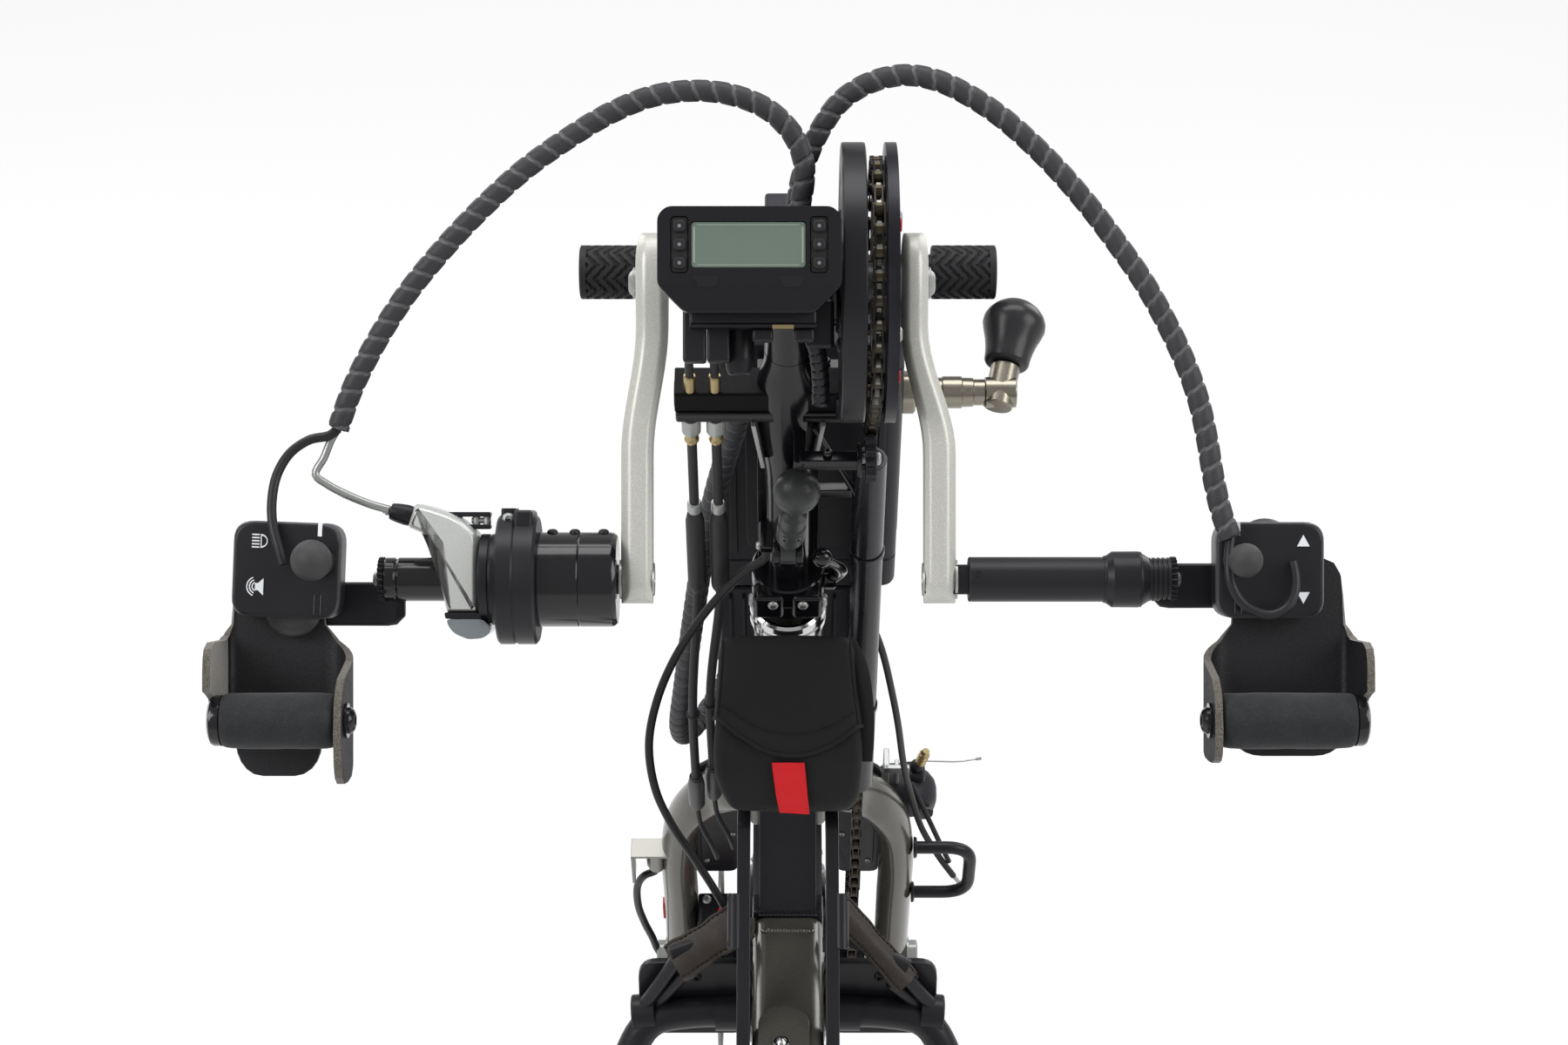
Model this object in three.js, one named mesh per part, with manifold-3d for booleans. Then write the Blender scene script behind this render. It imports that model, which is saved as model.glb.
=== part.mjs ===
// Clip-on handcycle with a hub motor, made for hands that can't grip.
// Millimetres, +Z up, +X to the rider's right, +Y forward, away from the rider.
// The origin is on the floor, below the middle of the whole object.

import * as THREE from 'three';
import { mergeVertices } from 'three/addons/utils/BufferGeometryUtils.js';
import Module from 'manifold-3d';

const wasm = await Module();
wasm.setup();

const degree = Math.PI / 180;

// Fits that every piece shares
const seatGap = 0.3;
const weldDepth = 1.5;
const overrun = 2;
const runningGap = 0.5;

// Where the main points lie
const layout = {
  rearReach: 490,
  steeringLean: 20 * degree,
  forkOffset: 40,
  crankHeight: 756,
  crankLength: 160,
  crankAngle: 30 * degree,
  viewTilt: 30 * degree,
  halfWidth: 304,
};

const tyre = { radius: 250, width: 47, treadWidth: 30, treadDrop: 8, beadRadius: 206.3, beadWidth: 24 };
const rim = { radius: 206, depth: 18, width: 26, wellWidth: 16 };
const spokes = { radius: 1.2, perSide: 14, lace: 62 * degree, clearance: 1.6, innerSpan: 24, outerSpan: 4, stagger: 2.5 };
const hub = {
  shellRadius: 68,
  flangeRadius: 76,
  flangeSpan: 24,
  flangeThickness: 4,
  freehubRadius: 17,
  freehubEnd: 58,
  rotorBossRadius: 24,
  coverRadius: 52,
  coverEnd: 32,
};
const axle = { radius: 6, halfLength: 96, nutRadius: 10.5, nutLength: 8 };
const rotor = { radius: 80, bandWidth: 14, thickness: 2, plane: 50, armWidth: 10, armCount: 5 };
const sprocket = { teeth: 18, thickness: 2.4 };

const chain = {
  pitch: 12.7,
  line: 47,
  width: 7,
  height: 8,
  rearRunOffset: 14,
  toothGap: 1.2,
  frontRunOffset: 22,
  guideRadius: 13,
  guideDrop: 108,
};
const rearRun = { radius: 9.6, bore: 6.4, topDrop: 20, lowEnd: 292 };
const chainring = { teeth: 32, thickness: 3, hubRadius: 20, webInner: 26, webOuter: 48, armCount: 5, armWidth: 12 };
const guardInner = { radius: 75.5, innerFace: 28, outerFace: 41, rimWall: 9, web: 4, hubRadius: 22 };
const guardOuter = { radius: 75.5, innerFace: 51.5, outerFace: 57.5, ringWidth: 15, hubRadius: 22, armWidth: 14 };

const fork = {
  legCentre: 77.5,
  legWidth: 25,
  legDepth: 36,
  legForward: 36,
  legEnd: 22,
  crownHeight: 270,
  crownForward: 4,
  crownHalfWidth: 26,
  crownDepth: 46,
  crownThickness: 26,
  steererRadius: 14.3,
  dropoutThickness: 7,
  dropoutReach: 20,
};
const headTube = { radius: 21, bottom: 286, top: 465, boreGap: 0.5 };
const headRing = { radius: 23.6, height: 15 };
const steererTop = 488;

const column = {
  radius: 13,
  clampRadius: 22,
  clampHeight: 27,
  shellRadius: 23,
  shellLeft: 34,
  shellRight: 27,
  crossbarHeight: 668,
  crossbarSize: 22,
  crossbarLeft: 64,
  crossbarRight: 33,
};
const crankAxle = { radius: 11, boreGap: 0.4 };
const crankArm = {
  axleInnerFace: 61,
  endInnerFace: 73,
  axleOuterFace: 74.5,
  endOuterFace: 90,
  bendTopDrop: 28,
  bendLowDrop: 68,
  topReach: 27,
  endReach: 13,
  bossRadius: 17,
  depth: 25,
  bevel: 5,
  spindleRadius: 8,
};

const pushBar = {
  radius: 11,
  forward: 151,
  height: 614,
  stemWidth: 28,
  stemThickness: 16,
  stemHeight: 655,
  gripRadius: 16.5,
  gripLength: 41,
  gripEnd: 128,
  gripCollar: 3,
};
const battery = { left: 46, right: 69, rear: 58, front: 132, bottom: 420, top: 646, edge: 9 };
const cradle = { halfWidth: 18, bottom: 496, top: 640 };
const controller = { left: 46, right: 36, front: 118, bottom: 346 };
const handleClamp = {
  forward: 84,
  height: 578,
  nutRadius: 14,
  nutLength: 8,
  rodRadius: 9,
  rodEnd: 120,
  elbowSize: 19,
  knobRadius: 19.5,
  knobNeck: 9,
  knobLength: 44,
  stemLength: 9,
};
const headlamp = { radius: 30, length: 44, dropFromBar: 94, bezel: 4, footWidth: 24 };

const display = {
  x: -20,
  backFromCrank: 80,
  riseFromCrank: 4.6,
  width: 94,
  height: 54,
  thickness: 20,
  chamfer: 14,
  keyInset: 11.5,
  keyWidth: 9,
  keyTravel: 1,
  keyPitch: 9.4,
  keySize: 6,
  keyLift: 1.6,
  keyDrop: -7.2,
  keyPlate: 2,
  bracketHalfWidth: 17,
  bracketHalfHeight: 9,
};

const neck = { halfWidth: 18, joinTop: 418, joinBottom: 306, topY: -74, topZ: 605, endY: -132 };
const mainTube = { halfWidth: 22, top: 480, height: 43, front: -130, rear: -268, weldWidth: 12, lug: 5 };
const rails = {
  inner: 23,
  thickness: 8,
  height: 14,
  frontY: -120,
  benchEndY: -164,
  rearY: -262,
  benchTop: 578,
  rearTop: 474,
  tongueHalfWidth: 14,
};
const stand = {
  tubeRadius: 10,
  barY: -160,
  halfWidth: 98,
  cornerRadius: 34,
  footX: 184,
  braceRadius: 7,
  braceTopY: -146,
  braceTopDrop: 14,
  plateThickness: 6,
  plateOuter: 104,
  plateHeight: 64,
  plateCorner: 14,
};
const foot = { radius: 16, height: 30, floor: 10 };
const dock = {
  stemWidth: 32,
  stemHeight: 30,
  barY: -318,
  barZ: 392,
  barRadius: 12.5,
  barHalfLength: 104,
  spigotRadius: 8,
  hookThickness: 12,
  hookRadius: 19,
  jawRadius: 13,
  jawReach: 31,
  jawWall: 8,
};
const bag = { halfWidth: 44, edge: 8, height: 119, depth: 87 };

const releaseLever = {
  height: 556,
  reach: 24,
  stemRadius: 4,
  ballRadius: 13.5,
  length: 46,
  yokeRadius: 7,
  yokeWidth: 9,
  cheek: 4,
  pinRadius: 2.5,
  lugOut: 17,
};
const clampLever = { boltEnd: 29, thickness: 7, length: 52, knobRadius: 6, boltRadius: 6.5, bow: 6 };

const grip = {
  drumInner: 92,
  drumOuter: 136,
  drumRadius: 25.6,
  collarOuter: 156.3,
  collarRadius: 35,
  ringOuter: 166,
  ringRadius: 24,
  tubeEnd: 219,
  tubeRadius: 11.8,
};
const plainGrip = {
  tubeInner: 97,
  tubeOuter: 171,
  tubeRadius: 12,
  sleeveOuter: 191,
  sleeveRadius: 15.2,
  neckOuter: 208,
  neckRadius: 11.5,
};
const leverBody = { width: 24, front: 17, back: 12 };
const brakeBlade = { pivotX: 181, pivotZ: 32, radius: 4.5, length: 24, thickness: 9, slot: 3.4 };
const rest = {
  spanLeft: 52,
  spanRight: 62.8,
  plateWidth: 52,
  plateTop: 4,
  plateBottom: 106,
  thickness: 4,
  plateFront: 7.7,
  corner: 16,
  wingTop: 34,
  wingBottom: 88,
  flangeTop: 54,
  flangeDepth: 60,
  flangeGap: 20,
  rollBack: 45,
  rollDrop: 73,
  rollRadius: 15.3,
  rollCrown: 1.2,
  rollEdge: 3.5,
  pinRadius: 4,
  headRadius: 7,
  headLength: 5,
  bracketWidth: 40,
  bracketBack: 12,
  bracketDrop: 22,
};
const controlBox = { fromInner: 13.7, width: 57, top: 31, bottom: 20, depth: 24, corner: 10, slotWidth: 8, slotDepth: 18 };
const toggle = { fromInner: -3.7, rise: 11, pivotDepth: 12, stemRadius: 2.5, reach: 46, hubRadius: 2.8 };

const brake = { width: 27, height: 46, depth: 30, slotDepth: 17, slotWidth: 5, radialPlace: 68, angle: 14 * degree };
const derailleur = { bodyWidth: 42, bodyHeight: 42, bodyDepth: 34, height: 150, cage: 3, cageWidth: 20, cageDrop: 96 };
const guardLoop = { radius: 4, reach: 40, low: 106, high: 164, bend: 18 };

// Cords and cables: radii, and routes chosen by hand
const wrap = { radius: 5.9, rootRadius: 5, pitch: 13 };
const leadRadius = 2.6;
const brakeLeadRadius = 2.2;
const lockCableRadius = 2.6;
const controlCable = { radius: 3.2, sleeveRadius: 5.6, sleeveTop: 575, sleeveBottom: 500, bottom: 306, stopRadius: 5 };
const harnessRadius = 7;

const hoseLeftRoute = [
  [4.6, -177.2, 979.3], [5.5, -174.2, 988], [7.8, -172.8, 1001], [8.2, -169.8, 1013.4], [3.1, -165, 1026.5],
  [-9.3, -160, 1038.8], [-27.7, -156.8, 1046.4], [-48.4, -155.5, 1048.8], [-71.4, -155.9, 1046],
  [-94.5, -159.6, 1037.7], [-117.6, -165.5, 1025.3], [-140.7, -172.9, 1010.6], [-163.9, -182.6, 991.8],
  [-184.7, -192.7, 972.2], [-203.5, -202.5, 951.4], [-219, -212.7, 929.7], [-231.8, -223.2, 907.5],
  [-240, -232.3, 887.7],
];
const hoseRightRoute = [
  [3.7, -158.7, 968.4], [4.2, -154.6, 979.5], [6.1, -150.6, 993.1], [10.3, -145.9, 1007.3], [17.3, -141.2, 1021.4],
  [28, -136.6, 1035.5], [43.3, -134.5, 1045.1], [61.8, -135.2, 1049.8], [78.8, -139.5, 1048.5],
  [94.9, -145.1, 1042.8], [112.4, -152.7, 1033.5], [129.3, -162, 1021.4], [145.3, -172.2, 1007.8],
  [160.3, -183, 993], [174, -193.2, 977.5], [187.3, -203.8, 961.1], [199.1, -215.2, 943.2], [209.1, -227, 925],
  [216.3, -238.2, 907.5], [220.7, -249.4, 890.1], [223.8, -260.1, 873.5], [227.8, -270.2, 858.1],
  [232.6, -277.9, 846.7],
];
const leadLeftRoute = [
  [-240, -232.3, 887.7], [-244.5, -235, 885], [-254.8, -238, 883.9], [-264.5, -244.1, 879.3],
  [-270.9, -252.5, 870.8], [-272.9, -262.9, 860.8], [-271.7, -272.8, 851.6], [-268, -281.5, 842.4],
  [-265.5, -286.5, 835.5],
];
const brakeLeadRoute = [
  [-240, -232.3, 887.7], [-243.9, -234.4, 882], [-247.6, -239.1, 874], [-252.1, -244.6, 866.4],
  [-246.1, -247.1, 862], [-234.5, -250.2, 856.8], [-222.9, -252.5, 852.7], [-213, -253.8, 850.2],
];
const leadRightRoute = [
  [232.6, -277.9, 846.7], [231.2, -285.6, 839.5], [231.6, -294.5, 829.9], [238.4, -301.3, 820.2],
  [251.1, -304, 815.4], [260.5, -301.6, 817.7], [265.5, -295.5, 824.1], [266.1, -289.3, 831], [265, -284.5, 836],
];
const lockCableRoute = [
  [-12.5, -122, 748], [-14, -121, 741], [-22, -119.5, 734], [-33, -118.6, 723], [-50.7, -117.5, 699.6],
  [-68.4, -120.8, 670.9],
  [-79.9, -127.3, 643.6], [-85.1, -134, 616], [-81.8, -139.9, 587.7], [-72.6, -141.7, 562.6],
  [-59.5, -141.5, 537], [-47.2, -140.5, 512], [-39.5, -138, 492], [-38, -136.5, 480.5],
];
// The harness lies beside the column: across, forward of the steering axis, and up it.
const harnessRoute = [
  [-25.6, 24, 636], [-34, 27, 596], [-44, 26, 550], [-52, 22, 500], [-60, 14, 440], [-67, 8, 380], [-73, 6, 320],
  [-75, 7, 250], [-77, 8.4, 190], [-77.5, 9, 140],
];

// Colours from the photograph
const finishes = {
  blackMetal: { color: 0x1c1c20, roughness: 0.4, metalness: 0.6 },
  blackPlastic: { color: 0x202022, roughness: 0.55, metalness: 0 },
  rubber: { color: 0x26262a, roughness: 0.85, metalness: 0 },
  titanium: { color: 0x58564f, roughness: 0.3, metalness: 0.7 },
  silver: { color: 0xbebeb7, roughness: 0.35, metalness: 0.8 },
  steel: { color: 0x8f8f8c, roughness: 0.3, metalness: 0.9 },
  leverSilver: { color: 0xbec3c3, roughness: 0.3, metalness: 0.7 },
  cloth: { color: 0x1d1d1f, roughness: 0.9, metalness: 0 },
  foam: { color: 0x373a3e, roughness: 0.9, metalness: 0 },
};

// Derived places
const wheelY = (layout.rearReach - tyre.radius) / 2;
const axlePoint = new THREE.Vector3(0, wheelY, tyre.radius);
const leanTurn = new THREE.Matrix4().makeRotationX(layout.steeringLean);
const steeringFoot = axlePoint.clone().sub(
  new THREE.Vector3(0, layout.forkOffset, 0).applyMatrix4(leanTurn),
);

function steeringPoint(across, forward, up) {
  return new THREE.Vector3(across, forward, up).applyMatrix4(leanTurn).add(steeringFoot);
}

const crankCentre = steeringPoint(0, 0, layout.crankHeight);
const armTurn = new THREE.Matrix4().makeRotationX(-layout.crankAngle);
const gripCentre = new THREE.Vector3(0, 0, -layout.crankLength).applyMatrix4(armTurn).add(crankCentre);
const chainringRadius = chain.pitch / (2 * Math.sin(Math.PI / chainring.teeth));
const sprocketRadius = chain.pitch / (2 * Math.sin(Math.PI / sprocket.teeth));
const guideHeight = layout.crankHeight - chain.guideDrop;
const rearRunTop = guideHeight - rearRun.topDrop;
const lampHeight = pushBar.height - headlamp.dropFromBar;

// Solids
function solid(geometry) {
  const shell = geometry.clone();
  shell.deleteAttribute('normal');
  shell.deleteAttribute('uv');
  const merged = mergeVertices(shell);
  const places = merged.attributes.position.array;
  const corners = [];
  let volume = 0;
  for (let i = 0; i < merged.index.count; i += 3) {
    const [a, b, c] = [0, 1, 2].map((k) => merged.index.getX(i + k));
    if (a === b || b === c || c === a) continue;
    corners.push([a, b, c]);
    const [p, q, r] = [a, b, c].map((k) => new THREE.Vector3().fromArray(places, 3 * k));
    volume += p.dot(q.cross(r));
  }
  const facing = volume > 0 ? corners : corners.map(([a, b, c]) => [a, c, b]);
  const mesh = new wasm.Mesh({
    numProp: 3,
    vertProperties: Float32Array.from(places),
    triVerts: Uint32Array.from(facing.flat()),
  });
  return new wasm.Manifold(mesh);
}

function join(...parts) {
  return parts.reduce((all, one) => all.add(one));
}

function cut(body, ...tools) {
  return tools.reduce((left, tool) => left.subtract(tool), body);
}

function block([x0, x1], [y0, y1], [z0, z1]) {
  const box = new THREE.BoxGeometry(Math.abs(x1 - x0), Math.abs(y1 - y0), Math.abs(z1 - z0));
  return solid(box.translate((x0 + x1) / 2, (y0 + y1) / 2, (z0 + z1) / 2));
}

function rod(from, to, radius, sides = 16) {
  const start = new THREE.Vector3(...from);
  const along = new THREE.Vector3(...to).sub(start);
  const cylinder = new THREE.CylinderGeometry(radius, radius, along.length(), sides);
  cylinder.translate(0, along.length() / 2, 0);
  const turn = new THREE.Quaternion().setFromUnitVectors(new THREE.Vector3(0, 1, 0), along.normalize());
  return solid(cylinder.applyQuaternion(turn).translate(start.x, start.y, start.z));
}

function rodX(x0, x1, radius, y = 0, z = 0, sides = 16) {
  return rod([x0, y, z], [x1, y, z], radius, sides);
}

function rodZ(z0, z1, radius, x = 0, y = 0, sides = 20) {
  return rod([x, y, z0], [x, y, z1], radius, sides);
}

function ball(centre, radius, sides = 14) {
  return solid(new THREE.SphereGeometry(radius, sides, sides / 2).translate(...centre));
}

function outline(points) {
  return new THREE.Shape(points.map(([a, b]) => new THREE.Vector2(a, b)));
}

// A plate whose outline lies in Y and Z, from x0 to x1
function plateX(shape, x0, x1) {
  const geometry = new THREE.ExtrudeGeometry(shape, { depth: Math.abs(x1 - x0), bevelEnabled: false, curveSegments: 3 });
  const basis = new THREE.Matrix4().makeBasis(
    new THREE.Vector3(0, 1, 0),
    new THREE.Vector3(0, 0, 1),
    new THREE.Vector3(1, 0, 0),
  );
  return solid(geometry.applyMatrix4(basis).translate(Math.min(x0, x1), 0, 0));
}

// A plate whose outline lies in X and Z, from y0 to y1
function plateY(shape, y0, y1) {
  const geometry = new THREE.ExtrudeGeometry(shape, { depth: Math.abs(y1 - y0), bevelEnabled: false, curveSegments: 3 });
  return solid(geometry.rotateX(Math.PI / 2).translate(0, Math.max(y0, y1), 0));
}

// A turned piece: radius and place along X, closed on itself
function turnedX(profile, sides) {
  const points = [...profile, profile[0]].map(([radius, x]) => new THREE.Vector2(radius, x));
  return solid(new THREE.LatheGeometry(points, sides).rotateZ(-Math.PI / 2));
}

function circle(radius, sides, across = 1, along = 1) {
  const turns = Array.from({ length: sides }, (_, i) => (2 * Math.PI * (i + 0.5)) / sides);
  return outline(turns.map((turn) => [radius * across * Math.cos(turn), radius * along * Math.sin(turn)]));
}

function tube(points, section, steps) {
  const curve = new THREE.CatmullRomCurve3(points.map((point) => new THREE.Vector3(...point)), false, 'centripetal');
  return solid(new THREE.ExtrudeGeometry(section, { steps, bevelEnabled: false, extrudePath: curve }));
}

// A tube with even ribs along its route, two rings to a rib
function ribbedTube(points, crest, root, pitch) {
  const curve = new THREE.CatmullRomCurve3(points.map((point) => new THREE.Vector3(...point)), false, 'centripetal');
  const rings = 2 * Math.round(curve.getLength() / pitch);
  const frames = curve.computeFrenetFrames(rings, false);
  const sides = 8;
  const places = [];
  const corners = [];
  for (let i = 0; i <= rings; i += 1) {
    const centre = curve.getPointAt(i / rings);
    const radius = i % 2 ? crest : root;
    for (let k = 0; k < sides; k += 1) {
      const turn = (2 * Math.PI * k) / sides;
      const out = frames.normals[i].clone().multiplyScalar(Math.cos(turn));
      out.addScaledVector(frames.binormals[i], Math.sin(turn));
      places.push(...centre.clone().addScaledVector(out, radius).toArray());
    }
  }
  for (let i = 0; i < rings; i += 1) {
    for (let k = 0; k < sides; k += 1) {
      const [a, b] = [i * sides + k, i * sides + ((k + 1) % sides)];
      corners.push(a, b, a + sides, b, b + sides, a + sides);
    }
  }
  for (let k = 1; k < sides - 1; k += 1) {
    const end = rings * sides;
    corners.push(0, k + 1, k, end, end + k, end + k + 1);
  }
  const geometry = new THREE.BufferGeometry();
  geometry.setAttribute('position', new THREE.Float32BufferAttribute(places, 3));
  geometry.setIndex(corners);
  return solid(geometry);
}

function roundedOutline(x0, x1, z0, z1, radius) {
  const shape = new THREE.Shape();
  shape.moveTo(x0 + radius, z0);
  shape.lineTo(x1 - radius, z0);
  shape.absarc(x1 - radius, z0 + radius, radius, -Math.PI / 2, 0);
  shape.lineTo(x1, z1 - radius);
  shape.absarc(x1 - radius, z1 - radius, radius, 0, Math.PI / 2);
  shape.lineTo(x0 + radius, z1);
  shape.absarc(x0 + radius, z1 - radius, radius, Math.PI / 2, Math.PI);
  shape.lineTo(x0, z0 + radius);
  shape.absarc(x0 + radius, z0 + radius, radius, Math.PI, 1.5 * Math.PI);
  return shape;
}

function mirrored(body) {
  return body.mirror([1, 0, 0]);
}

function place(body, matrix) {
  return body.transform(matrix.elements);
}

// The object and its groups
const handcycle = new THREE.Group();

const steering = new THREE.Group();
steering.position.copy(steeringFoot);
steering.rotation.x = layout.steeringLean;

const crank = new THREE.Group();
crank.position.copy(crankCentre);
crank.rotation.x = -layout.crankAngle;

const grips = new THREE.Group();
grips.position.copy(gripCentre);
grips.rotation.x = -layout.viewTilt;

const wheel = new THREE.Group();
wheel.position.copy(axlePoint);

handcycle.add(steering, crank, grips, wheel);

function addPiece(group, name, body, finish) {
  const { vertProperties, triVerts } = body.getMesh();
  const geometry = new THREE.BufferGeometry();
  geometry.setAttribute('position', new THREE.BufferAttribute(Float32Array.from(vertProperties), 3));
  geometry.setIndex(Array.from(triVerts));
  geometry.computeVertexNormals();
  const piece = new THREE.Mesh(geometry, new THREE.MeshStandardMaterial(finish));
  piece.name = name;
  group.add(piece);
}

// From the crank's turned frame into the steering's
const crankToSteering = new THREE.Matrix4()
  .makeTranslation(0, 0, layout.crankHeight)
  .multiply(new THREE.Matrix4().makeRotationX(-layout.crankAngle - layout.steeringLean));

// Wheel
function makeTyre() {
  const half = tyre.width / 2;
  const side = (tyre.beadRadius + tyre.radius) / 2;
  return turnedX([
    [tyre.beadRadius, -tyre.beadWidth / 2],
    [side, -half],
    [tyre.radius - tyre.treadDrop, -tyre.treadWidth / 2],
    [tyre.radius, -tyre.treadWidth / 6],
    [tyre.radius, tyre.treadWidth / 6],
    [tyre.radius - tyre.treadDrop, tyre.treadWidth / 2],
    [side, half],
    [tyre.beadRadius, tyre.beadWidth / 2],
  ], 40);
}

function makeRim() {
  const half = rim.width / 2;
  const base = rim.radius - rim.depth;
  const hoop = turnedX([
    [base, -rim.wellWidth / 2],
    [base + rim.depth / 3, -half],
    [rim.radius, -half],
    [rim.radius, half],
    [base + rim.depth / 3, half],
    [base, rim.wellWidth / 2],
  ], 40);
  const inner = hub.flangeRadius + spokes.clearance;
  const outer = base + weldDepth;
  const all = [];
  for (const side of [-1, 1]) {
    for (let i = 0; i < spokes.perSide; i += 1) {
      const start = (2 * Math.PI * (i + (side > 0 ? 0.5 : 0))) / spokes.perSide;
      const lead = i % 2 ? 1 : -1;
      const end = start + lead * spokes.lace;
      const shift = lead * spokes.stagger;
      all.push(rod(
        [side * (spokes.innerSpan + shift), inner * Math.cos(start), inner * Math.sin(start)],
        [side * (spokes.outerSpan + shift), outer * Math.cos(end), outer * Math.sin(end)],
        spokes.radius,
        4,
      ));
    }
  }
  return join(hoop, ...all);
}

function makeHub() {
  const bore = axle.radius + runningGap;
  const flangeIn = hub.flangeSpan - hub.flangeThickness / 2;
  const flangeOut = hub.flangeSpan + hub.flangeThickness / 2;
  const bossEnd = rotor.plane - rotor.thickness / 2 - seatGap;
  return turnedX([
    [bore, -bossEnd],
    [hub.rotorBossRadius, -bossEnd],
    [hub.rotorBossRadius, -hub.coverEnd],
    [hub.coverRadius, -hub.coverEnd],
    [hub.shellRadius, -flangeOut],
    [hub.flangeRadius, -flangeOut],
    [hub.flangeRadius, -flangeIn],
    [hub.shellRadius, -flangeIn],
    [hub.shellRadius, flangeIn],
    [hub.flangeRadius, flangeIn],
    [hub.flangeRadius, flangeOut],
    [hub.shellRadius, flangeOut],
    [hub.coverRadius, hub.coverEnd],
    [hub.freehubRadius, hub.coverEnd],
    [hub.freehubRadius, hub.freehubEnd],
    [bore, hub.freehubEnd],
  ], 20);
}

function makeRotor() {
  const half = rotor.thickness / 2;
  const bore = axle.radius + runningGap;
  const inner = rotor.radius - rotor.bandWidth;
  const band = turnedX([[inner, -half], [rotor.radius, -half], [rotor.radius, half], [inner, half]], 28);
  const centre = turnedX([
    [bore, -half],
    [hub.rotorBossRadius, -half],
    [hub.rotorBossRadius, half],
    [bore, half],
  ], 16);
  const arms = [];
  for (let i = 0; i < rotor.armCount; i += 1) {
    const arm = block(
      [-half, half],
      [hub.rotorBossRadius - rotor.armWidth / 2, inner + rotor.bandWidth / 2],
      [-rotor.armWidth / 2, rotor.armWidth / 2],
    );
    arms.push(arm.rotate([(360 * i) / rotor.armCount, 0, 0]));
  }
  return join(band, centre, ...arms).translate([-rotor.plane, 0, 0]);
}

function toothedDisc(teeth, pitchRadius, thickness) {
  const tip = pitchRadius - chain.height / 2 - chain.toothGap;
  const root = tip - chain.pitch / 4;
  const points = [];
  for (let i = 0; i < teeth; i += 1) {
    for (const [share, radius] of [[0, root], [0.35, tip], [0.6, tip]]) {
      const turn = (2 * Math.PI * (i + share)) / teeth;
      points.push([radius * Math.cos(turn), radius * Math.sin(turn)]);
    }
  }
  return plateX(outline(points), chain.line - thickness / 2, chain.line + thickness / 2);
}

function makeSprocket() {
  const bore = hub.freehubRadius + runningGap;
  return cut(
    toothedDisc(sprocket.teeth, sprocketRadius, sprocket.thickness),
    rodX(0, hub.freehubEnd + overrun, bore, 0, 0, 24),
  );
}

addPiece(wheel, 'tyre', makeTyre(), finishes.rubber);
addPiece(wheel, 'rim', makeRim(), finishes.blackMetal);
addPiece(wheel, 'hub_motor', makeHub(), finishes.blackMetal);
addPiece(wheel, 'brake_rotor', makeRotor(), finishes.steel);
addPiece(wheel, 'sprocket', makeSprocket(), finishes.steel);

function makeAxle() {
  const legOuter = fork.legCentre + fork.legWidth / 2;
  const shaft = rodX(-axle.halfLength, axle.halfLength, axle.radius, 0, 0, 16);
  const nutStart = legOuter + seatGap;
  const nuts = [-1, 1].map((side) => rodX(side * nutStart, side * (nutStart + axle.nutLength), axle.nutRadius, 0, 0, 6));
  return join(shaft, ...nuts);
}

const wheelAxle = makeAxle().translate([0, layout.forkOffset, 0]);
addPiece(steering, 'wheel_axle', wheelAxle, finishes.steel);

// Fork
// Across, forward and upward shares of the arch, from the axle to beside the crown
const archShares = [
  [1, 1, 0], [1, 0.98, 0.28], [1, 0.94, 0.52], [0.94, 0.9, 0.68], [0.8, 0.8, 0.79], [0.62, 0.68, 0.87], [0.39, 0.25, 0.97],
];

function makeFork() {
  const { legCentre, crownHeight, legForward, legEnd, crownForward } = fork;
  const left = archShares.map(([out, ahead, rise]) => [
    -legCentre * out,
    crownForward + (legForward - crownForward) * ahead,
    legEnd + (crownHeight - legEnd) * rise,
  ]);
  const right = left.map(([x, y, z]) => [-x, y, z]).reverse();
  const arch = tube(
    [...left, [0, crownForward, crownHeight], ...right],
    circle(1, 10, fork.legWidth / 2, fork.legDepth / 2),
    18,
  );
  const crown = block(
    [-fork.crownHalfWidth, fork.crownHalfWidth],
    [crownForward - fork.crownDepth / 2, crownForward + fork.crownDepth / 2],
    [crownHeight - fork.crownThickness / 2, crownHeight + fork.crownThickness / 2],
  );
  const steerer = rodZ(crownHeight, steererTop, fork.steererRadius);
  const dropouts = [-1, 1].map((side) => {
    const inner = legCentre - fork.dropoutThickness / 2;
    const shape = roundedOutline(
      layout.forkOffset - fork.dropoutReach,
      layout.forkOffset + fork.dropoutReach * 0.8,
      -fork.dropoutReach,
      legEnd + fork.dropoutReach,
      fork.dropoutReach * 0.7,
    );
    return plateX(shape, side * inner, side * (inner + fork.dropoutThickness));
  });
  const nutFaces = [-1, 1].map((side) => rodX(
    side * (legCentre - fork.dropoutThickness / 2),
    side * (legCentre + fork.legWidth / 2),
    axle.nutRadius,
    layout.forkOffset,
    0,
  ));
  const bore = rodX(-axle.halfLength, axle.halfLength, axle.radius + seatGap, layout.forkOffset, 0, 16);
  return cut(join(arch, crown, steerer, ...dropouts, ...nutFaces), bore);
}

addPiece(steering, 'fork', makeFork(), finishes.titanium);

function makeHeadRing() {
  const bottom = headTube.top + seatGap;
  return cut(
    rodZ(bottom, bottom + headRing.height, headRing.radius),
    rodZ(bottom - overrun, bottom + headRing.height + overrun, fork.steererRadius + seatGap),
  );
}

addPiece(steering, 'headset_ring', makeHeadRing(), finishes.steel);

// Column with its bottom bracket shell, crossbar and brackets
const batteryRear = battery.rear - seatGap;
const displayBack = display.backFromCrank - display.thickness / 2 - seatGap;
const chainPath = chainLoop();

function rearRunForward(up) {
  const share = up / guideHeight;
  const low = layout.forkOffset - sprocketRadius;
  return low + (-chain.rearRunOffset - low) * share;
}

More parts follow.
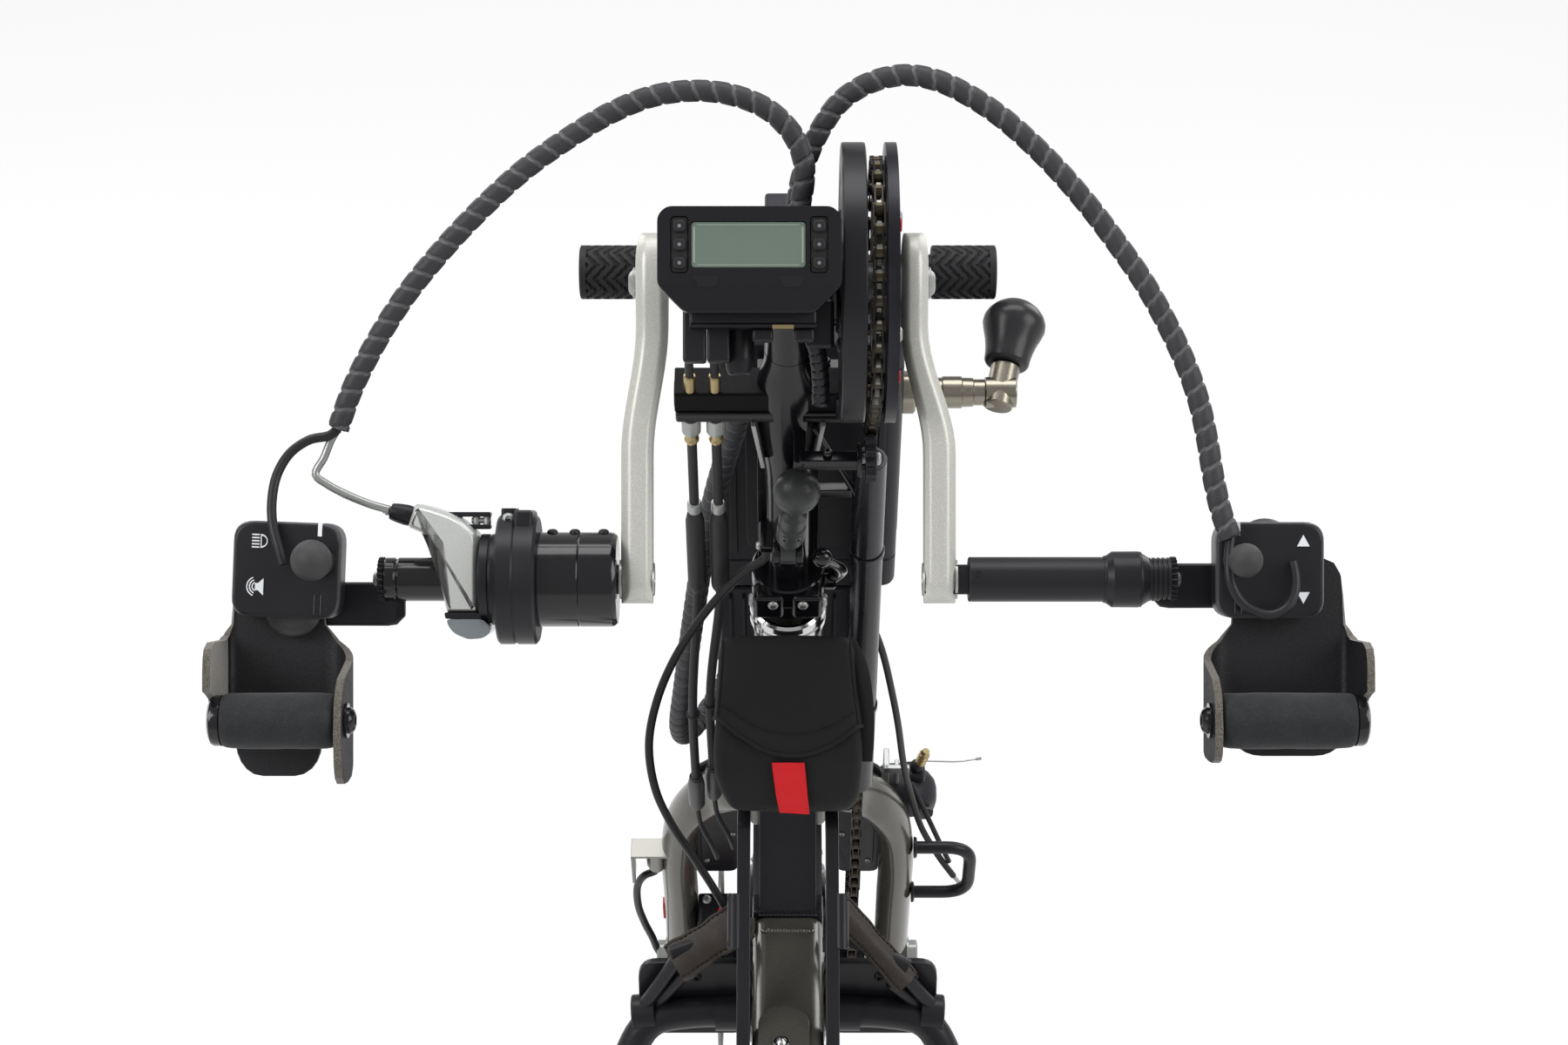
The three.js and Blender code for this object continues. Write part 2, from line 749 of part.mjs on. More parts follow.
function makeColumn() {
  const c = column;
  const post = rodZ(steererTop + seatGap, layout.crankHeight, c.radius);
  const clampTop = steererTop + seatGap + c.clampHeight;
  const clamp = rodZ(steererTop + seatGap, clampTop, c.clampRadius);
  const clampEars = block(
    [-c.clampRadius, c.clampRadius],
    [-c.clampRadius - weldDepth, 0],
    [clampTop - c.clampHeight * 0.75, clampTop - c.clampHeight * 0.25],
  );
  const shell = rodX(-c.shellLeft, c.shellRight, c.shellRadius, 0, layout.crankHeight, 20);
  const crossbar = block(
    [-c.crossbarLeft, c.crossbarRight],
    [-c.crossbarSize / 2, c.crossbarSize / 2],
    [c.crossbarHeight - c.crossbarSize / 2, c.crossbarHeight + c.crossbarSize / 2],
  );
  const cradleBlock = block([-cradle.halfWidth, cradle.halfWidth], [0, batteryRear], [cradle.bottom, cradle.top]);
  const cradleWindow = block(
    [-cradle.halfWidth - overrun, cradle.halfWidth + overrun],
    [c.radius + weldDepth, batteryRear - weldDepth * 4],
    [cradle.bottom + c.radius, cradle.top - c.radius],
  );
  const displayBracket = place(
    block(
      [display.x - display.bracketHalfWidth, display.x + display.bracketHalfWidth],
      [-displayBack, -c.shellRadius / 2],
      [-display.bracketHalfHeight, display.bracketHalfHeight],
    ),
    crankToSteering,
  );
  const hoseSaddle = place(
    block([-c.radius / 3, c.radius], [-c.shellRadius, c.radius], [c.shellRadius / 2, c.shellRadius + wrap.radius / 2]),
    crankToSteering,
  );
  const guides = [
    [-chain.rearRunOffset - chain.guideRadius - chain.height / 2 - seatGap, guideHeight],
    [chain.frontRunOffset + chain.guideRadius + chain.height / 2 + seatGap, guideHeight],
  ].map(([forward, up]) => rodX(
    chain.line - chain.width * 1.2,
    chain.line + chain.width / 2,
    chain.guideRadius,
    forward,
    up,
    14,
  ));
  const guideArm = block(
    [0, chain.line - chain.width],
    [-chain.rearRunOffset - chain.guideRadius * 2, chain.frontRunOffset + chain.guideRadius * 2],
    [guideHeight - chain.width, guideHeight + chain.width - weldDepth],
  );
  const clipUp = cradle.top - c.radius * 3;
  const tubeClip = block(
    [0, chain.line - rearRun.radius - seatGap],
    [rearRunForward(clipUp) - c.radius / 2, rearRunForward(clipUp) + c.radius / 2],
    [clipUp - c.radius / 2, clipUp + c.radius / 2],
  );
  const l = releaseLever;
  const cheeks = [-1, 1].map((side) => block(
    [side * (l.yokeWidth / 2 + seatGap), side * (l.yokeWidth / 2 + seatGap + l.cheek)],
    [-l.reach - l.pinRadius * 2, 0],
    [l.height - l.yokeRadius * 0.8, l.height + l.yokeRadius * 0.8],
  ));
  const cableLug = block(
    [-l.lugOut, -l.yokeWidth / 2 - l.cheek],
    [-l.reach + l.pinRadius, 0],
    [l.height - l.cheek, l.height + l.cheek / 2],
  );
  const stemRoot = block(
    [-pushBar.stemWidth / 2, pushBar.stemWidth / 2],
    [0, c.radius + weldDepth * 2],
    [pushBar.stemHeight - weldDepth, pushBar.stemHeight + pushBar.stemThickness + weldDepth],
  );
  const body = join(
    post, clamp, clampEars, shell, crossbar, cut(cradleBlock, cradleWindow), displayBracket, hoseSaddle,
    ...guides, guideArm, tubeClip, ...cheeks, cableLug, stemRoot,
  );
  const axleBore = rodX(
    -c.shellLeft - overrun,
    c.shellRight + overrun,
    crankAxle.radius + crankAxle.boreGap,
    0,
    layout.crankHeight,
  );
  const pinBore = rodX(-l.reach, l.reach, l.pinRadius + seatGap, -l.reach, l.height, 12);
  return cut(body, axleBore, pinBore);
}

addPiece(steering, 'column', makeColumn(), finishes.blackMetal);

// The chain as one closed band round the chainring, the guides and the sprocket
function chainLoop() {
  const guideShift = chain.guideRadius + chain.height / 2;
  return [
    { y: 0, z: layout.crankHeight, radius: chainringRadius, turn: 1 },
    { y: -chain.rearRunOffset - guideShift - seatGap, z: guideHeight, radius: guideShift + seatGap, turn: -1 },
    { y: layout.forkOffset, z: 0, radius: sprocketRadius, turn: 1 },
    { y: chain.frontRunOffset + guideShift + seatGap, z: guideHeight, radius: guideShift + seatGap, turn: -1 },
  ];
}

// The outline that a belt follows round the wheels, its radii grown by offset on the outside
function beltOutline(wheels, offset) {
  const points = [];
  wheels.forEach((here, i) => {
    const before = wheels[(i + wheels.length - 1) % wheels.length];
    const after = wheels[(i + 1) % wheels.length];
    const arrive = tangentAngle(before, here, offset);
    const leave = tangentAngle(here, after, offset);
    const radius = here.radius + here.turn * offset;
    let sweep = leave - arrive;
    while (sweep * here.turn < 0) sweep += here.turn * 2 * Math.PI;
    const steps = Math.max(2, Math.ceil(Math.abs(sweep) / (18 * degree)));
    for (let k = 0; k <= steps; k += 1) {
      const angle = arrive + (sweep * k) / steps;
      const reach = radius * here.turn;
      points.push([here.y + reach * Math.cos(angle), here.z + reach * Math.sin(angle)]);
    }
  });
  return outline(points);
}

// The direction of the belt's outward normal on the straight run between two wheels
function tangentAngle(from, to, offset) {
  const dy = to.y - from.y;
  const dz = to.z - from.z;
  const span = Math.hypot(dy, dz);
  const rise = (to.turn * (to.radius + to.turn * offset)) - (from.turn * (from.radius + from.turn * offset));
  return Math.atan2(dz, dy) - Math.PI / 2 - Math.asin(rise / span);
}

function makeChain() {
  const half = chain.height / 2;
  const outer = beltOutline(chainPath, half);
  const inner = beltOutline(chainPath, -half);
  outer.holes.push(new THREE.Path(inner.getPoints()));
  return plateX(outer, chain.line - chain.width / 2, chain.line + chain.width / 2);
}

addPiece(steering, 'chain', makeChain(), finishes.steel);

function makeChainTube() {
  const ends = [rearRun.lowEnd, rearRunTop].map((up) => [chain.line, rearRunForward(up), up]);
  const past = [rearRun.lowEnd - overrun, rearRunTop + overrun].map((up) => [chain.line, rearRunForward(up), up]);
  return cut(rod(...ends, rearRun.radius, 16), rod(...past, rearRun.bore, 12));
}

addPiece(steering, 'chain_tube', makeChainTube(), finishes.blackPlastic);

// Push bar in front of the cranks, and its grips
function makePushBar() {
  const b = pushBar;
  const bar = rodX(-b.gripEnd + b.gripCollar, b.gripEnd - b.gripCollar, b.radius, b.forward, b.height);
  const start = column.radius + weldDepth * 2 + seatGap;
  const stem = block([-b.stemWidth / 2, b.stemWidth / 2], [start, b.forward], [b.stemHeight, b.stemHeight + b.stemThickness]);
  const drop = block(
    [-b.stemWidth / 2, b.stemWidth / 2],
    [b.forward - b.stemThickness / 2, b.forward + b.stemThickness / 2],
    [b.height, b.stemHeight + b.stemThickness],
  );
  return join(bar, stem, drop);
}

function makePushGrip(side) {
  const b = pushBar;
  const inner = b.gripEnd - b.gripLength;
  const sleeve = rodX(side * inner, side * b.gripEnd, b.gripRadius, b.forward, b.height, 14);
  const collarWidth = b.gripCollar * 2;
  const groove = cut(
    rodX(side * (inner + collarWidth), side * (b.gripEnd - collarWidth), b.gripRadius + overrun, b.forward, b.height, 14),
    rodX(side * inner, side * b.gripEnd, b.gripRadius - weldDepth, b.forward, b.height, 14),
  );
  const bore = rodX(side * (inner - overrun), side * (b.gripEnd - b.gripCollar + seatGap), b.radius + seatGap, b.forward, b.height);
  return cut(sleeve, groove, bore);
}

addPiece(steering, 'push_bar', makePushBar(), finishes.blackMetal);
addPiece(steering, 'push_grip_left', makePushGrip(-1), finishes.rubber);
addPiece(steering, 'push_grip_right', makePushGrip(1), finishes.rubber);

// Battery and controller, ahead of the column
function chamferedBox([x0, x1], [y0, y1], [z0, z1], edge) {
  const plan = outline([
    [x0 + edge, y0], [x1 - edge, y0], [x1, y0 + edge], [x1, y1 - edge],
    [x1 - edge, y1], [x0 + edge, y1], [x0, y1 - edge], [x0, y0 + edge],
  ]);
  return solid(new THREE.ExtrudeGeometry(plan, { depth: z1 - z0, bevelEnabled: false }).translate(0, 0, z0));
}

const batteryCase = chamferedBox(
  [-battery.left, battery.right],
  [battery.rear, battery.front],
  [battery.bottom, battery.top],
  battery.edge,
);
const controllerCase = chamferedBox(
  [-controller.left, controller.right],
  [battery.rear, controller.front],
  [controller.bottom, battery.bottom - seatGap],
  battery.edge,
);
addPiece(steering, 'battery', batteryCase, finishes.blackPlastic);
addPiece(steering, 'controller_box', controllerCase, finishes.blackPlastic);

function makeHeadlamp() {
  const start = battery.front + seatGap;
  const bodyStart = start + headlamp.bezel;
  const shell = rod([0, bodyStart, lampHeight], [0, start + headlamp.length, lampHeight], headlamp.radius, 24);
  const mount = block(
    [-headlamp.footWidth / 2, headlamp.footWidth / 2],
    [start, bodyStart + headlamp.bezel],
    [lampHeight - headlamp.footWidth / 2, lampHeight + headlamp.footWidth / 2],
  );
  const dish = rod(
    [0, start + headlamp.length - headlamp.bezel, lampHeight],
    [0, start + headlamp.length + overrun, lampHeight],
    headlamp.radius - headlamp.bezel,
    24,
  );
  return cut(join(shell, mount), dish);
}

addPiece(steering, 'headlamp', makeHeadlamp(), finishes.blackPlastic);

// Battery lock: a cranked handle with a pear knob, on a rod out of the battery's side
const knobHeading = [0.21, 0.93, 0.3];

function makeBatteryHandle() {
  const h = handleClamp;
  const start = battery.right + seatGap;
  const nut = rodX(start, start + h.nutLength, h.nutRadius, h.forward, h.height, 6);
  const shaft = rodX(start, h.rodEnd, h.rodRadius, h.forward, h.height);
  const half = h.elbowSize / 2;
  const elbow = block(
    [h.rodEnd - weldDepth, h.rodEnd + h.elbowSize],
    [h.forward - half, h.forward + half],
    [h.height - half, h.height + half],
  );
  const rise = new THREE.Vector3(...knobHeading).normalize();
  const root = new THREE.Vector3(h.rodEnd + half, h.forward, h.height);
  const at = (distance) => root.clone().addScaledVector(rise, distance).toArray();
  const stem = rod(root.toArray(), at(half + h.stemLength + weldDepth), h.knobNeck / 2, 12);
  const knobStart = half + h.stemLength;
  const taper = new THREE.CylinderGeometry(h.knobRadius * 0.92, h.knobNeck, h.knobLength - h.knobRadius, 14);
  taper.translate(0, (h.knobLength - h.knobRadius) / 2, 0);
  const turn = new THREE.Quaternion().setFromUnitVectors(new THREE.Vector3(0, 1, 0), rise);
  const cone = solid(taper.applyQuaternion(turn).translate(...at(knobStart)));
  const head = ball(at(knobStart + h.knobLength - h.knobRadius), h.knobRadius, 14);
  return join(nut, shaft, elbow, stem, cone, head);
}

addPiece(steering, 'battery_handle', makeBatteryHandle(), finishes.steel);

// Release lever for the dock: a ball on a stem, hinged on a yoke behind the column
function makeReleaseLever() {
  const l = releaseLever;
  const pivot = [0, -l.reach, l.height];
  const yoke = rodX(-l.yokeWidth / 2, l.yokeWidth / 2, l.yokeRadius, -l.reach, l.height, 16);
  const pinEnd = l.yokeWidth / 2 + l.cheek + seatGap * 2;
  const pin = rodX(-pinEnd, pinEnd, l.pinRadius, -l.reach, l.height, 12);
  const tilt = new THREE.Vector3(0, -0.42, 0.907);
  const end = new THREE.Vector3(...pivot).addScaledVector(tilt, l.length).toArray();
  return join(yoke, pin, rod(pivot, end, l.stemRadius, 10), ball(end, l.ballRadius, 12));
}

addPiece(steering, 'release_lever', makeReleaseLever(), finishes.blackPlastic);

// Clamp lever at the foot of the column
function makeClampLever() {
  const l = clampLever;
  const up = steererTop + column.clampHeight / 2;
  const x = column.clampRadius + l.thickness / 2 + runningGap;
  const bolt = rodX(column.clampRadius + seatGap, l.boltEnd, l.boltRadius, 0, up, 14);
  const tip = [x - l.bow, -l.length / 2, up + l.length];
  const handle = tube(
    [
      [x, 0, up],
      [x + l.bow, -l.length * 0.12, up + l.length * 0.28],
      [x + l.bow * 0.7, -l.length * 0.3, up + l.length * 0.62],
      tip,
    ],
    circle(l.thickness / 2, 8),
    7,
  );
  return join(bolt, handle, ball(tip, l.knobRadius, 8));
}

addPiece(steering, 'clamp_lever', makeClampLever(), finishes.blackMetal);

// Cables that run down beside the column from the crossbar
const cableAcross = column.crossbarLeft - column.crossbarSize / 2;
const cableBehind = column.crossbarSize * 0.35;
const cableApart = controlCable.sleeveRadius * 2.5;

function makeControlCable(across, foot, low) {
  const c = controlCable;
  const top = column.crossbarHeight - column.crossbarSize / 2 - seatGap;
  const behind = -cableBehind;
  const line = tube(
    [
      [across, behind, top],
      [across, behind, c.sleeveTop],
      [across, behind, c.sleeveBottom],
      [foot, low, (c.sleeveBottom + c.bottom) / 2],
      [foot, low, c.bottom],
    ],
    circle(c.radius, 8),
    9,
  );
  const sleeve = rodZ(c.sleeveBottom, c.sleeveTop, c.sleeveRadius, across, behind, 12);
  const adjuster = rodZ(top - c.sleeveRadius * 4, top, c.stopRadius, across, behind, 10);
  const end = rodZ(c.bottom - c.sleeveRadius * 3, c.bottom + c.sleeveRadius * 3, c.sleeveRadius, foot, low, 10);
  return join(line, sleeve, adjuster, end);
}

const cableLeft = makeControlCable(-cableAcross, -cableAcross - controlCable.stopRadius, -column.crossbarSize);
const cableRight = makeControlCable(cableApart - cableAcross, cableApart - cableAcross, -cableBehind);
addPiece(steering, 'control_cable_left', cableLeft, finishes.rubber);
addPiece(steering, 'control_cable_right', cableRight, finishes.rubber);
addPiece(steering, 'harness', tube(harnessRoute, circle(harnessRadius, 8), 14), finishes.rubber);

// Brake caliper inside the left leg, astride the rotor
function makeBrake() {
  const b = brake;
  const outer = fork.legCentre - fork.legWidth / 2 - seatGap;
  const body = block([-outer, -outer + b.width], [-b.depth / 2, b.depth / 2], [b.radialPlace - b.slotDepth, b.radialPlace + b.height - b.slotDepth]);
  const slot = block(
    [-rotor.plane - b.slotWidth / 2, -rotor.plane + b.slotWidth / 2],
    [-b.depth, b.depth],
    [0, rotor.radius + overrun],
  );
  return cut(body, slot).rotate([b.angle / degree, 0, 0]).translate([0, layout.forkOffset, 0]);
}

addPiece(steering, 'brake_caliper', makeBrake(), finishes.blackMetal);

// Derailleur ahead of the right leg, and the loop that guards it
function makeDerailleur() {
  const d = derailleur;
  const inner = fork.legCentre - fork.legWidth / 2;
  const start = fork.legForward + fork.legDepth / 2 + seatGap;
  const body = chamferedBox(
    [inner, inner + d.bodyWidth],
    [start, start + d.bodyDepth],
    [d.height, d.height + d.bodyHeight],
    d.cage,
  );
  const cageInner = chain.line + chain.width / 2 + seatGap * 3;
  const cageShape = roundedOutline(
    start + d.cage,
    start + d.cage + d.cageWidth,
    d.height - d.cageDrop,
    d.height + d.bodyHeight,
    d.cageWidth * 0.45,
  );
  const cage = plateX(cageShape, cageInner, cageInner + d.cage);
  const link = block(
    [cageInner, inner + weldDepth],
    [start + d.cage * 2, start + d.cageWidth],
    [d.height + d.cage, d.height + d.bodyHeight - d.cage],
  );
  return join(body, cage, link);
}

function makeGuardLoop() {
  const g = guardLoop;
  const start = fork.legCentre + fork.legWidth / 2 + seatGap;
  const y = fork.legForward * 0.75;
  return tube(
    [
      [start, y, g.high],
      [start + g.reach - g.bend, y, g.high],
      [start + g.reach, y, g.high - g.bend],
      [start + g.reach, y, g.low + g.bend],
      [start + g.reach - g.bend, y, g.low],
      [start, y, g.low],
    ],
    circle(g.radius, 8),
    14,
  );
}

addPiece(steering, 'derailleur', makeDerailleur(), finishes.blackMetal);
addPiece(steering, 'derailleur_guard', makeGuardLoop(), finishes.blackMetal);

// Crank set
function makeChainring() {
  const disc = toothedDisc(chainring.teeth, chainringRadius, chainring.thickness);
  const half = chainring.thickness / 2 + overrun;
  const window = turnedX([
    [chainring.webInner, chain.line - half],
    [chainring.webOuter, chain.line - half],
    [chainring.webOuter, chain.line + half],
    [chainring.webInner, chain.line + half],
  ], 18);
  const arms = spider(chain.line - half, chain.line + half, chainring.webOuter + overrun, chainring.armWidth);
  const hubDisc = rodX(guardInner.outerFace + seatGap, guardOuter.innerFace - seatGap, chainring.hubRadius);
  return cut(join(cut(disc, cut(window, ...arms)), hubDisc), axleHole());
}

function spider(x0, x1, reach, width) {
  return Array.from({ length: chainring.armCount }, (_, i) => (
    block([x0, x1], [0, reach], [-width / 2, width / 2]).rotate([(360 * i) / chainring.armCount, 0, 0])
  ));
}

function axleHole() {
  return rodX(0, crankArm.endOuterFace, crankAxle.radius + seatGap);
}

function makeGuardInner() {
  const g = guardInner;
  const disc = rodX(g.innerFace, g.outerFace, g.radius, 0, 0, 28);
  const dish = cut(
    rodX(g.innerFace + g.web, g.outerFace + overrun, g.radius - g.rimWall, 0, 0, 28),
    rodX(g.innerFace, g.outerFace + overrun, g.hubRadius),
  );
  return cut(disc, dish, axleHole());
}

function makeGuardOuter() {
  const g = guardOuter;
  const ring = cut(
    rodX(g.innerFace, g.outerFace, g.radius, 0, 0, 28),
    rodX(g.innerFace - overrun, g.outerFace + overrun, g.radius - g.ringWidth, 0, 0, 28),
  );
  const centre = rodX(g.innerFace, g.outerFace, g.hubRadius);
  return cut(join(ring, centre, ...spider(g.innerFace, g.outerFace, g.radius - g.ringWidth / 2, g.armWidth)), axleHole());
}

function makeCrankArm(side) {
  const a = crankArm;
  const end = -(layout.crankLength + a.endReach);
  const shape = outline([
    [a.axleInnerFace, a.topReach - a.bevel],
    [a.axleInnerFace + a.bevel, a.topReach],
    [a.axleOuterFace - a.bevel, a.topReach],
    [a.axleOuterFace, a.topReach - a.bevel],
    [a.axleOuterFace + (a.endOuterFace - a.axleOuterFace) * 0.2, -a.bendTopDrop],
    [a.endOuterFace - (a.endOuterFace - a.axleOuterFace) * 0.15, -a.bendLowDrop],
    [a.endOuterFace, -(a.bendLowDrop + a.bendTopDrop)],
    [a.endOuterFace, end],
    [a.endInnerFace, end],
    [a.endInnerFace, -(a.bendLowDrop + a.bendTopDrop)],
    [a.endInnerFace - (a.endInnerFace - a.axleInnerFace) * 0.15, -a.bendLowDrop],
    [a.axleInnerFace + (a.endInnerFace - a.axleInnerFace) * 0.2, -a.bendTopDrop],
  ]);
  const bar = plateY(shape, -a.depth / 2, a.depth / 2);
  const boss = rodX(a.axleInnerFace, a.axleOuterFace, a.bossRadius);
  const nose = roundedEnd();
  const hole = rodX(0, a.endOuterFace + overrun, a.spindleRadius + seatGap, 0, -layout.crankLength);
  const arm = cut(join(bar.intersect(nose), boss), axleHole(), hole);
  return side > 0 ? arm : mirrored(arm);
}

// A crank arm's side view: round at the axle, tapering a little, with a bevelled end
function roundedEnd() {
  const a = crankArm;
  const half = a.depth / 2;
  const end = -(layout.crankLength + a.endReach);
  const shape = new THREE.Shape();
  shape.moveTo(-half, 0);
  shape.lineTo(-half + a.bevel / 2, end + a.bevel);
  shape.lineTo(-half + a.bevel, end - overrun);
  shape.lineTo(half - a.bevel, end - overrun);
  shape.lineTo(half - a.bevel / 2, end + a.bevel);
  shape.lineTo(half, 0);
  shape.lineTo(half, a.topReach - half);
  shape.absarc(0, a.topReach - half, half, 0, Math.PI);
  return plateX(shape, a.axleInnerFace - overrun, a.endOuterFace + overrun);
}

const crankShaft = rodX(-crankArm.axleOuterFace, crankArm.axleOuterFace, crankAxle.radius);
addPiece(crank, 'crank_axle', crankShaft, finishes.steel);
addPiece(crank, 'crank_left', makeCrankArm(-1), finishes.silver);
addPiece(crank, 'crank_right', makeCrankArm(1), finishes.silver);
addPiece(crank, 'chainring', makeChainring(), finishes.steel);
addPiece(crank, 'guard_inner', makeGuardInner(), finishes.blackPlastic);
addPiece(crank, 'guard_outer', makeGuardOuter(), finishes.blackMetal);

// Display, facing the rider, with a strip of three keys on each side
const displayFrame = new THREE.Group();
displayFrame.position.copy(
  new THREE.Vector3(display.x, -display.backFromCrank, display.riseFromCrank).applyMatrix4(
    new THREE.Matrix4().makeRotationX(-layout.viewTilt),
  ).add(crankCentre),
);
displayFrame.rotation.x = -layout.viewTilt;
handcycle.add(displayFrame);

const keyRowHalf = display.keyPitch + display.keySize / 2 + display.keyLift;

function makeDisplay() {
  const d = display;
  const halfW = d.width / 2;
  const halfH = d.height / 2;
  const corner = d.chamfer / 3;
  const shape = outline([
    [-halfW + d.chamfer, -halfH], [halfW - d.chamfer, -halfH], [halfW, -halfH + d.chamfer],
    [halfW, halfH - corner], [halfW - corner, halfH], [-halfW + corner, halfH],
    [-halfW, halfH - corner], [-halfW, -halfH + d.chamfer],
  ]);
  const pockets = [-1, 1].map((side) => {
    const centre = side * (halfW - d.keyInset);
    return block(
      [centre - d.keyWidth / 2 - seatGap, centre + d.keyWidth / 2 + seatGap],
      [-d.thickness / 2 - overrun, -d.thickness / 2 + d.keyPlate + d.keyTravel + seatGap],
      [-d.keyDrop - keyRowHalf - seatGap, -d.keyDrop + keyRowHalf + seatGap],
    );
  });
  return cut(plateY(shape, -d.thickness / 2, d.thickness / 2), ...pockets);
}

function makeKeys(side) {
  const d = display;
  const centre = side * (d.width / 2 - d.keyInset);
  const face = -d.thickness / 2;
  const backing = block(
    [centre - d.keyWidth / 2, centre + d.keyWidth / 2],
    [face, face + d.keyPlate],
    [-d.keyDrop - keyRowHalf, -d.keyDrop + keyRowHalf],
  );
  const caps = [-1, 0, 1].map((step) => {
    const up = -d.keyDrop + step * d.keyPitch;
    return block(
      [centre - d.keySize / 2, centre + d.keySize / 2],
      [face - d.keyLift, face + d.keyPlate / 2],
      [up - d.keySize / 2, up + d.keySize / 2],
    );
  });
  return join(backing, ...caps);
}

addPiece(displayFrame, 'display_case', makeDisplay(), finishes.blackPlastic);
addPiece(displayFrame, 'keys_left', makeKeys(-1), finishes.rubber);
addPiece(displayFrame, 'keys_right', makeKeys(1), finishes.rubber);

// Left grip: drum, collar and ring on the spindle, then the tube that carries the lever and the hand rest

function restBracket(inner, tubeEnd, tubeRadius) {
  const front = -rest.plateFront + rest.thickness + seatGap;
  return block([tubeEnd - rest.headLength * 2, inner + rest.bracketWidth], [front, rest.bracketBack], [-rest.bracketDrop, tubeRadius * 0.4]);
}

function makeGripLeft() {
  const g = grip;
  const spindle = rodX(crankArm.endInnerFace, g.drumInner + weldDepth, crankArm.spindleRadius);
  const drum = rodX(g.drumInner, g.drumOuter, g.drumRadius, 0, 0, 20);
  const collar = rodX(g.drumOuter - weldDepth, g.collarOuter, g.collarRadius, 0, 0, 20);
  const ring = rodX(g.collarOuter - weldDepth, g.ringOuter, g.ringRadius, 0, 0, 20);
  const pipe = rodX(g.ringOuter - weldDepth, g.tubeEnd, g.tubeRadius);
  return mirrored(join(spindle, drum, collar, ring, pipe, restBracket(layout.halfWidth - rest.spanLeft, g.tubeEnd, g.tubeRadius)));
}

function makeGripRight() {
  const g = plainGrip;
  const spindle = rodX(crankArm.endInnerFace, g.tubeInner + weldDepth, crankArm.spindleRadius);
  const pipe = rodX(g.tubeInner, g.tubeOuter, g.tubeRadius, 0, 0, 24);
  const sleeve = rodX(g.tubeOuter - weldDepth, g.sleeveOuter, g.sleeveRadius, 0, 0, 24);
  const end = rodX(g.sleeveOuter - weldDepth, g.neckOuter, g.neckRadius, 0, 0, 24);
  return join(spindle, pipe, sleeve, end, restBracket(layout.halfWidth - rest.spanRight, g.neckOuter, g.neckRadius));
}

addPiece(grips, 'grip_hub_left', makeGripLeft(), finishes.blackMetal);
addPiece(grips, 'grip_tube_right', makeGripRight(), finishes.blackMetal);

// Hand rest: a palm plate with an outer wing and an inner flange, and the padded roll between them
function makePalmPlate(side, inner) {
  const r = rest;
  const outer = inner + r.plateWidth;
  const front = -r.plateFront;
  const back = front + r.thickness;
  const wingOuter = layout.halfWidth;
  const flangeInner = inner - r.flangeGap;
  const panel = plateY(roundedOutline(inner, outer, -r.plateBottom, r.plateTop, r.corner), front, back);
  const wingWeb = plateY(
    roundedOutline(outer - r.corner * 1.5, wingOuter, -r.wingBottom, -r.wingTop, r.thickness),
    front,
    back,
  );
  const wing = block([wingOuter - r.thickness, wingOuter], [-r.flangeDepth, back], [-r.wingBottom, -r.wingTop]);
  const flangeWeb = plateY(
    roundedOutline(flangeInner, inner + r.corner * 1.5, -r.plateBottom, -r.flangeTop, r.thickness),
    front,
    back,
  );
  const flange = block([flangeInner, flangeInner + r.thickness], [-r.flangeDepth, back], [-r.plateBottom, -r.flangeTop]);
  const pinHole = rodX(
    flangeInner - overrun,
    wingOuter + overrun,
    r.pinRadius + seatGap,
    -r.rollBack,
    -r.rollDrop,
    12,
  );
  const plate = cut(join(panel, wingWeb, wing, flangeWeb, flange), pinHole);
  return side > 0 ? plate : mirrored(plate);
}

function makeRoll(side, inner) {
  const r = rest;
  const flangeInner = inner - r.flangeGap;
  const start = flangeInner + r.thickness + runningGap;
  const end = layout.halfWidth - r.thickness - runningGap;
  const middle = (start + end) / 2;
  const pad = [
    [0, start],
    [r.rollRadius - r.rollEdge, start],
    [r.rollRadius - r.rollCrown, start + r.rollEdge],
    [r.rollRadius, middle],
  ];
  const profile = [...pad, ...pad.slice(0, -1).reverse().map(([radius, x]) => [radius, start + end - x])];
  const roll = turnedX(profile, 14).translate([0, -r.rollBack, -r.rollDrop]);
  const headEnd = flangeInner - seatGap;
  const pin = rodX(headEnd - r.headLength, layout.halfWidth - r.thickness / 2, r.pinRadius, -r.rollBack, -r.rollDrop, 12);
  const head = rodX(headEnd - r.headLength, headEnd, r.headRadius, -r.rollBack, -r.rollDrop, 12);
  const all = join(roll, pin, head);
  return side > 0 ? all : mirrored(all);
}

function makeControlBox(side, inner) {
  const b = controlBox;
  const centre = inner + b.fromInner;
  const back = -rest.plateFront - seatGap;
  const shell = plateY(
    roundedOutline(centre - b.width / 2, centre + b.width / 2, -b.bottom, b.top, b.corner),
    back - b.depth,
    back,
  );
  const slotX = toggleX(inner);
  const slot = block(
    [slotX - b.slotWidth / 2, slotX + b.slotWidth / 2],
    [back - b.depth - overrun, back - b.depth + b.slotDepth],
    [-b.bottom + b.corner / 2, b.top - b.corner / 2],
  );
  const box = cut(shell, slot);
  return side > 0 ? box : mirrored(box);
}

function toggleX(inner) {
  return inner + toggle.fromInner;
}

function makeToggle(side, inner, radius) {
  const x = toggleX(inner);
  const y = -rest.plateFront - seatGap - controlBox.depth + toggle.pivotDepth;
  const hubBar = rodX(x - controlBox.slotWidth / 2 + runningGap, x + controlBox.slotWidth / 2 - runningGap, toggle.hubRadius, y, toggle.rise, 12);
  const stem = rod([x, y, toggle.rise], [x, y - toggle.reach + radius, toggle.rise], toggle.stemRadius, 10);
  const all = join(hubBar, stem, ball([x, y - toggle.reach + radius, toggle.rise], radius, 10));
  return side > 0 ? all : mirrored(all);
}

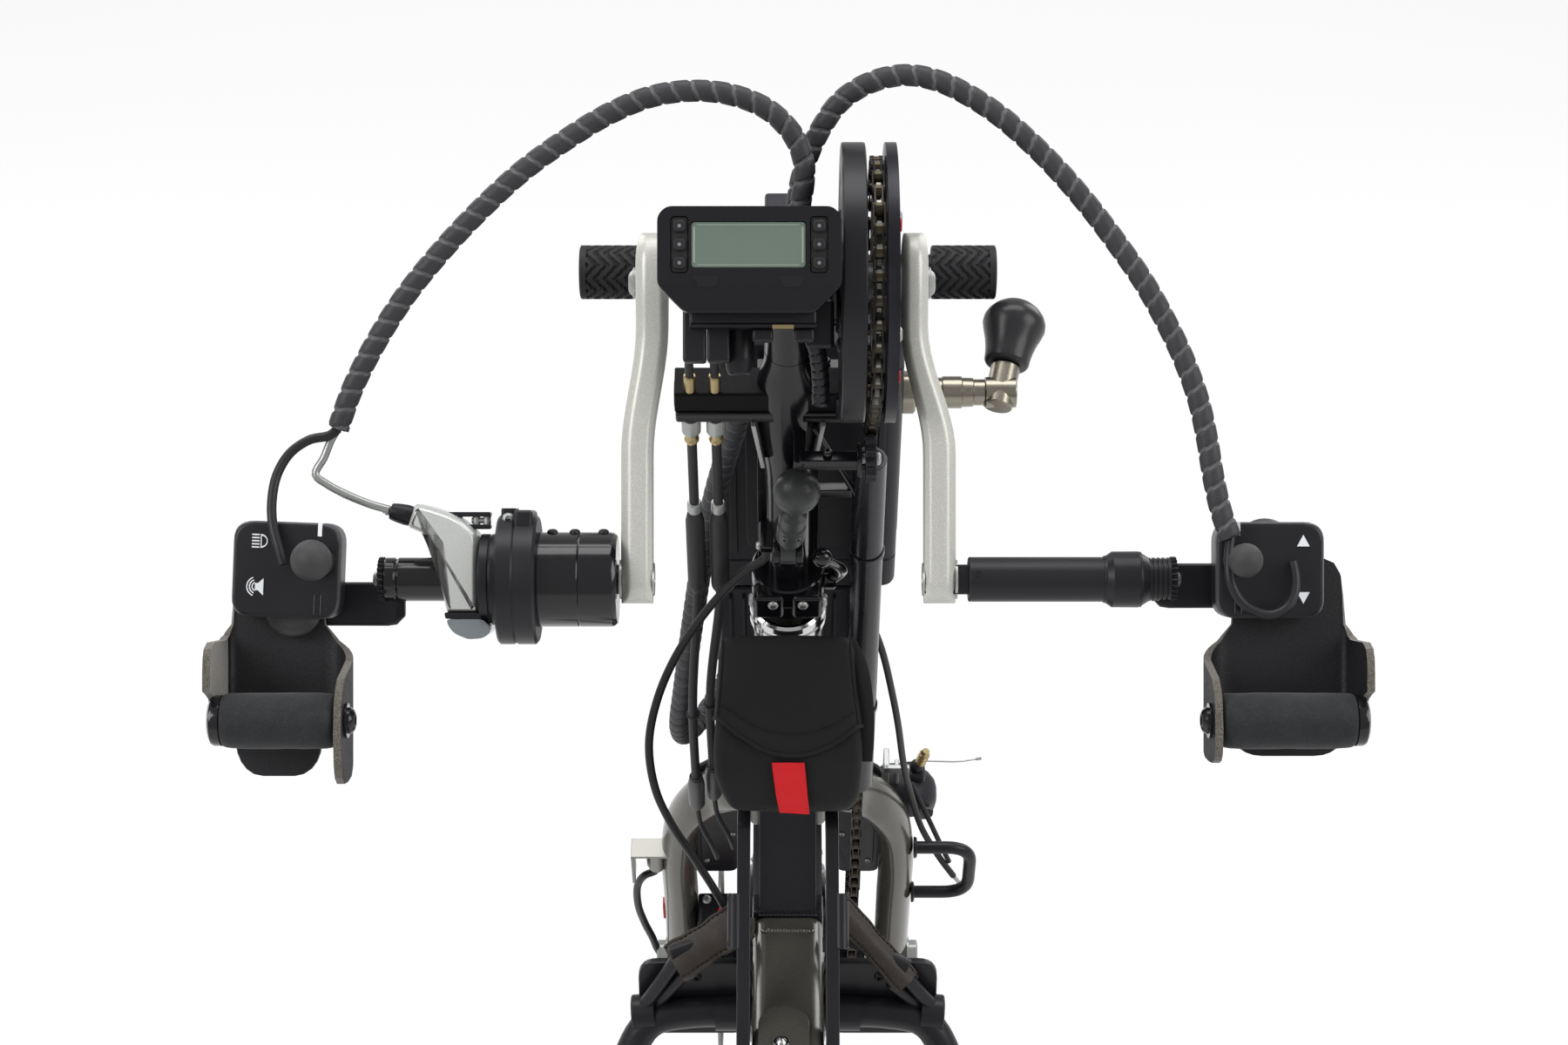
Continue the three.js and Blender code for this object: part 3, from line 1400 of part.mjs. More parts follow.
const handRests = [
  { name: 'left', side: -1, inner: layout.halfWidth - rest.spanLeft, knob: 10.8 },
  { name: 'right', side: 1, inner: layout.halfWidth - rest.spanRight, knob: 9 },
];
for (const { name, side, inner, knob } of handRests) {
  addPiece(grips, `palm_plate_${name}`, makePalmPlate(side, inner), finishes.blackMetal);
  addPiece(grips, `wrist_roll_${name}`, makeRoll(side, inner), finishes.foam);
  addPiece(grips, `control_box_${name}`, makeControlBox(side, inner), finishes.blackPlastic);
  addPiece(grips, `toggle_${name}`, makeToggle(side, inner, knob), finishes.rubber);
}

// Brake lever: a silver body clamped on the left tube, and a short forked blade
function makeLeverBody() {
  const outer = grip.ringOuter + seatGap;
  const span = leverBody.width;
  const shape = outline([
    [-outer - span * 1.62, span * 1.45],
    [-outer - span * 1.3, span * 1.85],
    [-outer - span * 0.55, span * 1.25],
    [-outer, span * 0.75],
    [-outer, -span * 1.3],
    [-outer - span * 0.8, -span * 1.3],
    [-outer - span * 0.95, span * 0.1],
    [-outer - span * 1.2, span * 0.8],
  ]);
  const body = plateY(shape, -leverBody.front, leverBody.back);
  const bore = rodX(-grip.tubeEnd, -outer + overrun, grip.tubeRadius + seatGap);
  const slot = block(
    [-brakeBlade.pivotX - brakeBlade.radius * 2, -outer + overrun],
    [-brakeBlade.thickness / 2 - runningGap, brakeBlade.thickness / 2 + runningGap],
    [brakeBlade.pivotZ - brakeBlade.radius * 2, brakeBlade.pivotZ + brakeBlade.radius * 4],
  );
  return cut(body, bore, slot);
}

function makeBrakeBlade() {
  const b = brakeBlade;
  const half = b.thickness / 2;
  const x = -b.pivotX;
  const eye = rod([x, -half, b.pivotZ], [x, half, b.pivotZ], b.radius, 16);
  const bar = block([x, x + b.length], [-half, half], [b.pivotZ - b.radius * 0.7, b.pivotZ + b.radius * 0.7]);
  const fork = block([x + b.length / 2, x + b.length + overrun], [-b.slot / 2, b.slot / 2], [b.pivotZ - b.radius * 2, b.pivotZ + b.radius * 2]);
  return cut(join(eye, bar), fork);
}

addPiece(grips, 'lever_body', makeLeverBody(), finishes.leverSilver);
addPiece(grips, 'brake_blade', makeBrakeBlade(), finishes.blackMetal);

// Frame: neck with the head tube, main tube, rails, stand, dock
// Where the neck's upper edge lies at a height
function neckEdge(z) {
  const slope = (neck.topY - neck.endY) / (neck.topZ - mainTube.top);
  return neck.endY + (z - mainTube.top) * slope;
}

function makeNeck() {
  const low = steeringPoint(0, 0, neck.joinBottom);
  const high = steeringPoint(0, 0, neck.joinTop);
  const head = rodZ(headTube.bottom, headTube.top, headTube.radius, 0, 0, 28);
  const frame = new THREE.Matrix4().makeTranslation(steeringFoot.x, steeringFoot.y, steeringFoot.z).multiply(leanTurn);
  const end = mainTube.front + seatGap;
  const beam = plateX(outline([
    [low.y, low.z],
    [high.y, high.z],
    [neck.topY, neck.topZ],
    [end, mainTube.top + (end - neck.endY) * 2],
    [end, mainTube.top - mainTube.height],
    [end + mainTube.height, mainTube.top - mainTube.height],
  ]), -neck.halfWidth, neck.halfWidth);
  const bore = rodZ(headTube.bottom - overrun, headTube.top + overrun, fork.steererRadius + headTube.boreGap);
  return cut(join(place(head, frame), beam), place(bore, frame));
}

function makeMainTube() {
  const m = mainTube;
  const body = block([-m.halfWidth, m.halfWidth], [m.rear, m.front], [m.top - m.height, m.top]);
  const lug = block([-m.halfWidth * 2, -m.halfWidth + weldDepth], [m.front - m.weldWidth, m.front], [m.top - m.lug, m.top]);
  return join(body, lug);
}

function makeRails() {
  const r = rails;
  const low = r.benchTop - r.height;
  const side = outline([
    [r.frontY, r.benchTop],
    [r.benchEndY, r.benchTop],
    [r.rearY, r.rearTop],
    [r.rearY, r.rearTop - r.height],
    [r.rearY + r.height, r.rearTop - r.height],
    [r.benchEndY + r.height * 0.4, low],
    [r.frontY, low],
  ]);
  const bars = [-1, 1].map((hand) => plateX(side, hand * r.inner, hand * (r.inner + r.thickness)));
  const tongue = plateX(outline([
    [neckEdge(r.benchTop) - seatGap, r.benchTop],
    [r.frontY - r.thickness, r.benchTop],
    [r.frontY - r.thickness, low],
    [neckEdge(low) - seatGap, low],
  ]), -r.tongueHalfWidth, r.tongueHalfWidth);
  const bridge = block([-r.inner - weldDepth, r.inner + weldDepth], [r.frontY - r.thickness, r.frontY], [low, r.benchTop]);
  return join(...bars, tongue, bridge);
}

function makeStand() {
  const s = stand;
  const barZ = mainTube.top - mainTube.height - s.tubeRadius - seatGap;
  const footY = wheelY - layout.rearReach + foot.radius;
  const reach = s.halfWidth;
  const kneeZ = foot.height + s.tubeRadius * 3;
  const kneeY = footY + s.tubeRadius * 2;
  const corner = s.cornerRadius;
  const half = [
    [reach - corner, s.barY, barZ],
    [reach - corner * 0.3, s.barY - corner * 0.1, barZ - corner * 0.15],
    [reach + corner * 0.1, s.barY - corner * 0.35, barZ - corner * 0.75],
    [reach + corner * 0.5, s.barY - corner * 1.1, barZ - corner * 2.2],
    [(reach + s.footX) / 2, (s.barY + kneeY) / 2, (barZ + kneeZ) / 2],
    [s.footX - s.tubeRadius * 0.4, kneeY, kneeZ + s.tubeRadius * 2],
    [s.footX, footY, kneeZ - s.tubeRadius * 1.6],
    [s.footX, footY, foot.height + s.tubeRadius * 0.3],
    [s.footX, footY, foot.floor + seatGap],
  ];
  const left = half.map(([x, y, z]) => [-x, y, z]).reverse();
  const hoop = tube([...left, [0, s.barY, barZ], ...half], circle(s.tubeRadius, 8), 30);
  const braces = [-1, 1].map((side) => rod(
    [side * (mainTube.halfWidth + seatGap + s.braceRadius * 0.6), s.braceTopY, mainTube.top - s.braceTopDrop],
    [side * (reach - corner * 0.2), s.barY, barZ],
    s.braceRadius,
    12,
  ));
  const plates = [-1, 1].map((side) => {
    const inner = mainTube.halfWidth + seatGap;
    const plate = plateY(
      roundedOutline(inner, s.plateOuter, barZ - s.plateHeight / 3, barZ + s.plateHeight * 0.6, s.plateCorner),
      s.barY + s.tubeRadius * 0.5,
      s.barY + s.tubeRadius * 0.5 + s.plateThickness,
    );
    return side > 0 ? plate : mirrored(plate);
  });
  const tubeSpace = block(
    [-mainTube.halfWidth - seatGap, mainTube.halfWidth + seatGap],
    [mainTube.rear, mainTube.front + s.tubeRadius],
    [barZ + s.tubeRadius + seatGap / 2, mainTube.top + overrun],
  );
  const sleeve = cut(join(hoop, ...braces, ...plates), tubeSpace);
  return sleeve;
}

function makeFoot(side) {
  const x = side * stand.footX;
  const y = wheelY - layout.rearReach + foot.radius;
  return cut(
    rodZ(0, foot.height, foot.radius, x, y, 16),
    rodZ(foot.floor, foot.height + overrun, stand.tubeRadius + seatGap * 2, x, y, 12),
  );
}

function makeDockBar() {
  const d = dock;
  const top = mainTube.top - weldDepth * 4;
  const start = mainTube.rear - seatGap;
  const stem = plateX(outline([
    [start, top],
    [start, top - d.stemHeight],
    [d.barY + d.barRadius * 0.6, d.barZ - d.barRadius * 0.6],
    [d.barY - d.barRadius * 0.6, d.barZ + d.barRadius * 0.6],
    [start - d.stemHeight / 2, top],
  ]), -d.stemWidth / 2, d.stemWidth / 2);
  const bar = rodX(-d.barHalfLength, d.barHalfLength, d.barRadius, d.barY, d.barZ);
  const spigotEnd = d.barHalfLength + d.hookThickness + seatGap * 2 + weldDepth;
  const spigots = rodX(-spigotEnd, spigotEnd, d.spigotRadius, d.barY, d.barZ);
  return join(stem, bar, spigots);
}

function makeDockHook(side) {
  const d = dock;
  const inner = d.barHalfLength + seatGap;
  const jawY = d.barY - d.jawReach;
  const jawZ = d.barZ - d.jawReach * 0.35;
  const eye = rodX(inner, inner + d.hookThickness, d.hookRadius, d.barY, d.barZ, 18);
  const jaw = rodX(inner, inner + d.hookThickness, d.jawRadius + d.jawWall, jawY, jawZ, 20);
  const mouth = block(
    [inner - overrun, inner + d.hookThickness + overrun],
    [jawY - d.jawRadius * 0.85, jawY + d.jawRadius * 0.85],
    [jawZ - d.jawRadius * 2, jawZ],
  );
  const seat = rodX(inner - overrun, inner + d.hookThickness + overrun, d.jawRadius, jawY, jawZ, 20);
  const bore = rodX(inner - overrun, inner + d.hookThickness + overrun, d.spigotRadius + runningGap, d.barY, d.barZ, 16);
  const hook = cut(join(eye, jaw), mouth, seat, bore);
  return side > 0 ? hook : mirrored(hook);
}

addPiece(handcycle, 'neck', makeNeck(), finishes.blackMetal);
addPiece(handcycle, 'main_tube', makeMainTube(), finishes.titanium);
addPiece(handcycle, 'rack_rails', makeRails(), finishes.blackMetal);
addPiece(handcycle, 'stand_hoop', makeStand(), finishes.blackMetal);
addPiece(handcycle, 'foot_left', makeFoot(-1), finishes.rubber);
addPiece(handcycle, 'foot_right', makeFoot(1), finishes.rubber);
addPiece(handcycle, 'dock_bar', makeDockBar(), finishes.blackMetal);
addPiece(handcycle, 'dock_hook_left', makeDockHook(-1), finishes.steel);
addPiece(handcycle, 'dock_hook_right', makeDockHook(1), finishes.steel);

// Tool bag on the rails, behind the head tube

function makeBag() {
  const floor = rails.benchTop + seatGap;
  const rear = rails.benchEndY - bag.edge * 4.3;
  const side = outline([
    [rear + bag.depth * 0.64, floor + bag.height],
    [rear + bag.depth * 0.32, floor + bag.height * 0.79],
    [rear + bag.edge * 0.75, floor + bag.height * 0.57],
    [rear, floor + bag.height * 0.23],
    [rear + bag.depth * 0.2, floor],
    [rear + bag.depth * 0.84, floor],
    [rear + bag.depth, floor + bag.height * 0.29],
  ]);
  return plateX(side, -bag.halfWidth, bag.halfWidth);
}

addPiece(handcycle, 'tool_bag', makeBag(), finishes.cloth);

// Hoses and leads
function flatTube(route, radius, sides, steps) {
  return tube(route, circle(radius, sides), steps);
}

const hoseLeft = join(
  ribbedTube(hoseLeftRoute, wrap.radius, wrap.rootRadius, wrap.pitch),
  flatTube(leadLeftRoute, leadRadius, 8, 9),
  flatTube(brakeLeadRoute, brakeLeadRadius, 8, 8),
);
const hoseRight = join(
  ribbedTube(hoseRightRoute, wrap.radius, wrap.rootRadius, wrap.pitch),
  flatTube(leadRightRoute, leadRadius, 8, 9),
);
addPiece(handcycle, 'hose_left', hoseLeft, finishes.rubber);
addPiece(handcycle, 'hose_right', hoseRight, finishes.rubber);
addPiece(handcycle, 'release_cable', flatTube(lockCableRoute, lockCableRadius, 8, 18), finishes.rubber);

export default handcycle;
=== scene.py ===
import math

import bmesh
import bpy
from mathutils import Matrix, Vector, geometry, noise


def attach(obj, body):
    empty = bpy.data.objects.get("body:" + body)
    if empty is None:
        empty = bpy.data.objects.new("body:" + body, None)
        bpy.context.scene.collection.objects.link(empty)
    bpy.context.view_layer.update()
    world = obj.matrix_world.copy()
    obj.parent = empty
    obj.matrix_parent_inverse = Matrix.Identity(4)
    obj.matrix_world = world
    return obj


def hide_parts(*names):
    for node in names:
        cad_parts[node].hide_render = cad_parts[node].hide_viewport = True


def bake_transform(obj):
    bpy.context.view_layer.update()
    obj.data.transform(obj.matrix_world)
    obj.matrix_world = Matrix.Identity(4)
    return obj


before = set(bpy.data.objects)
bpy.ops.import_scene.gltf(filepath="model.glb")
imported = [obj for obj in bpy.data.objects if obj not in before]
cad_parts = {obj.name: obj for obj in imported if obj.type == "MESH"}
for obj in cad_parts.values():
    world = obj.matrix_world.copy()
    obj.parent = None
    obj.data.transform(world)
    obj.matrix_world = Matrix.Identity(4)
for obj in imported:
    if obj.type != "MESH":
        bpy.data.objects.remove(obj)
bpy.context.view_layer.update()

print("handcycle: frame loaded")

# Local frames: millimetres inside, the row frame's metres outside
millimetres = Matrix.Scale(0.001, 4)


def frameAt(point, tilt):
    return millimetres @ Matrix.Translation(point) @ Matrix.Rotation(math.radians(tilt), 4, "X")


rowFrame = frameAt((0, 0, 0), 0)
steeringFrame = frameAt((0, 82.412, 236.319), 20)
wheelFrame = frameAt((0, 120, 250), 0)
crankFrame = frameAt((0, -176.155, 946.727), -30)
gripFrame = frameAt((0, -256.155, 808.163), -30)
screenFrame = crankFrame @ Matrix.Translation((-20, -80, 4.6))
sharpAngle = math.radians(34)
# turned profiles end this close to their axis
onAxis = 0.02
hands = ((-1, "left"), (1, "right"))


# Routes and outlines
def smoothRoute(points, spacing=3.0):
    # centripetal Catmull-Rom through the points, then even steps along it
    points = [Vector(p) for p in points]
    ends = [2 * points[0] - points[1], *points, 2 * points[-1] - points[-2]]
    fine = []
    for a, b, c, d in zip(ends, ends[1:], ends[2:], ends[3:]):
        t1 = math.sqrt((b - a).length)
        t2 = t1 + math.sqrt((c - b).length)
        t3 = t2 + math.sqrt((d - c).length)
        for k in range(12):
            t = t1 + (t2 - t1) * k / 12
            ab = a.lerp(b, t / t1)
            bc = b.lerp(c, (t - t1) / (t2 - t1))
            cd = c.lerp(d, (t - t2) / (t3 - t2))
            abc = ab.lerp(bc, t / t2)
            bcd = bc.lerp(cd, (t - t1) / (t3 - t1))
            fine.append(abc.lerp(bcd, (t - t1) / (t2 - t1)))
    fine.append(points[-1])
    return evenly(fine, spacing)


def evenly(line, spacing):
    total = sum((b - a).length for a, b in zip(line, line[1:]))
    count = max(2, round(total / spacing))
    step, walked, made = total / count, 0.0, [line[0]]
    for a, b in zip(line, line[1:]):
        span = (b - a).length
        while span and walked + span >= step * len(made) - 1e-9 and len(made) < count:
            made.append(a.lerp(b, (step * len(made) - walked) / span))
        walked += span
    return [*made, line[-1]]


def upright(route, up):
    # tangent, side and up at each point, with up kept near a direction
    frames = []
    for i, here in enumerate(route):
        ahead = (route[min(i + 1, len(route) - 1)] - route[max(i - 1, 0)]).normalized()
        side = ahead.cross(up).normalized()
        frames.append((here, ahead, side, side.cross(ahead)))
    return frames


def untwisted(route):
    # the same with as little twist as possible
    ahead = (route[1] - route[0]).normalized()
    side = ahead.orthogonal().normalized()
    frames = []
    for i, here in enumerate(route):
        turned = (route[min(i + 1, len(route) - 1)] - route[max(i - 1, 0)]).normalized()
        side = ahead.rotation_difference(turned) @ side
        side = (side - turned * side.dot(turned)).normalized()
        ahead = turned
        frames.append((here, ahead, side, ahead.cross(side)))
    return frames


def rounded(points, radius, steps=3, closed=False):
    # fillets the corners of an outline or a profile
    made, count = [], len(points)
    for i, point in enumerate(points):
        if not closed and i in (0, count - 1):
            made.append(tuple(point))
            continue
        here = Vector(point)
        back, ahead = Vector(points[i - 1]) - here, Vector(points[(i + 1) % count]) - here
        reach = min(radius, back.length * 0.45, ahead.length * 0.45)
        if reach < 1e-4:
            made.append(tuple(point))
            continue
        start, end = here + back.normalized() * reach, here + ahead.normalized() * reach
        for k in range(steps + 1):
            share = k / steps
            low, high = start.lerp(here, share), here.lerp(end, share)
            made.append(tuple(low.lerp(high, share)))
    return made


def rectangle(x0, x1, z0, z1, corner=0.0, steps=4):
    outline = [(x0, z0), (x1, z0), (x1, z1), (x0, z1)]
    return rounded(outline, corner, steps, closed=True) if corner else outline


def fullTurn(count):
    return [2 * math.pi * k / count for k in range(count)]


def polar(radius, turn, centre=(0, 0)):
    return (centre[0] + radius * math.cos(turn), centre[1] + radius * math.sin(turn))


def ringOutline(radius, count=40, centre=(0, 0)):
    return [polar(radius, turn, centre) for turn in fullTurn(count)]


def solid(profile):
    # closes a turned profile to the axis at both of its ends
    return [(profile[0][0], onAxis), *profile, (profile[-1][0], onAxis)]


def spanOn(side, near, far):
    # a span on one side of the middle, in rising order
    return sorted((side * near, side * far))


class Stock:
    # collects the faces of one piece, in the millimetres of a local frame
    def __init__(self, place=rowFrame):
        self.mesh = bmesh.new()
        self.place = place
        self.shift = Matrix()
        self.finish = 0

    def vertex(self, point):
        return self.mesh.verts.new(self.shift @ Vector(point))

    def rings(self, rings, caps=(True, True), around=True, looped=False):
        made = [[self.vertex(p) for p in ring] for ring in rings]
        pairs = list(zip(made, made[1:]))
        if looped:
            pairs.append((made[-1], made[0]))
        faces = []
        for low, high in pairs:
            count = len(low)
            for i in range(count if around else count - 1):
                j = (i + 1) % count
                faces.append(self.mesh.faces.new((low[i], low[j], high[j], high[i])))
        if caps[0] and not looped:
            faces.append(self.mesh.faces.new(made[0][::-1]))
        if caps[1] and not looped:
            faces.append(self.mesh.faces.new(made[-1]))
        for face in faces:
            face.material_index = self.finish
        return faces

    def turned(self, profile, start=(0, 0, 0), along=(1, 0, 0), sides=48, looped=False, hexFrom=None):
        # profile holds distance along the axis and radius
        turn = Vector((0, 0, 1)).rotation_difference(Vector(along)).to_matrix()
        rings = []
        for k, (distance, radius) in enumerate(profile):
            ring = []
            for i in range(sides):
                angle = 2 * math.pi * (i + 0.5) / sides
                reach = radius
                if hexFrom is not None and k >= hexFrom:
                    reach *= math.cos(math.pi / 6) / math.cos(angle % (math.pi / 3) - math.pi / 6)
                ring.append(
                    Vector(start) + turn @ Vector((reach * math.cos(angle), reach * math.sin(angle), distance))
                )
            rings.append(ring)
        return self.rings(rings, looped=looped)

    def rod(self, start, end, radius, sides=24, edge=0.6):
        along = Vector(end) - Vector(start)
        profile = [(0, 0.01), (0, radius), (along.length, radius), (along.length, 0.01)]
        return self.turned(rounded(profile, edge, 2), start, along.normalized(), sides)

    def tube(self, route, radius, sides=12, spacing=4.0, up=None, wide=1.0, smooth=True):
        line = smoothRoute(route, spacing) if smooth else [Vector(p) for p in route]
        frames = upright(line, Vector(up)) if up is not None else untwisted(line)
        rings = []
        for i, (here, _, side, high) in enumerate(frames):
            reach = radius(i / (len(frames) - 1)) if callable(radius) else radius
            turns = [2 * math.pi * (k + 0.5) / sides for k in range(sides)]
            rings.append([here + side * (reach * wide * math.cos(t)) + high * (reach * math.sin(t)) for t in turns])
        return self.rings(rings)

    def soften(self, faces, width, steps=2):
        if width <= 0:
            return faces
        for face in faces:
            face.normal_update()
        limit = math.radians(28)
        edges = {e for f in faces for e in f.edges if len(e.link_faces) == 2 and e.calc_face_angle(0) > limit}
        made = bmesh.ops.bevel(
            self.mesh, geom=list(edges), offset=width, segments=steps, affect="EDGES", profile=0.5, clamp_overlap=True
        )
        for face in made["faces"]:
            face.material_index = self.finish
        return made["faces"]

    def plate(self, outline, low, high, plane="y", holes=(), edge=0.6, steps=2):
        # outline in the plane's two axes, in the order x, y, z
        def lift(point, level):
            a, b = point
            return {"x": (level, a, b), "y": (a, level, b), "z": (a, b, level)}[plane]

        loops = [list(outline), *[list(hole) for hole in holes]]
        made = [[[self.vertex(lift(p, level)) for p in loop] for loop in loops] for level in (low, high)]
        faces = []
        for bottom, top in zip(*made):
            for i in range(len(bottom)):
                j = (i + 1) % len(bottom)
                faces.append(self.mesh.faces.new((bottom[i], bottom[j], top[j], top[i])))
        if not holes:
            faces += [self.mesh.faces.new(made[0][0][::-1]), self.mesh.faces.new(made[1][0])]
        else:
            flat = [[Vector((a, b, 0)) for a, b in loop] for loop in loops]
            corners = geometry.tessellate_polygon(flat)
            for level in made:
                every = [v for loop in level for v in loop]
                for corner in corners:
                    if len(set(corner)) == 3:
                        faces.append(self.mesh.faces.new([every[i] for i in corner]))
        for face in faces:
            face.material_index = self.finish
        bmesh.ops.recalc_face_normals(self.mesh, faces=faces)
        self.soften(faces, edge, steps)
        return faces

    def block(self, low, high, edge=0.8, steps=2):
        return self.plate(rectangle(low[0], high[0], low[1], high[1]), low[2], high[2], "z", edge=edge, steps=steps)

    def ball(self, centre, radius, stretch=(1, 1, 1), sides=28):
        matrix = self.shift @ Matrix.Translation(centre) @ Matrix.Diagonal((*stretch, 1))
        made = bmesh.ops.create_uvsphere(
            self.mesh, u_segments=sides, v_segments=sides // 2, radius=radius, matrix=matrix
        )
        for face in {f for v in made["verts"] for f in v.link_faces}:
            face.material_index = self.finish

    def screw(self, at, along, radius, height):
        # a button head with a hexagon socket
        dome = [
            (-0.4, 0.01), (-0.4, radius), (height * 0.35, radius), (height * 0.8, radius * 0.82),
            (height, radius * 0.6),
        ]
        inner = [(height, radius * 0.5), (height * 0.3, radius * 0.48), (height * 0.25, onAxis)]
        self.turned([*dome, *inner], at, along, 24, hexFrom=5)

    def bolts(self, turns, x, reach, facing, radius, height):
        for turn in turns:
            self.screw((x, *polar(reach, turn)), (facing, 0, 0), radius, height)

    def hexagon(self, at, along, radius, height, bore=0.0):
        # a nut or a hexagon head, with its corners turned off
        low = [(0, max(bore, onAxis)), (0, radius * 0.99), (height * 0.12, radius), (height * 0.85, radius)]
        high = [(height, radius * 0.9), (height, max(bore, onAxis))]
        self.turned([*low, *high], at, along, 24, hexFrom=1)

    def make(self, name, body, slot, *finishes, replaces=(), fair=True):
        mesh = self.mesh
        bmesh.ops.remove_doubles(mesh, verts=mesh.verts, dist=1e-5)
        bmesh.ops.dissolve_degenerate(mesh, dist=1e-5, edges=mesh.edges)
        bmesh.ops.recalc_face_normals(mesh, faces=mesh.faces)
        mesh.transform(self.place)
        for face in mesh.faces:
            face.smooth = True
        for edge in mesh.edges:
            edge.smooth = len(edge.link_faces) != 2 or edge.calc_face_angle(0) < sharpAngle
        data = bpy.data.meshes.new(name)
        mesh.to_mesh(data)
        mesh.free()
        for finish in finishes:
            data.materials.append(finish)
        piece = bpy.data.objects.new(name, data)
        bpy.context.scene.collection.objects.link(piece)
        if fair:
            weighted = piece.modifiers.new("fair", "WEIGHTED_NORMAL")
            weighted.keep_sharp = True
        if body:
            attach(piece, body)
        if replaces:
            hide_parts(*replaces)
        return piece


# Finishes
class Wire:
    # a shader socket that can be added, subtracted and multiplied
    def __init__(self, finish, socket):
        self.finish, self.socket = finish, socket

    def math(self, operation, other, swapped=False):
        first, second = (other, self) if swapped else (self, other)
        return self.finish.node("ShaderNodeMath", {"operation": operation}, {0: first, 1: second})

    def __add__(self, other):
        return self.math("ADD", other)

    def __mul__(self, other):
        return self.math("MULTIPLY", other)

    def __sub__(self, other):
        return self.math("SUBTRACT", other)

    def __rsub__(self, other):
        return self.math("SUBTRACT", other, swapped=True)

    __radd__ = __add__
    __rmul__ = __mul__


def shade(red, green, blue):
    def linear(value):
        share = value / 255
        return share / 12.92 if share <= 0.04045 else ((share + 0.055) / 1.055) ** 2.4

    return (linear(red), linear(green), linear(blue), 1.0)


def scaled(colour, amount):
    return (*[min(1.0, c * amount) for c in colour[:3]], 1.0)


class Finish:
    def __init__(self, name, **constants):
        self.material = bpy.data.materials.new(name)
        self.material.use_nodes = True
        self.tree = self.material.node_tree
        self.shader = self.tree.nodes["Principled BSDF"]
        names = {"coat": "Coat Weight", "coatRoughness": "Coat Roughness", "sheen": "Sheen Weight",
                 "sheenRoughness": "Sheen Roughness", "clear": "Transmission Weight", "ior": "IOR",
                 "metallic": "Metallic", "specular": "Specular IOR Level"}
        for word, value in constants.items():
            self.shader.inputs[names[word]].default_value = value

    def node(self, kind, settings, sockets, output=0):
        made = self.tree.nodes.new(kind)
        for word, value in settings.items():
            setattr(made, word, value)
        for key, value in sockets.items():
            self.join(value, made.inputs[key])
        return Wire(self, made.outputs[output])

    def join(self, value, socket):
        if isinstance(value, Wire):
            self.tree.links.new(value.socket, socket)
        else:
            socket.default_value = value

    def place(self, stretch=(1, 1, 1)):
        # the piece's own coordinates in millimetres
        where = self.node("ShaderNodeTexCoord", {}, {}, output=3)
        scale = tuple(1000 * s for s in stretch)
        return self.node("ShaderNodeVectorMath", {"operation": "MULTIPLY"}, {0: where, 1: scale})

    def noise(self, size, detail=2.0, stretch=(1, 1, 1)):
        sockets = {"Vector": self.place(stretch), "Scale": 1 / size, "Detail": detail, "Roughness": 0.55}
        return self.node("ShaderNodeTexNoise", {}, sockets)

    def cells(self, size, feature="F1"):
        sockets = {"Vector": self.place(), "Scale": 1 / size}
        return self.node("ShaderNodeTexVoronoi", {"feature": feature}, sockets)

    def bands(self, size, direction, stretch=(1, 1, 1)):
        sockets = {"Vector": self.place(stretch), "Scale": math.pi / (10 * size), "Distortion": 0.0}
        settings = {"wave_type": "BANDS", "bands_direction": direction, "wave_profile": "SIN"}
        return self.node("ShaderNodeTexWave", settings, sockets, output=1)

    def between(self, value, low, high):
        return self.node("ShaderNodeMapRange", {}, {0: value, 1: low, 2: high, 3: 0.0, 4: 1.0})

    def mix(self, factor, first, second):
        return self.node("ShaderNodeMix", {"data_type": "RGBA"}, {0: factor, 6: first, 7: second}, output=2)

    def worn(self):
        # one at the outer edges
        edges = self.node("ShaderNodeNewGeometry", {}, {}, output=7)
        return self.between(edges, 0.53, 0.62)

    def colour(self, value):
        self.join(value, self.shader.inputs["Base Color"])

    def roughness(self, value):
        self.join(value, self.shader.inputs["Roughness"])

    def bump(self, height, depth, strength=0.6):
        sockets = {"Strength": strength, "Distance": depth * 0.001, "Height": height}
        self.join(self.node("ShaderNodeBump", {}, sockets), self.shader.inputs["Normal"])
        return self.material


def plainFinish(name, colour, roughness, grain=0.8, depth=0.03, blotch=40, vary=0.18, wear=0.0, **constants):
    finish = Finish(name, **{"specular": 0.28, **constants})
    large, fine = finish.noise(blotch, 3.0), finish.noise(grain, 2.0)
    tone = finish.mix(large, scaled(colour, 1 - vary), scaled(colour, 1 + vary))
    if wear:
        tone = finish.mix(finish.worn() * wear, tone, scaled(colour, 5))
    finish.colour(tone)
    finish.roughness(roughness + (large - 0.5) * 0.16 + (fine - 0.5) * 0.12)
    return finish.bump(fine, depth)


def silverFinish(name, colour, speck, roughness, metallic):
    # paint with fine bright and dark flakes
    finish = Finish(name, metallic=metallic, coat=0.25, coatRoughness=0.25)
    flakes, blotch = finish.cells(speck), finish.noise(18, 3.0)
    tone = finish.mix(flakes, scaled(colour, 0.72), scaled(colour, 1.28))
    finish.colour(finish.mix(blotch * 0.35, tone, scaled(colour, 0.9)))
    finish.roughness(roughness + (flakes - 0.5) * 0.12)
    return finish.bump(flakes, 0.02, 0.4)


def leatherFinish(name, colour, size):
    finish = Finish(name, specular=0.32)
    cells, large = finish.cells(size, "SMOOTH_F1"), finish.noise(25, 3.0)
    tone = finish.mix(cells, scaled(colour, 1.35), scaled(colour, 0.7))
    finish.colour(finish.mix(large * 0.5, tone, scaled(colour, 1.1)))
    finish.roughness(0.42 + cells * 0.18 + (large - 0.5) * 0.15)
    return finish.bump(1 - cells, 0.25, 0.55)


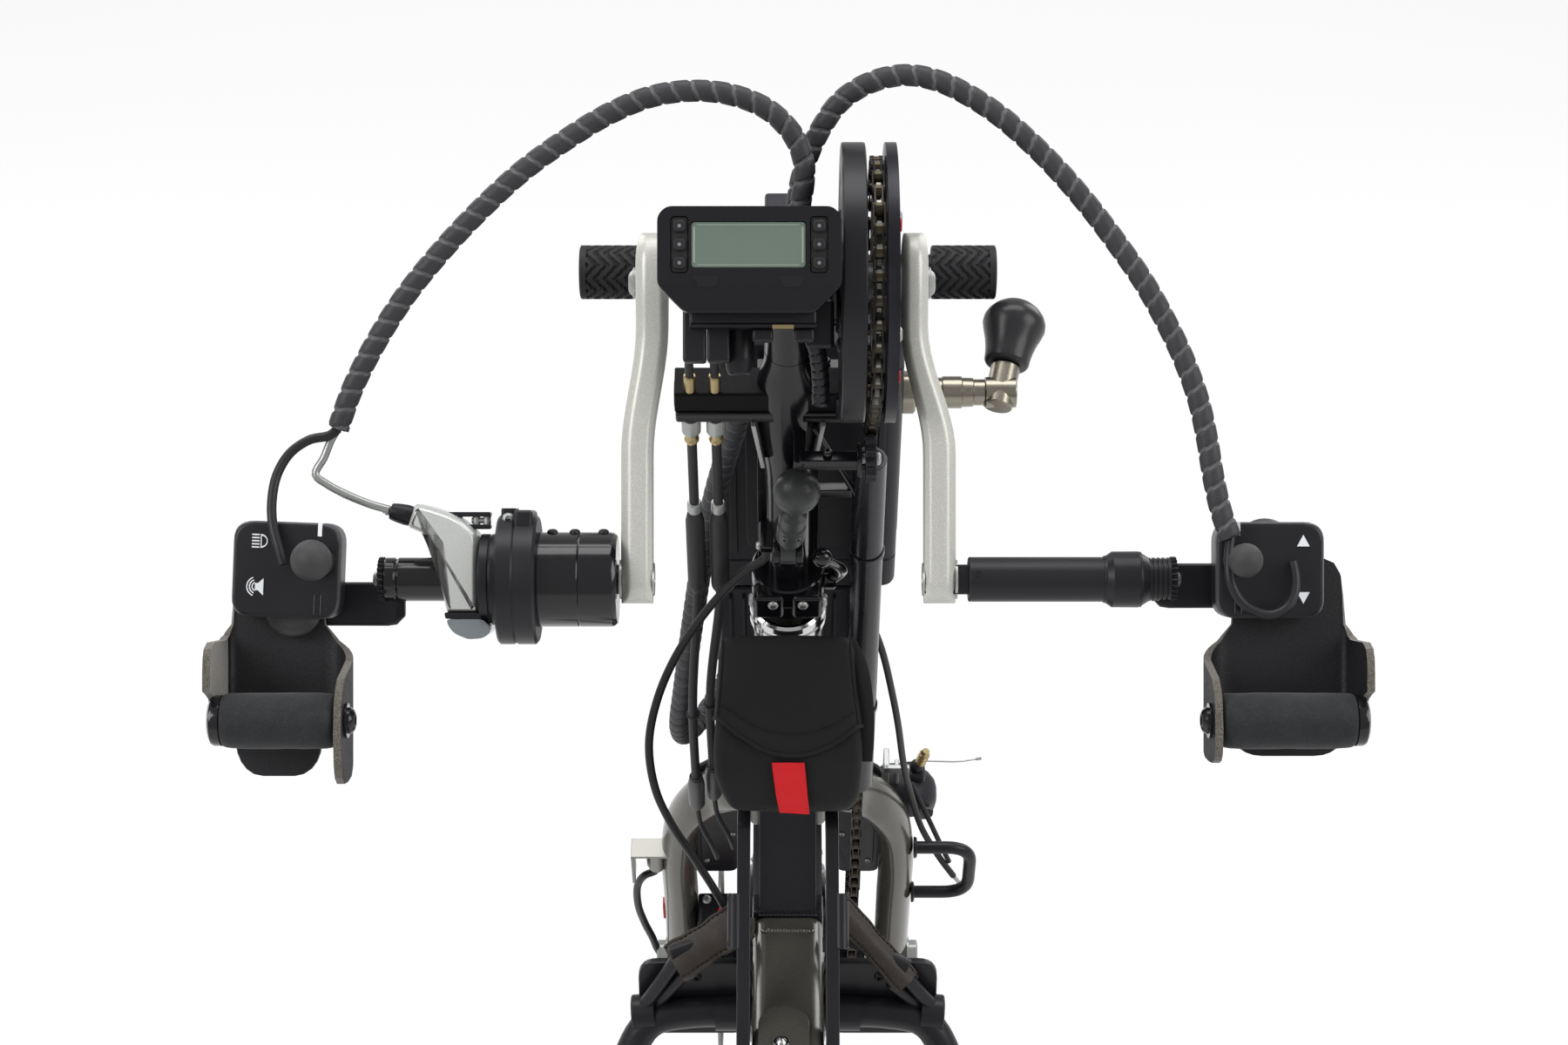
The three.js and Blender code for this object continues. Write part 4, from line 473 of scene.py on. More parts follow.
def feltFinish(name, colour, fleck):
    finish = Finish(name, sheen=0.3, sheenRoughness=0.5, specular=0.2)
    hair, large = finish.noise(0.5, 4.0), finish.noise(6, 2.0)
    finish.colour(finish.mix(finish.between(hair, 0.4, 0.68), colour, fleck))
    finish.roughness(0.86 + (large - 0.5) * 0.1)
    return finish.bump(hair, 0.35, 0.7)


def wovenFinish(name, colour, thread, **constants):
    # plain weave, its threads across x and down the slopes
    finish = Finish(name, specular=0.2, **constants)
    across, down = finish.bands(thread, "X"), finish.bands(thread, "Z", stretch=(1, 0.6, 1))
    weave = across * down + (1 - across) * (1 - down)
    large = finish.noise(30, 3.0)
    tone = finish.mix(weave, scaled(colour, 0.72), scaled(colour, 1.3))
    finish.colour(finish.mix(large * 0.4, tone, scaled(colour, 0.8)))
    finish.roughness(0.62 + weave * 0.12 + (large - 0.5) * 0.16)
    return finish.bump(weave, 0.18, 0.6)


def brushedFinish(name, colour, roughness):
    # fine lines drawn out along x
    finish = Finish(name, metallic=0.95)
    lines, large = finish.noise(0.35, 3.0, stretch=(0.05, 1, 1)), finish.noise(20, 3.0)
    tone = finish.mix(lines, scaled(colour, 0.8), scaled(colour, 1.15))
    finish.colour(finish.mix(large * 0.3, tone, scaled(colour, 0.75)))
    finish.roughness(roughness + (lines - 0.5) * 0.2)
    return finish.bump(lines, 0.02, 0.5)


def foamFinish(name, colour):
    # knitted foam cover, faintly furred
    finish = Finish(name, sheen=0.12, sheenRoughness=0.45, specular=0.2)
    knit, furred, large = finish.cells(0.9), finish.noise(0.35, 3.0), finish.noise(7, 3.0)
    tone = finish.mix(knit, scaled(colour, 0.7), scaled(colour, 1.35))
    finish.colour(finish.mix(finish.between(large, 0.35, 0.7) * 0.7, tone, scaled(colour, 0.72)))
    finish.roughness(0.8 + (furred - 0.5) * 0.14)
    return finish.bump(knit * 0.6 + furred * 0.4, 0.25, 0.6)


def glassFinish(name, colour, clear=0.9):
    finish = Finish(name, clear=clear, ior=1.45, coat=0.3)
    smear = finish.noise(12, 3.0)
    finish.colour(finish.mix(smear, colour, scaled(colour, 0.94)))
    finish.roughness(0.06 + smear * 0.05)
    return finish.bump(smear, 0.005, 0.2)


blackMetal = plainFinish("blackAnodised", shade(32, 32, 37), 0.34, 0.7, 0.015, wear=0.1, metallic=0.5)
satinBlack = plainFinish("satinBlack", shade(27, 27, 31), 0.36, 0.5, 0.03, wear=0.06)
moulded = plainFinish("mouldedBlack", shade(29, 28, 34), 0.42, 0.6, 0.06, wear=0.05)
gloss = plainFinish("glossBlack", shade(18, 18, 21), 0.16, 3.0, 0.01, coat=0.35, coatRoughness=0.08)
castBlack = plainFinish("castBlack", shade(28, 28, 31), 0.4, 1.6, 0.08, wear=0.1, metallic=0.2)
softRubber = plainFinish("softRubber", shade(33, 33, 35), 0.6, 0.5, 0.05, vary=0.25)
sheath = plainFinish("cableSheath", shade(34, 34, 36), 0.38, 0.9, 0.02)
shrink = plainFinish("shrinkSleeve", shade(42, 42, 44), 0.55, 1.2, 0.05)
wrapDark = plainFinish("spiralWrap", shade(54, 54, 57), 0.5, 0.9, 0.03, vary=0.22)
wrapGap = plainFinish("wrapGap", shade(92, 92, 94), 0.6, 0.7, 0.03)
tyreRubber = plainFinish("tyreRubber", shade(34, 34, 36), 0.78, 0.7, 0.08, blotch=16, vary=0.25)
titanium = silverFinish("greyBrownMetal", shade(86, 84, 78), 0.5, 0.2, 0.35)
crankSilver = silverFinish("crankSilver", shade(196, 196, 189), 0.5, 0.46, 0.4)
leverSilver = silverFinish("leverSilver", shade(204, 206, 203), 0.3, 0.36, 0.5)
zinc = plainFinish("zincPlate", shade(166, 168, 166), 0.4, 0.5, 0.02, metallic=0.7)
nickel = brushedFinish("bronzeNickel", shade(150, 144, 131), 0.28)
brass = brushedFinish("brass", shade(176, 158, 116), 0.32)
steel = brushedFinish("brushedSteel", shade(140, 139, 134), 0.34)
polished = plainFinish("polishedSteel", shade(205, 205, 205), 0.12, 2.0, 0.005, metallic=1.0)
chainPlate = plainFinish("chainPlate", shade(40, 38, 36), 0.34, 0.6, 0.02, metallic=0.8, wear=0.2)
chainPin = plainFinish("chainPin", shade(70, 63, 50), 0.34, 0.5, 0.02, metallic=0.9)
leather = leatherFinish("pebbledLeather", shade(30, 30, 33), 1.1)
sleeveBrown = leatherFinish("sleeveLeather", shade(50, 43, 38), 0.9)
felt = feltFinish("feltEdge", shade(62, 58, 54), shade(128, 122, 112))
# lighter beige felt: painted reflection on the left hand rest's outer wing
feltPaintedReflection = feltFinish("feltPaintedReflection", shade(92, 87, 80), shade(150, 146, 138))
foam = foamFinish("foamWrap", shade(43, 44, 46))
nylon = wovenFinish("bagNylon", shade(29, 29, 31), 0.55)
webbing = wovenFinish("bagWebbing", shade(28, 28, 30), 0.9)
tabRed = wovenFinish("redTab", shade(218, 36, 42), 0.6)
redPlastic = plainFinish("redPlastic", shade(190, 28, 30), 0.4, 0.8, 0.03)
knobGrey = plainFinish("knobGrey", shade(60, 60, 61), 0.58, 0.5, 0.05, vary=0.22)
pale = plainFinish("paleMark", shade(226, 228, 232), 0.5, 0.5, 0.02)
domeGrey = plainFinish("domeGrey", shade(70, 70, 71), 0.34, 0.8, 0.02)
noodle = plainFinish("noodleSilver", shade(156, 158, 156), 0.32, 0.8, 0.02, metallic=0.75)
# darker than the other blacks, with little specular: painted shade for the column's crossbar
crossbarPaintedShade = plainFinish("crossbarPaintedShade", shade(12, 12, 14), 0.5, 0.8, 0.02, specular=0.1)
# gloss black for the hub and chain tube; on the neck the same black is painted shade, the real neck being grey frame
# welded to the main tube
glossBlackAndNeckShade = plainFinish(
    "glossBlackMetalAndNeckShade", shade(27, 26, 32), 0.27, 1.2, 0.01, wear=0.06, coat=0.12, coatRoughness=0.15,
)
postGloss = plainFinish("postGloss", shade(17, 17, 21), 0.2, 1.2, 0.008, coat=0.2, coatRoughness=0.12)
caseGloss = plainFinish("caseGloss", shade(19, 19, 24), 0.28, 0.6, 0.015, coat=0.12, coatRoughness=0.2)
knobSatin = plainFinish("knobSatin", shade(54, 56, 55), 0.34, 0.8, 0.02, vary=0.2)
knobGloss = plainFinish("knobGloss", shade(42, 42, 44), 0.28, 0.8, 0.02, vary=0.2)
leverGrey = plainFinish("barrelGrey", shade(88, 88, 90), 0.4, 0.8, 0.02, metallic=0.6)
reflector = plainFinish("lampReflector", shade(220, 220, 222), 0.1, 2.0, 0.005, metallic=1.0)
# lighter grey: painted highlight for the switch boxes' front rim band
rimHighlightGrey = plainFinish("boxRimHighlight", shade(70, 70, 74), 0.35, 0.6, 0.02)
markGrey = plainFinish("keyMark", shade(120, 122, 126), 0.5, 0.5, 0.02)
lcd = plainFinish(
    "liquidCrystal", shade(98, 112, 102), 0.3, 0.35, 0.004, blotch=60, vary=0.08, coat=0.6, coatRoughness=0.05,
)
lcdFrame = plainFinish("crystalFrame", shade(150, 162, 152), 0.35, 0.5, 0.004)
clearLens = glassFinish("clearLens", shade(245, 247, 250))
windowGrey = glassFinish("windowGrey", shade(136, 142, 148), 0.35)
print("handcycle: finishes made")

# Camera, as in the photograph
camera = bpy.data.objects.new("camera", bpy.data.cameras.new("camera"))
bpy.context.scene.collection.objects.link(camera)
camera.data.sensor_width, camera.data.lens = 36, 63.8
camera.data.clip_start, camera.data.clip_end = 0.05, 60
camera.location = (-0.0024, -1.5399, 1.5848)
camera.rotation_euler = (math.radians(60), 0, 0)
bpy.context.scene.camera = camera

# Cords: lengths and diameters in millimetres, routes as the solids have them
cords = {
    "hoseLeft": {
        "length": 384, "diameter": 11.8, "pitch": 10.5,
        "route": [
            (4.6, -177.2, 979.3), (5.5, -174.2, 988), (7.8, -172.8, 1001), (8.2, -169.8, 1013.4), (3.1, -165, 1026.5),
            (-9.3, -160, 1038.8), (-27.7, -156.8, 1046.4), (-48.4, -155.5, 1048.8), (-71.4, -155.9, 1046),
            (-94.5, -159.6, 1037.7), (-117.6, -165.5, 1025.3), (-140.7, -172.9, 1010.6), (-163.9, -182.6, 991.8),
            (-184.7, -192.7, 972.2), (-203.5, -202.5, 951.4), (-219, -212.7, 929.7), (-231.8, -223.2, 907.5),
            (-240, -232.3, 887.7),
        ],
    },
    "hoseRight": {
        "length": 432, "diameter": 11.8, "pitch": 10.5,
        "route": [
            (3.7, -158.7, 968.4), (4.2, -154.6, 979.5), (6.1, -150.6, 993.1), (10.3, -145.9, 1007.3),
            (17.3, -141.2, 1021.4), (28, -136.6, 1035.5), (43.3, -134.5, 1045.1), (61.8, -135.2, 1049.8),
            (78.8, -139.5, 1048.5), (94.9, -145.1, 1042.8), (112.4, -152.7, 1033.5), (129.3, -162, 1021.4),
            (145.3, -172.2, 1007.8), (160.3, -183, 993), (174, -193.2, 977.5), (187.3, -203.8, 961.1),
            (199.1, -215.2, 943.2), (209.1, -227, 925), (216.3, -238.2, 907.5), (220.7, -249.4, 890.1),
            (223.8, -260.1, 873.5), (227.8, -270.2, 858.1), (232.6, -277.9, 846.7),
        ],
    },
    "leadLeft": {
        "length": 93, "diameter": 5.2,
        "route": [
            (-240, -232.3, 887.7), (-244.5, -235, 885), (-254.8, -238, 883.9), (-264.5, -244.1, 879.3),
            (-270.9, -252.5, 870.8), (-272.9, -262.9, 860.8), (-271.7, -272.8, 851.6), (-268, -281.5, 842.4),
            (-265.5, -286.5, 835.5),
        ],
    },
    "brakeLead": {
        "length": 72, "diameter": 4.4,
        "route": [
            (-240, -232.3, 887.7), (-243.9, -234.4, 882), (-247.6, -239.1, 874), (-252.1, -244.6, 866.4),
            (-246.1, -247.1, 862), (-234.5, -250.2, 856.8), (-222.9, -252.5, 852.7), (-213, -253.8, 850.2),
        ],
    },
    "leadRight": {
        "length": 88.5, "diameter": 5.2,
        "route": [
            (232.6, -277.9, 846.7), (231.2, -285.6, 839.5), (231.6, -294.5, 829.9), (238.4, -301.3, 820.2),
            (251.1, -304, 815.4), (260.5, -301.6, 817.7), (265.5, -295.5, 824.1), (266.1, -289.3, 831),
            (265, -284.5, 836),
        ],
    },
    "releaseCable": {
        "length": 302, "diameter": 5.2,
        "route": [
            (-12.5, -122, 748), (-14, -121, 741), (-22, -119.5, 734), (-33, -118.6, 723), (-50.7, -117.5, 699.6),
            (-68.4, -120.8, 670.9), (-79.9, -127.3, 643.6), (-85.1, -134, 616), (-81.8, -139.9, 587.7),
            (-72.6, -141.7, 562.6), (-59.5, -141.5, 537), (-47.2, -140.5, 512), (-39.5, -138, 492),
            (-38, -136.5, 480.5),
        ],
    },
}


def metres(point):
    return tuple(0.001 * c for c in point)


def wrapTube(stock, line, diameter, pitch, gap=1):
    # spiral wrap: each ring leans along the route by one pitch a turn, so the gap runs round as a helix
    frames = untwisted(line)
    total = sum((b - a).length for a, b in zip(line, line[1:]))
    sides, outer = 20, diameter / 2
    section = [
        (0, 0.93), (0.06, 0.99), (0.16, 1.0), (0.55, 1.0), (0.74, 0.985), (0.8, 0.93), (0.83, 0.86), (0.97, 0.86),
    ]
    grid = []
    for k in range(-1, math.ceil(total / pitch) + 1):
        for share, reach in section:
            ring = []
            for i in range(sides + 1):
                lean = (k + share + i / sides) * pitch
                here, _, side, high = frames[round(min(max(lean / total, 0), 1) * (len(frames) - 1))]
                turn = 2 * math.pi * i / sides
                radius = outer * (reach if 0 < lean < total else 0.8)
                ring.append(stock.vertex(here + side * (radius * math.cos(turn)) + high * (radius * math.sin(turn))))
            grid.append((ring, share >= 0.8))
    for (low, inGap), (high, _) in zip(grid, grid[1:]):
        for i in range(sides):
            corners = [low[i], low[i + 1], high[i + 1], high[i]]
            if (corners[0].co - corners[2].co).length > 1e-4:
                face = stock.mesh.faces.new(corners)
                face.material_index = gap if inGap else 0
    stock.finish = gap
    stock.tube([here for here, _, _, _ in frames[::4]] + [frames[-1][0]], outer * 0.8, 12, smooth=False)
    stock.finish = 0


def wrappedHose(name, cord, replaced):
    line = smoothRoute(cord["route"], 0.7)
    stock = Stock()
    wrapTube(stock, line, cord["diameter"], cord["pitch"])
    piece = stock.make(name, None, "cable", wrapDark, wrapGap, replaces=replaced, fair=False)
    path = [metres(p) for p in line[::4]] + [metres(line[-1])]
    metres(line[0])
    return piece


def plainCord(name, cord, finish):
    stock = Stock()
    line = smoothRoute(cord["route"], 2.0)
    stock.tube(line, cord["diameter"] / 2, 16, smooth=False)
    piece = stock.make(name, None, "cable", finish)
    metres(line[0])
    [metres(p) for p in line]
    return piece


hoseLeft = wrappedHose("hose_left_wrap", cords["hoseLeft"], ["hose_left"])
hoseRight = wrappedHose("hose_right_wrap", cords["hoseRight"], ["hose_right"])
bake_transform(hoseLeft)
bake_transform(hoseRight)
leads = [
    ("lead_left", "leadLeft", "grip_left", sheath),
    ("brake_lead", "brakeLead", "grip_left", noodle),
    ("lead_right", "leadRight", "grip_right", sheath),
]
for name, key, body, finish in leads:
    lead = plainCord(name, cords[key], finish)
    route = cords[key]["route"]
    metres(route[0])
    metres(route[-1])
    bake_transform(lead)
releaseCable = plainCord("release_cable_line", cords["releaseCable"], sheath)
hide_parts("release_cable")
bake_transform(releaseCable)
print("handcycle: cords made")

# Crank arms: one loft each, from the axle boss down to the grip's spindle
crankArms = {
    "left": {"side": -1, "topInner": 65, "topOuter": 82, "endInner": 73, "endOuter": 90},
    "right": {"side": 1, "topInner": 61, "topOuter": 75, "endInner": 73, "endOuter": 90},
    "top": 27, "boss": 17, "bendTop": -24, "bendLow": -92, "depth": 12.5, "end": -173, "facet": 4.6,
}


def eased(value, low, high):
    share = min(max((value - low) / (high - low), 0), 1)
    return share * share * (3 - 2 * share)


def makeCrankArm(name, arm):
    stock, a, side = Stock(crankFrame), crankArms, arm["side"]
    tops = [a["top"] - d for d in (0.05, 0.5, 1.5, 3.2, 5.6, 9, 13, 18)]
    lows = [a["end"] + d for d in (12.5, 8, 4.6, 2.4, 1, 0.25, 0.03)]
    levels = [*tops, *[4 - 7 * k for k in range(23)], *lows]
    rings = []
    for z in levels:
        bend = eased(z, a["bendLow"], a["bendTop"])
        inner = arm["endInner"] + (arm["topInner"] - arm["endInner"]) * bend
        outer = arm["endOuter"] + (arm["topOuter"] - arm["endOuter"]) * bend
        depth = a["depth"] + (a["boss"] - a["depth"]) * eased(z, -34, 2)
        centre = a["top"] - a["boss"]
        if z > centre:
            depth = math.sqrt(max(a["boss"] ** 2 - (z - centre) ** 2, 0.01))
            crown = (1 - math.sqrt(max(1 - ((z - centre) / a["boss"]) ** 2, 0))) * 3.2
            inner, outer = inner + crown * 0.4, outer - crown
        low = a["end"] + a["depth"]
        if z < low:
            depth = math.sqrt(max(a["depth"] ** 2 - (low - z) ** 2, 0.01))
        f = min(a["facet"], depth * 0.42, (outer - inner) * 0.36)
        outline = [
            (inner + f * 0.6, -depth), (outer - f, -depth), (outer, -depth + f), (outer, depth - f),
            (outer - f, depth), (inner + f * 0.6, depth), (inner, depth - f), (inner, -depth + f),
        ]
        rings.append([(side * x, y, z) for x, y in rounded(outline, f * 0.34, 2, closed=True)])
    stock.rings(rings)
    stock.finish = 1
    stock.turned([(0, onAxis), (0, 8.6), (1.2, 8.6), (1.8, 8)], (side * arm["topOuter"], 0, 0), (side, 0, 0), 32)
    stock.screw((side * (arm["topOuter"] + 1), 0, 0), (side, 0, 0), 7, 3.2)
    stock.turned(solid([(0, 10.6), (1.4, 10.6)]), (side * 89.6, 0, -160), (side, 0, 0), 32)
    stock.turned(solid([(0, 9.4), (1.0, 8.8), (1.0, 4.4), (0.2, 4)]), (side * 73.2, 0, -160), (-side, 0, 0), 24)
    stock.make(f"crank_arm_{name}", "cranks", "silver", crankSilver, zinc, replaces=[f"crank_{name}"])


for name in ("left", "right"):
    makeCrankArm(name, crankArms[name])


# Chain set: toothed rings with windows, the two guards, and the chain link by link
chainSet = {
    "pitch": 12.7, "middle": 47, "ringTeeth": 32, "ringThick": 2.4, "windowInner": 26, "windowOuter": 47, "arms": 5,
    "boltCircle": 52, "bore": 11.3, "guardRadius": 75.5, "wheelTeeth": 18, "plateEnd": 3.9, "plateWaist": 2.4,
    "wheels": [(0, 756, 64.8), (39.3, 648, -17.2), (40, 0, 36.57), (-31.3, 648, -17.2)],
}
chainTooth = ((-0.5, -4.3), (-0.3, -3.7), (-0.17, 0.6), (-0.07, 2.9), (0.07, 2.9), (0.17, 0.6), (0.3, -3.7))


def toothedOutline(teeth, pitch, tooth=chainTooth, centre=(0, 0)):
    # each tooth as shares of the pitch and steps off the pitch circle
    base = pitch / (2 * math.sin(math.pi / teeth))
    return [
        polar(base + reach, 2 * math.pi * (k + share) / teeth, centre) for k in range(teeth)
        for share, reach in tooth
    ]


def windows(inner, outer, count, gap):
    # openings between the arms of a ring
    holes, steps = [], 10
    for k in range(count):
        middle = 2 * math.pi * (k + 0.5) / count
        outline = []
        for radius, order in ((inner, 1), (outer, -1)):
            half = math.pi / count - gap / 2 / radius
            turns = [middle + order * half * (2 * i / steps - 1) for i in range(steps + 1)]
            outline += [polar(radius, turn) for turn in turns]
        holes.append(rounded(outline, 3.5, 2, closed=True))
    return holes


def beltLine(wheels, pitch):
    # rollers of a closed chain round wheels given as (v, w, radius), negative where it runs round the far side
    count, stops = len(wheels), []
    for i in range(count):
        (v0, w0, r0), (v1, w1, r1) = wheels[i], wheels[(i + 1) % count]
        along = Vector((v1 - v0, w1 - w0))
        lean = (r0 - r1) / along.length
        along.normalize()
        away = along * lean + Vector((-along.y, along.x)) * math.sqrt(1 - lean * lean)
        stops.append((i, away))
    line = []
    for i in range(count):
        v, w, radius = wheels[i]
        arriving, leaving = stops[i - 1][1], stops[i][1]
        first, last = math.atan2(arriving.y, arriving.x), math.atan2(leaving.y, leaving.x)
        if radius > 0:
            while last > first:
                last -= 2 * math.pi
        else:
            while last < first:
                last += 2 * math.pi
        for k in range(25):
            turn = first + (last - first) * k / 24
            line.append(Vector((0, v + radius * math.cos(turn), w + radius * math.sin(turn))))
    line.append(line[0].copy())
    total = sum((b - a).length for a, b in zip(line, line[1:]))
    return evenly(line, total / (2 * round(total / pitch / 2)))[:-1]


def makeChain():
    stock = Stock(steeringFrame)
    line = beltLine(chainSet["wheels"], chainSet["pitch"])
    middle = chainSet["middle"]
    for k, here in enumerate(line):
        there = line[(k + 1) % len(line)]
        along = (there - here).normalized()
        across = Vector((0, -along.z, along.y))
        reach, waist = chainSet["plateEnd"], chainSet["plateWaist"]
        shape = []
        for centre, start in ((there, -0.5), (here, 0.5)):
            for i in range(7):
                turn = math.pi * (start + i / 6)
                point = centre + along * (reach * math.cos(turn)) + across * (reach * math.sin(turn))
                shape.append((point.y, point.z))
            edge = here.lerp(there, 0.5) + across * (waist if start < 0 else -waist)
            shape.append((edge.y, edge.z))
        # outer and inner links take turns
        offset = 2.55 if k % 2 else 1.55
        for side in (-1, 1):
            stock.finish = 0
            low, high = sorted((middle + side * offset, middle + side * (offset + 0.8)))
            stock.plate(shape, low, high, "x", edge=0)
        stock.finish = 1
        at = (middle, here.y, here.z)
        stock.turned(solid([(-1.5, 3.6), (1.5, 3.6)]), at, sides=10)
        stock.turned(solid([(-3.45, 1.5), (-3.2, 1.8), (3.2, 1.8), (3.45, 1.5)]), at, sides=8)
    stock.make("chain_links", "steering", "chain", chainPlate, chainPin, replaces=["chain"], fair=False)


def makeChainSet():
    c = chainSet
    middle, half = c["middle"], c["ringThick"] / 2
    ring = Stock(crankFrame)
    holes = [*windows(c["windowInner"], c["windowOuter"], c["arms"], 12), ringOutline(c["bore"], 32)]
    ring.plate(
        toothedOutline(c["ringTeeth"], c["pitch"]), middle - half, middle + half, "x", holes, edge=0.25, steps=1,
    )
    ring.finish = 1
    ring.bolts(fullTurn(c["arms"]), middle + half, c["boltCircle"], 1, 4.4, 2.2)
    ring.make("chainring_teeth", "cranks", "steel", steel, satinBlack, replaces=["chainring"])
    inner = Stock(crankFrame)
    inner.turned(rounded([
        (28, 11.4), (28, 52), (28.8, 54), (28.8, 60), (28, 62), (28, c["guardRadius"]), (41, c["guardRadius"]),
        (41, 66.5), (32, 66.5), (32, 22), (40.5, 22), (40.5, 11.4),
    ], 1.3, 3, closed=True), sides=112, looped=True)
    inner.finish = 1
    inner.bolts([2 * math.pi * (k + 0.5) / c["arms"] for k in range(c["arms"])], 28.2, 36, -1, 4.2, 2.4)
    inner.make("guard_disc_inner", "cranks", "black_plastic", satinBlack, blackMetal, replaces=["guard_inner"])
    outer = Stock(crankFrame)
    holes = [*windows(23, 60.5, 5, 14), ringOutline(c["bore"], 32)]
    outer.plate(ringOutline(c["guardRadius"], 112), 51.5, 57.5, "x", holes, edge=1.1, steps=3)
    for turn in fullTurn(c["arms"]):
        outer.finish = 1
        outer.bolts([turn], 57.3, c["boltCircle"], 1, 4.4, 2.4)
        outer.finish = 2
        mark = polar(68, turn + 0.26)
        outer.rod((57.2, *mark), (58.6, *mark), 3.4, 20, 0.4)
    outer.make("guard_ring_outer", "cranks", "black_metal", blackMetal, zinc, redPlastic, replaces=["guard_outer"])
    axle = Stock(crankFrame)
    profile = solid([(-62, 9.4), (-34.8, 9.4), (-34.5, 10.9), (61, 10.9), (61, 9), (64, 9)])
    axle.turned(rounded(profile, 0.5, 2), sides=40)
    axle.make("crank_spindle", "cranks", "steel", zinc, replaces=["crank_axle"])


makeChainSet()
makeChain()
print("handcycle: crank set made")

# Display: the case with its window and key slots, the glass, and three keys each side
display = {
    "halfWide": 47, "halfHigh": 27, "chamfer": 14, "corner": 4.7, "front": -10, "keysAt": 35.5, "keysUp": 7.2,
    "keyPitch": 9.4, "glass": (-29.6, 28.6, -4.4, 18.8),
}


def caseOutline(inset):
    d = display
    x, z, c, t = d["halfWide"] - inset, d["halfHigh"] - inset, d["chamfer"] - inset * 0.6, d["corner"] - inset * 0.4
    outline = [(-x + c, -z), (x - c, -z), (x, -z + c), (x, z - t), (x - t, z), (-x + t, z), (-x, z - t), (-x, -z + c)]
    return rounded(outline, 3.2, 4, closed=True)


def makeDisplay():
    d = display
    case = Stock(screenFrame)
    front = d["front"]
    keyHigh = d["keyPitch"] + 5.1
    x0, x1, z0, z1 = d["glass"]
    holes = [rectangle(x0 - 0.3, x1 + 0.3, z0 - 0.3, z1 + 0.3, 2.2)]
    for side in (-1, 1):
        at = side * d["keysAt"]
        holes.append(rectangle(at - 4.7, at + 4.7, d["keysUp"] - keyHigh, d["keysUp"] + keyHigh, 2.4))
    layers = [(10, 4), (9.2, 2.2), (7, 0.6), (3.2, 0), (-6.2, 0), (-6.7, 0.5)]
    case.rings([[(x, y, z) for x, z in caseOutline(inset)] for y, inset in layers])
    case.plate(caseOutline(0.2), front + 0.05, front + 3.1, "y", holes, edge=1.5, steps=3)
    for vertex in {v for v in case.mesh.verts if v.co.y < front + 3}:
        # the lower edge of the face slopes back
        vertex.co.y += max(-13.5 - vertex.co.z, 0) * 0.2
    case.block((-31.5, front + 3.3, -7), (31.5, front + 4.4, 21.5), 0.1)
    for side in (-1, 1):
        low, high = spanOn(side, 14.8, 28.4)
        pad = [(low, -8.6), (high, -8.6), (high - 2.4, -14.6), (low + 2.4, -14.6)]
        case.finish = 1
        case.plate(rounded(pad, 1, 2, closed=True), front - 0.3, front + 0.9, "y", edge=0.25)
        case.screw((side * 39, 9.2, 14), (0, 1, 0), 2.2, 1.2)
        case.screw((side * 30, 9.2, -18), (0, 1, 0), 2.2, 1.2)
    case.make("display_shell", "steering", "case", caseGloss, gloss, replaces=["display_case"])
    glass = Stock(screenFrame)
    glass.plate(rectangle(x0, x1, z0, z1, 2), front + 0.9, front + 2.2, "y", edge=0.3)
    glass.finish = 1
    bars = [rectangle(x - 0.35, x + 0.35, z0 + 2.4, z1 - 2.4, 0.3) for x in (x0 + 1.5, x1 - 1.5)]
    bars += [rectangle(x0 + 3, x1 - 3, z - 0.18, z + 0.18, 0.15) for z in (z0 + 1.4, z1 - 1.4)]
    for bar in bars:
        glass.plate(bar, front + 0.84, front + 1, "y", edge=0)
    glass.make("display_glass", "steering", "case", lcd, lcdFrame)
    for side, word in hands:
        keys = Stock(screenFrame)
        at = side * d["keysAt"]
        plate = rectangle(at - 4.3, at + 4.3, d["keysUp"] - keyHigh + 0.6, d["keysUp"] + keyHigh - 0.6, 2)
        keys.plate(plate, front + 0.9, front + 2.2, "y", edge=0.4)
        for step in (-1, 0, 1):
            up = d["keysUp"] + step * d["keyPitch"]
            cap = rectangle(at - 3.3, at + 3.3, up - 3.1, up + 3.1, 2.4, 6)
            keys.plate(cap, front - 1.5, front + 1.2, "y", edge=1.1, steps=3)
            keys.finish = 1
            keys.plate(ringOutline(0.9, 16, (at, up)), front - 1.62, front - 1.3, "y", edge=0)
            keys.finish = 0
        keys.make(f"display_keys_{word}", f"keypad_{word}", "rubber", softRubber, markGrey, replaces=[f"keys_{word}"])


makeDisplay()

# Push bar ahead of the cranks, with its ribbed grips
pushBar = {"v": 151, "w": 614, "radius": 11, "reach": 125, "gripFrom": 87, "gripTo": 128, "gripRadius": 16.5}


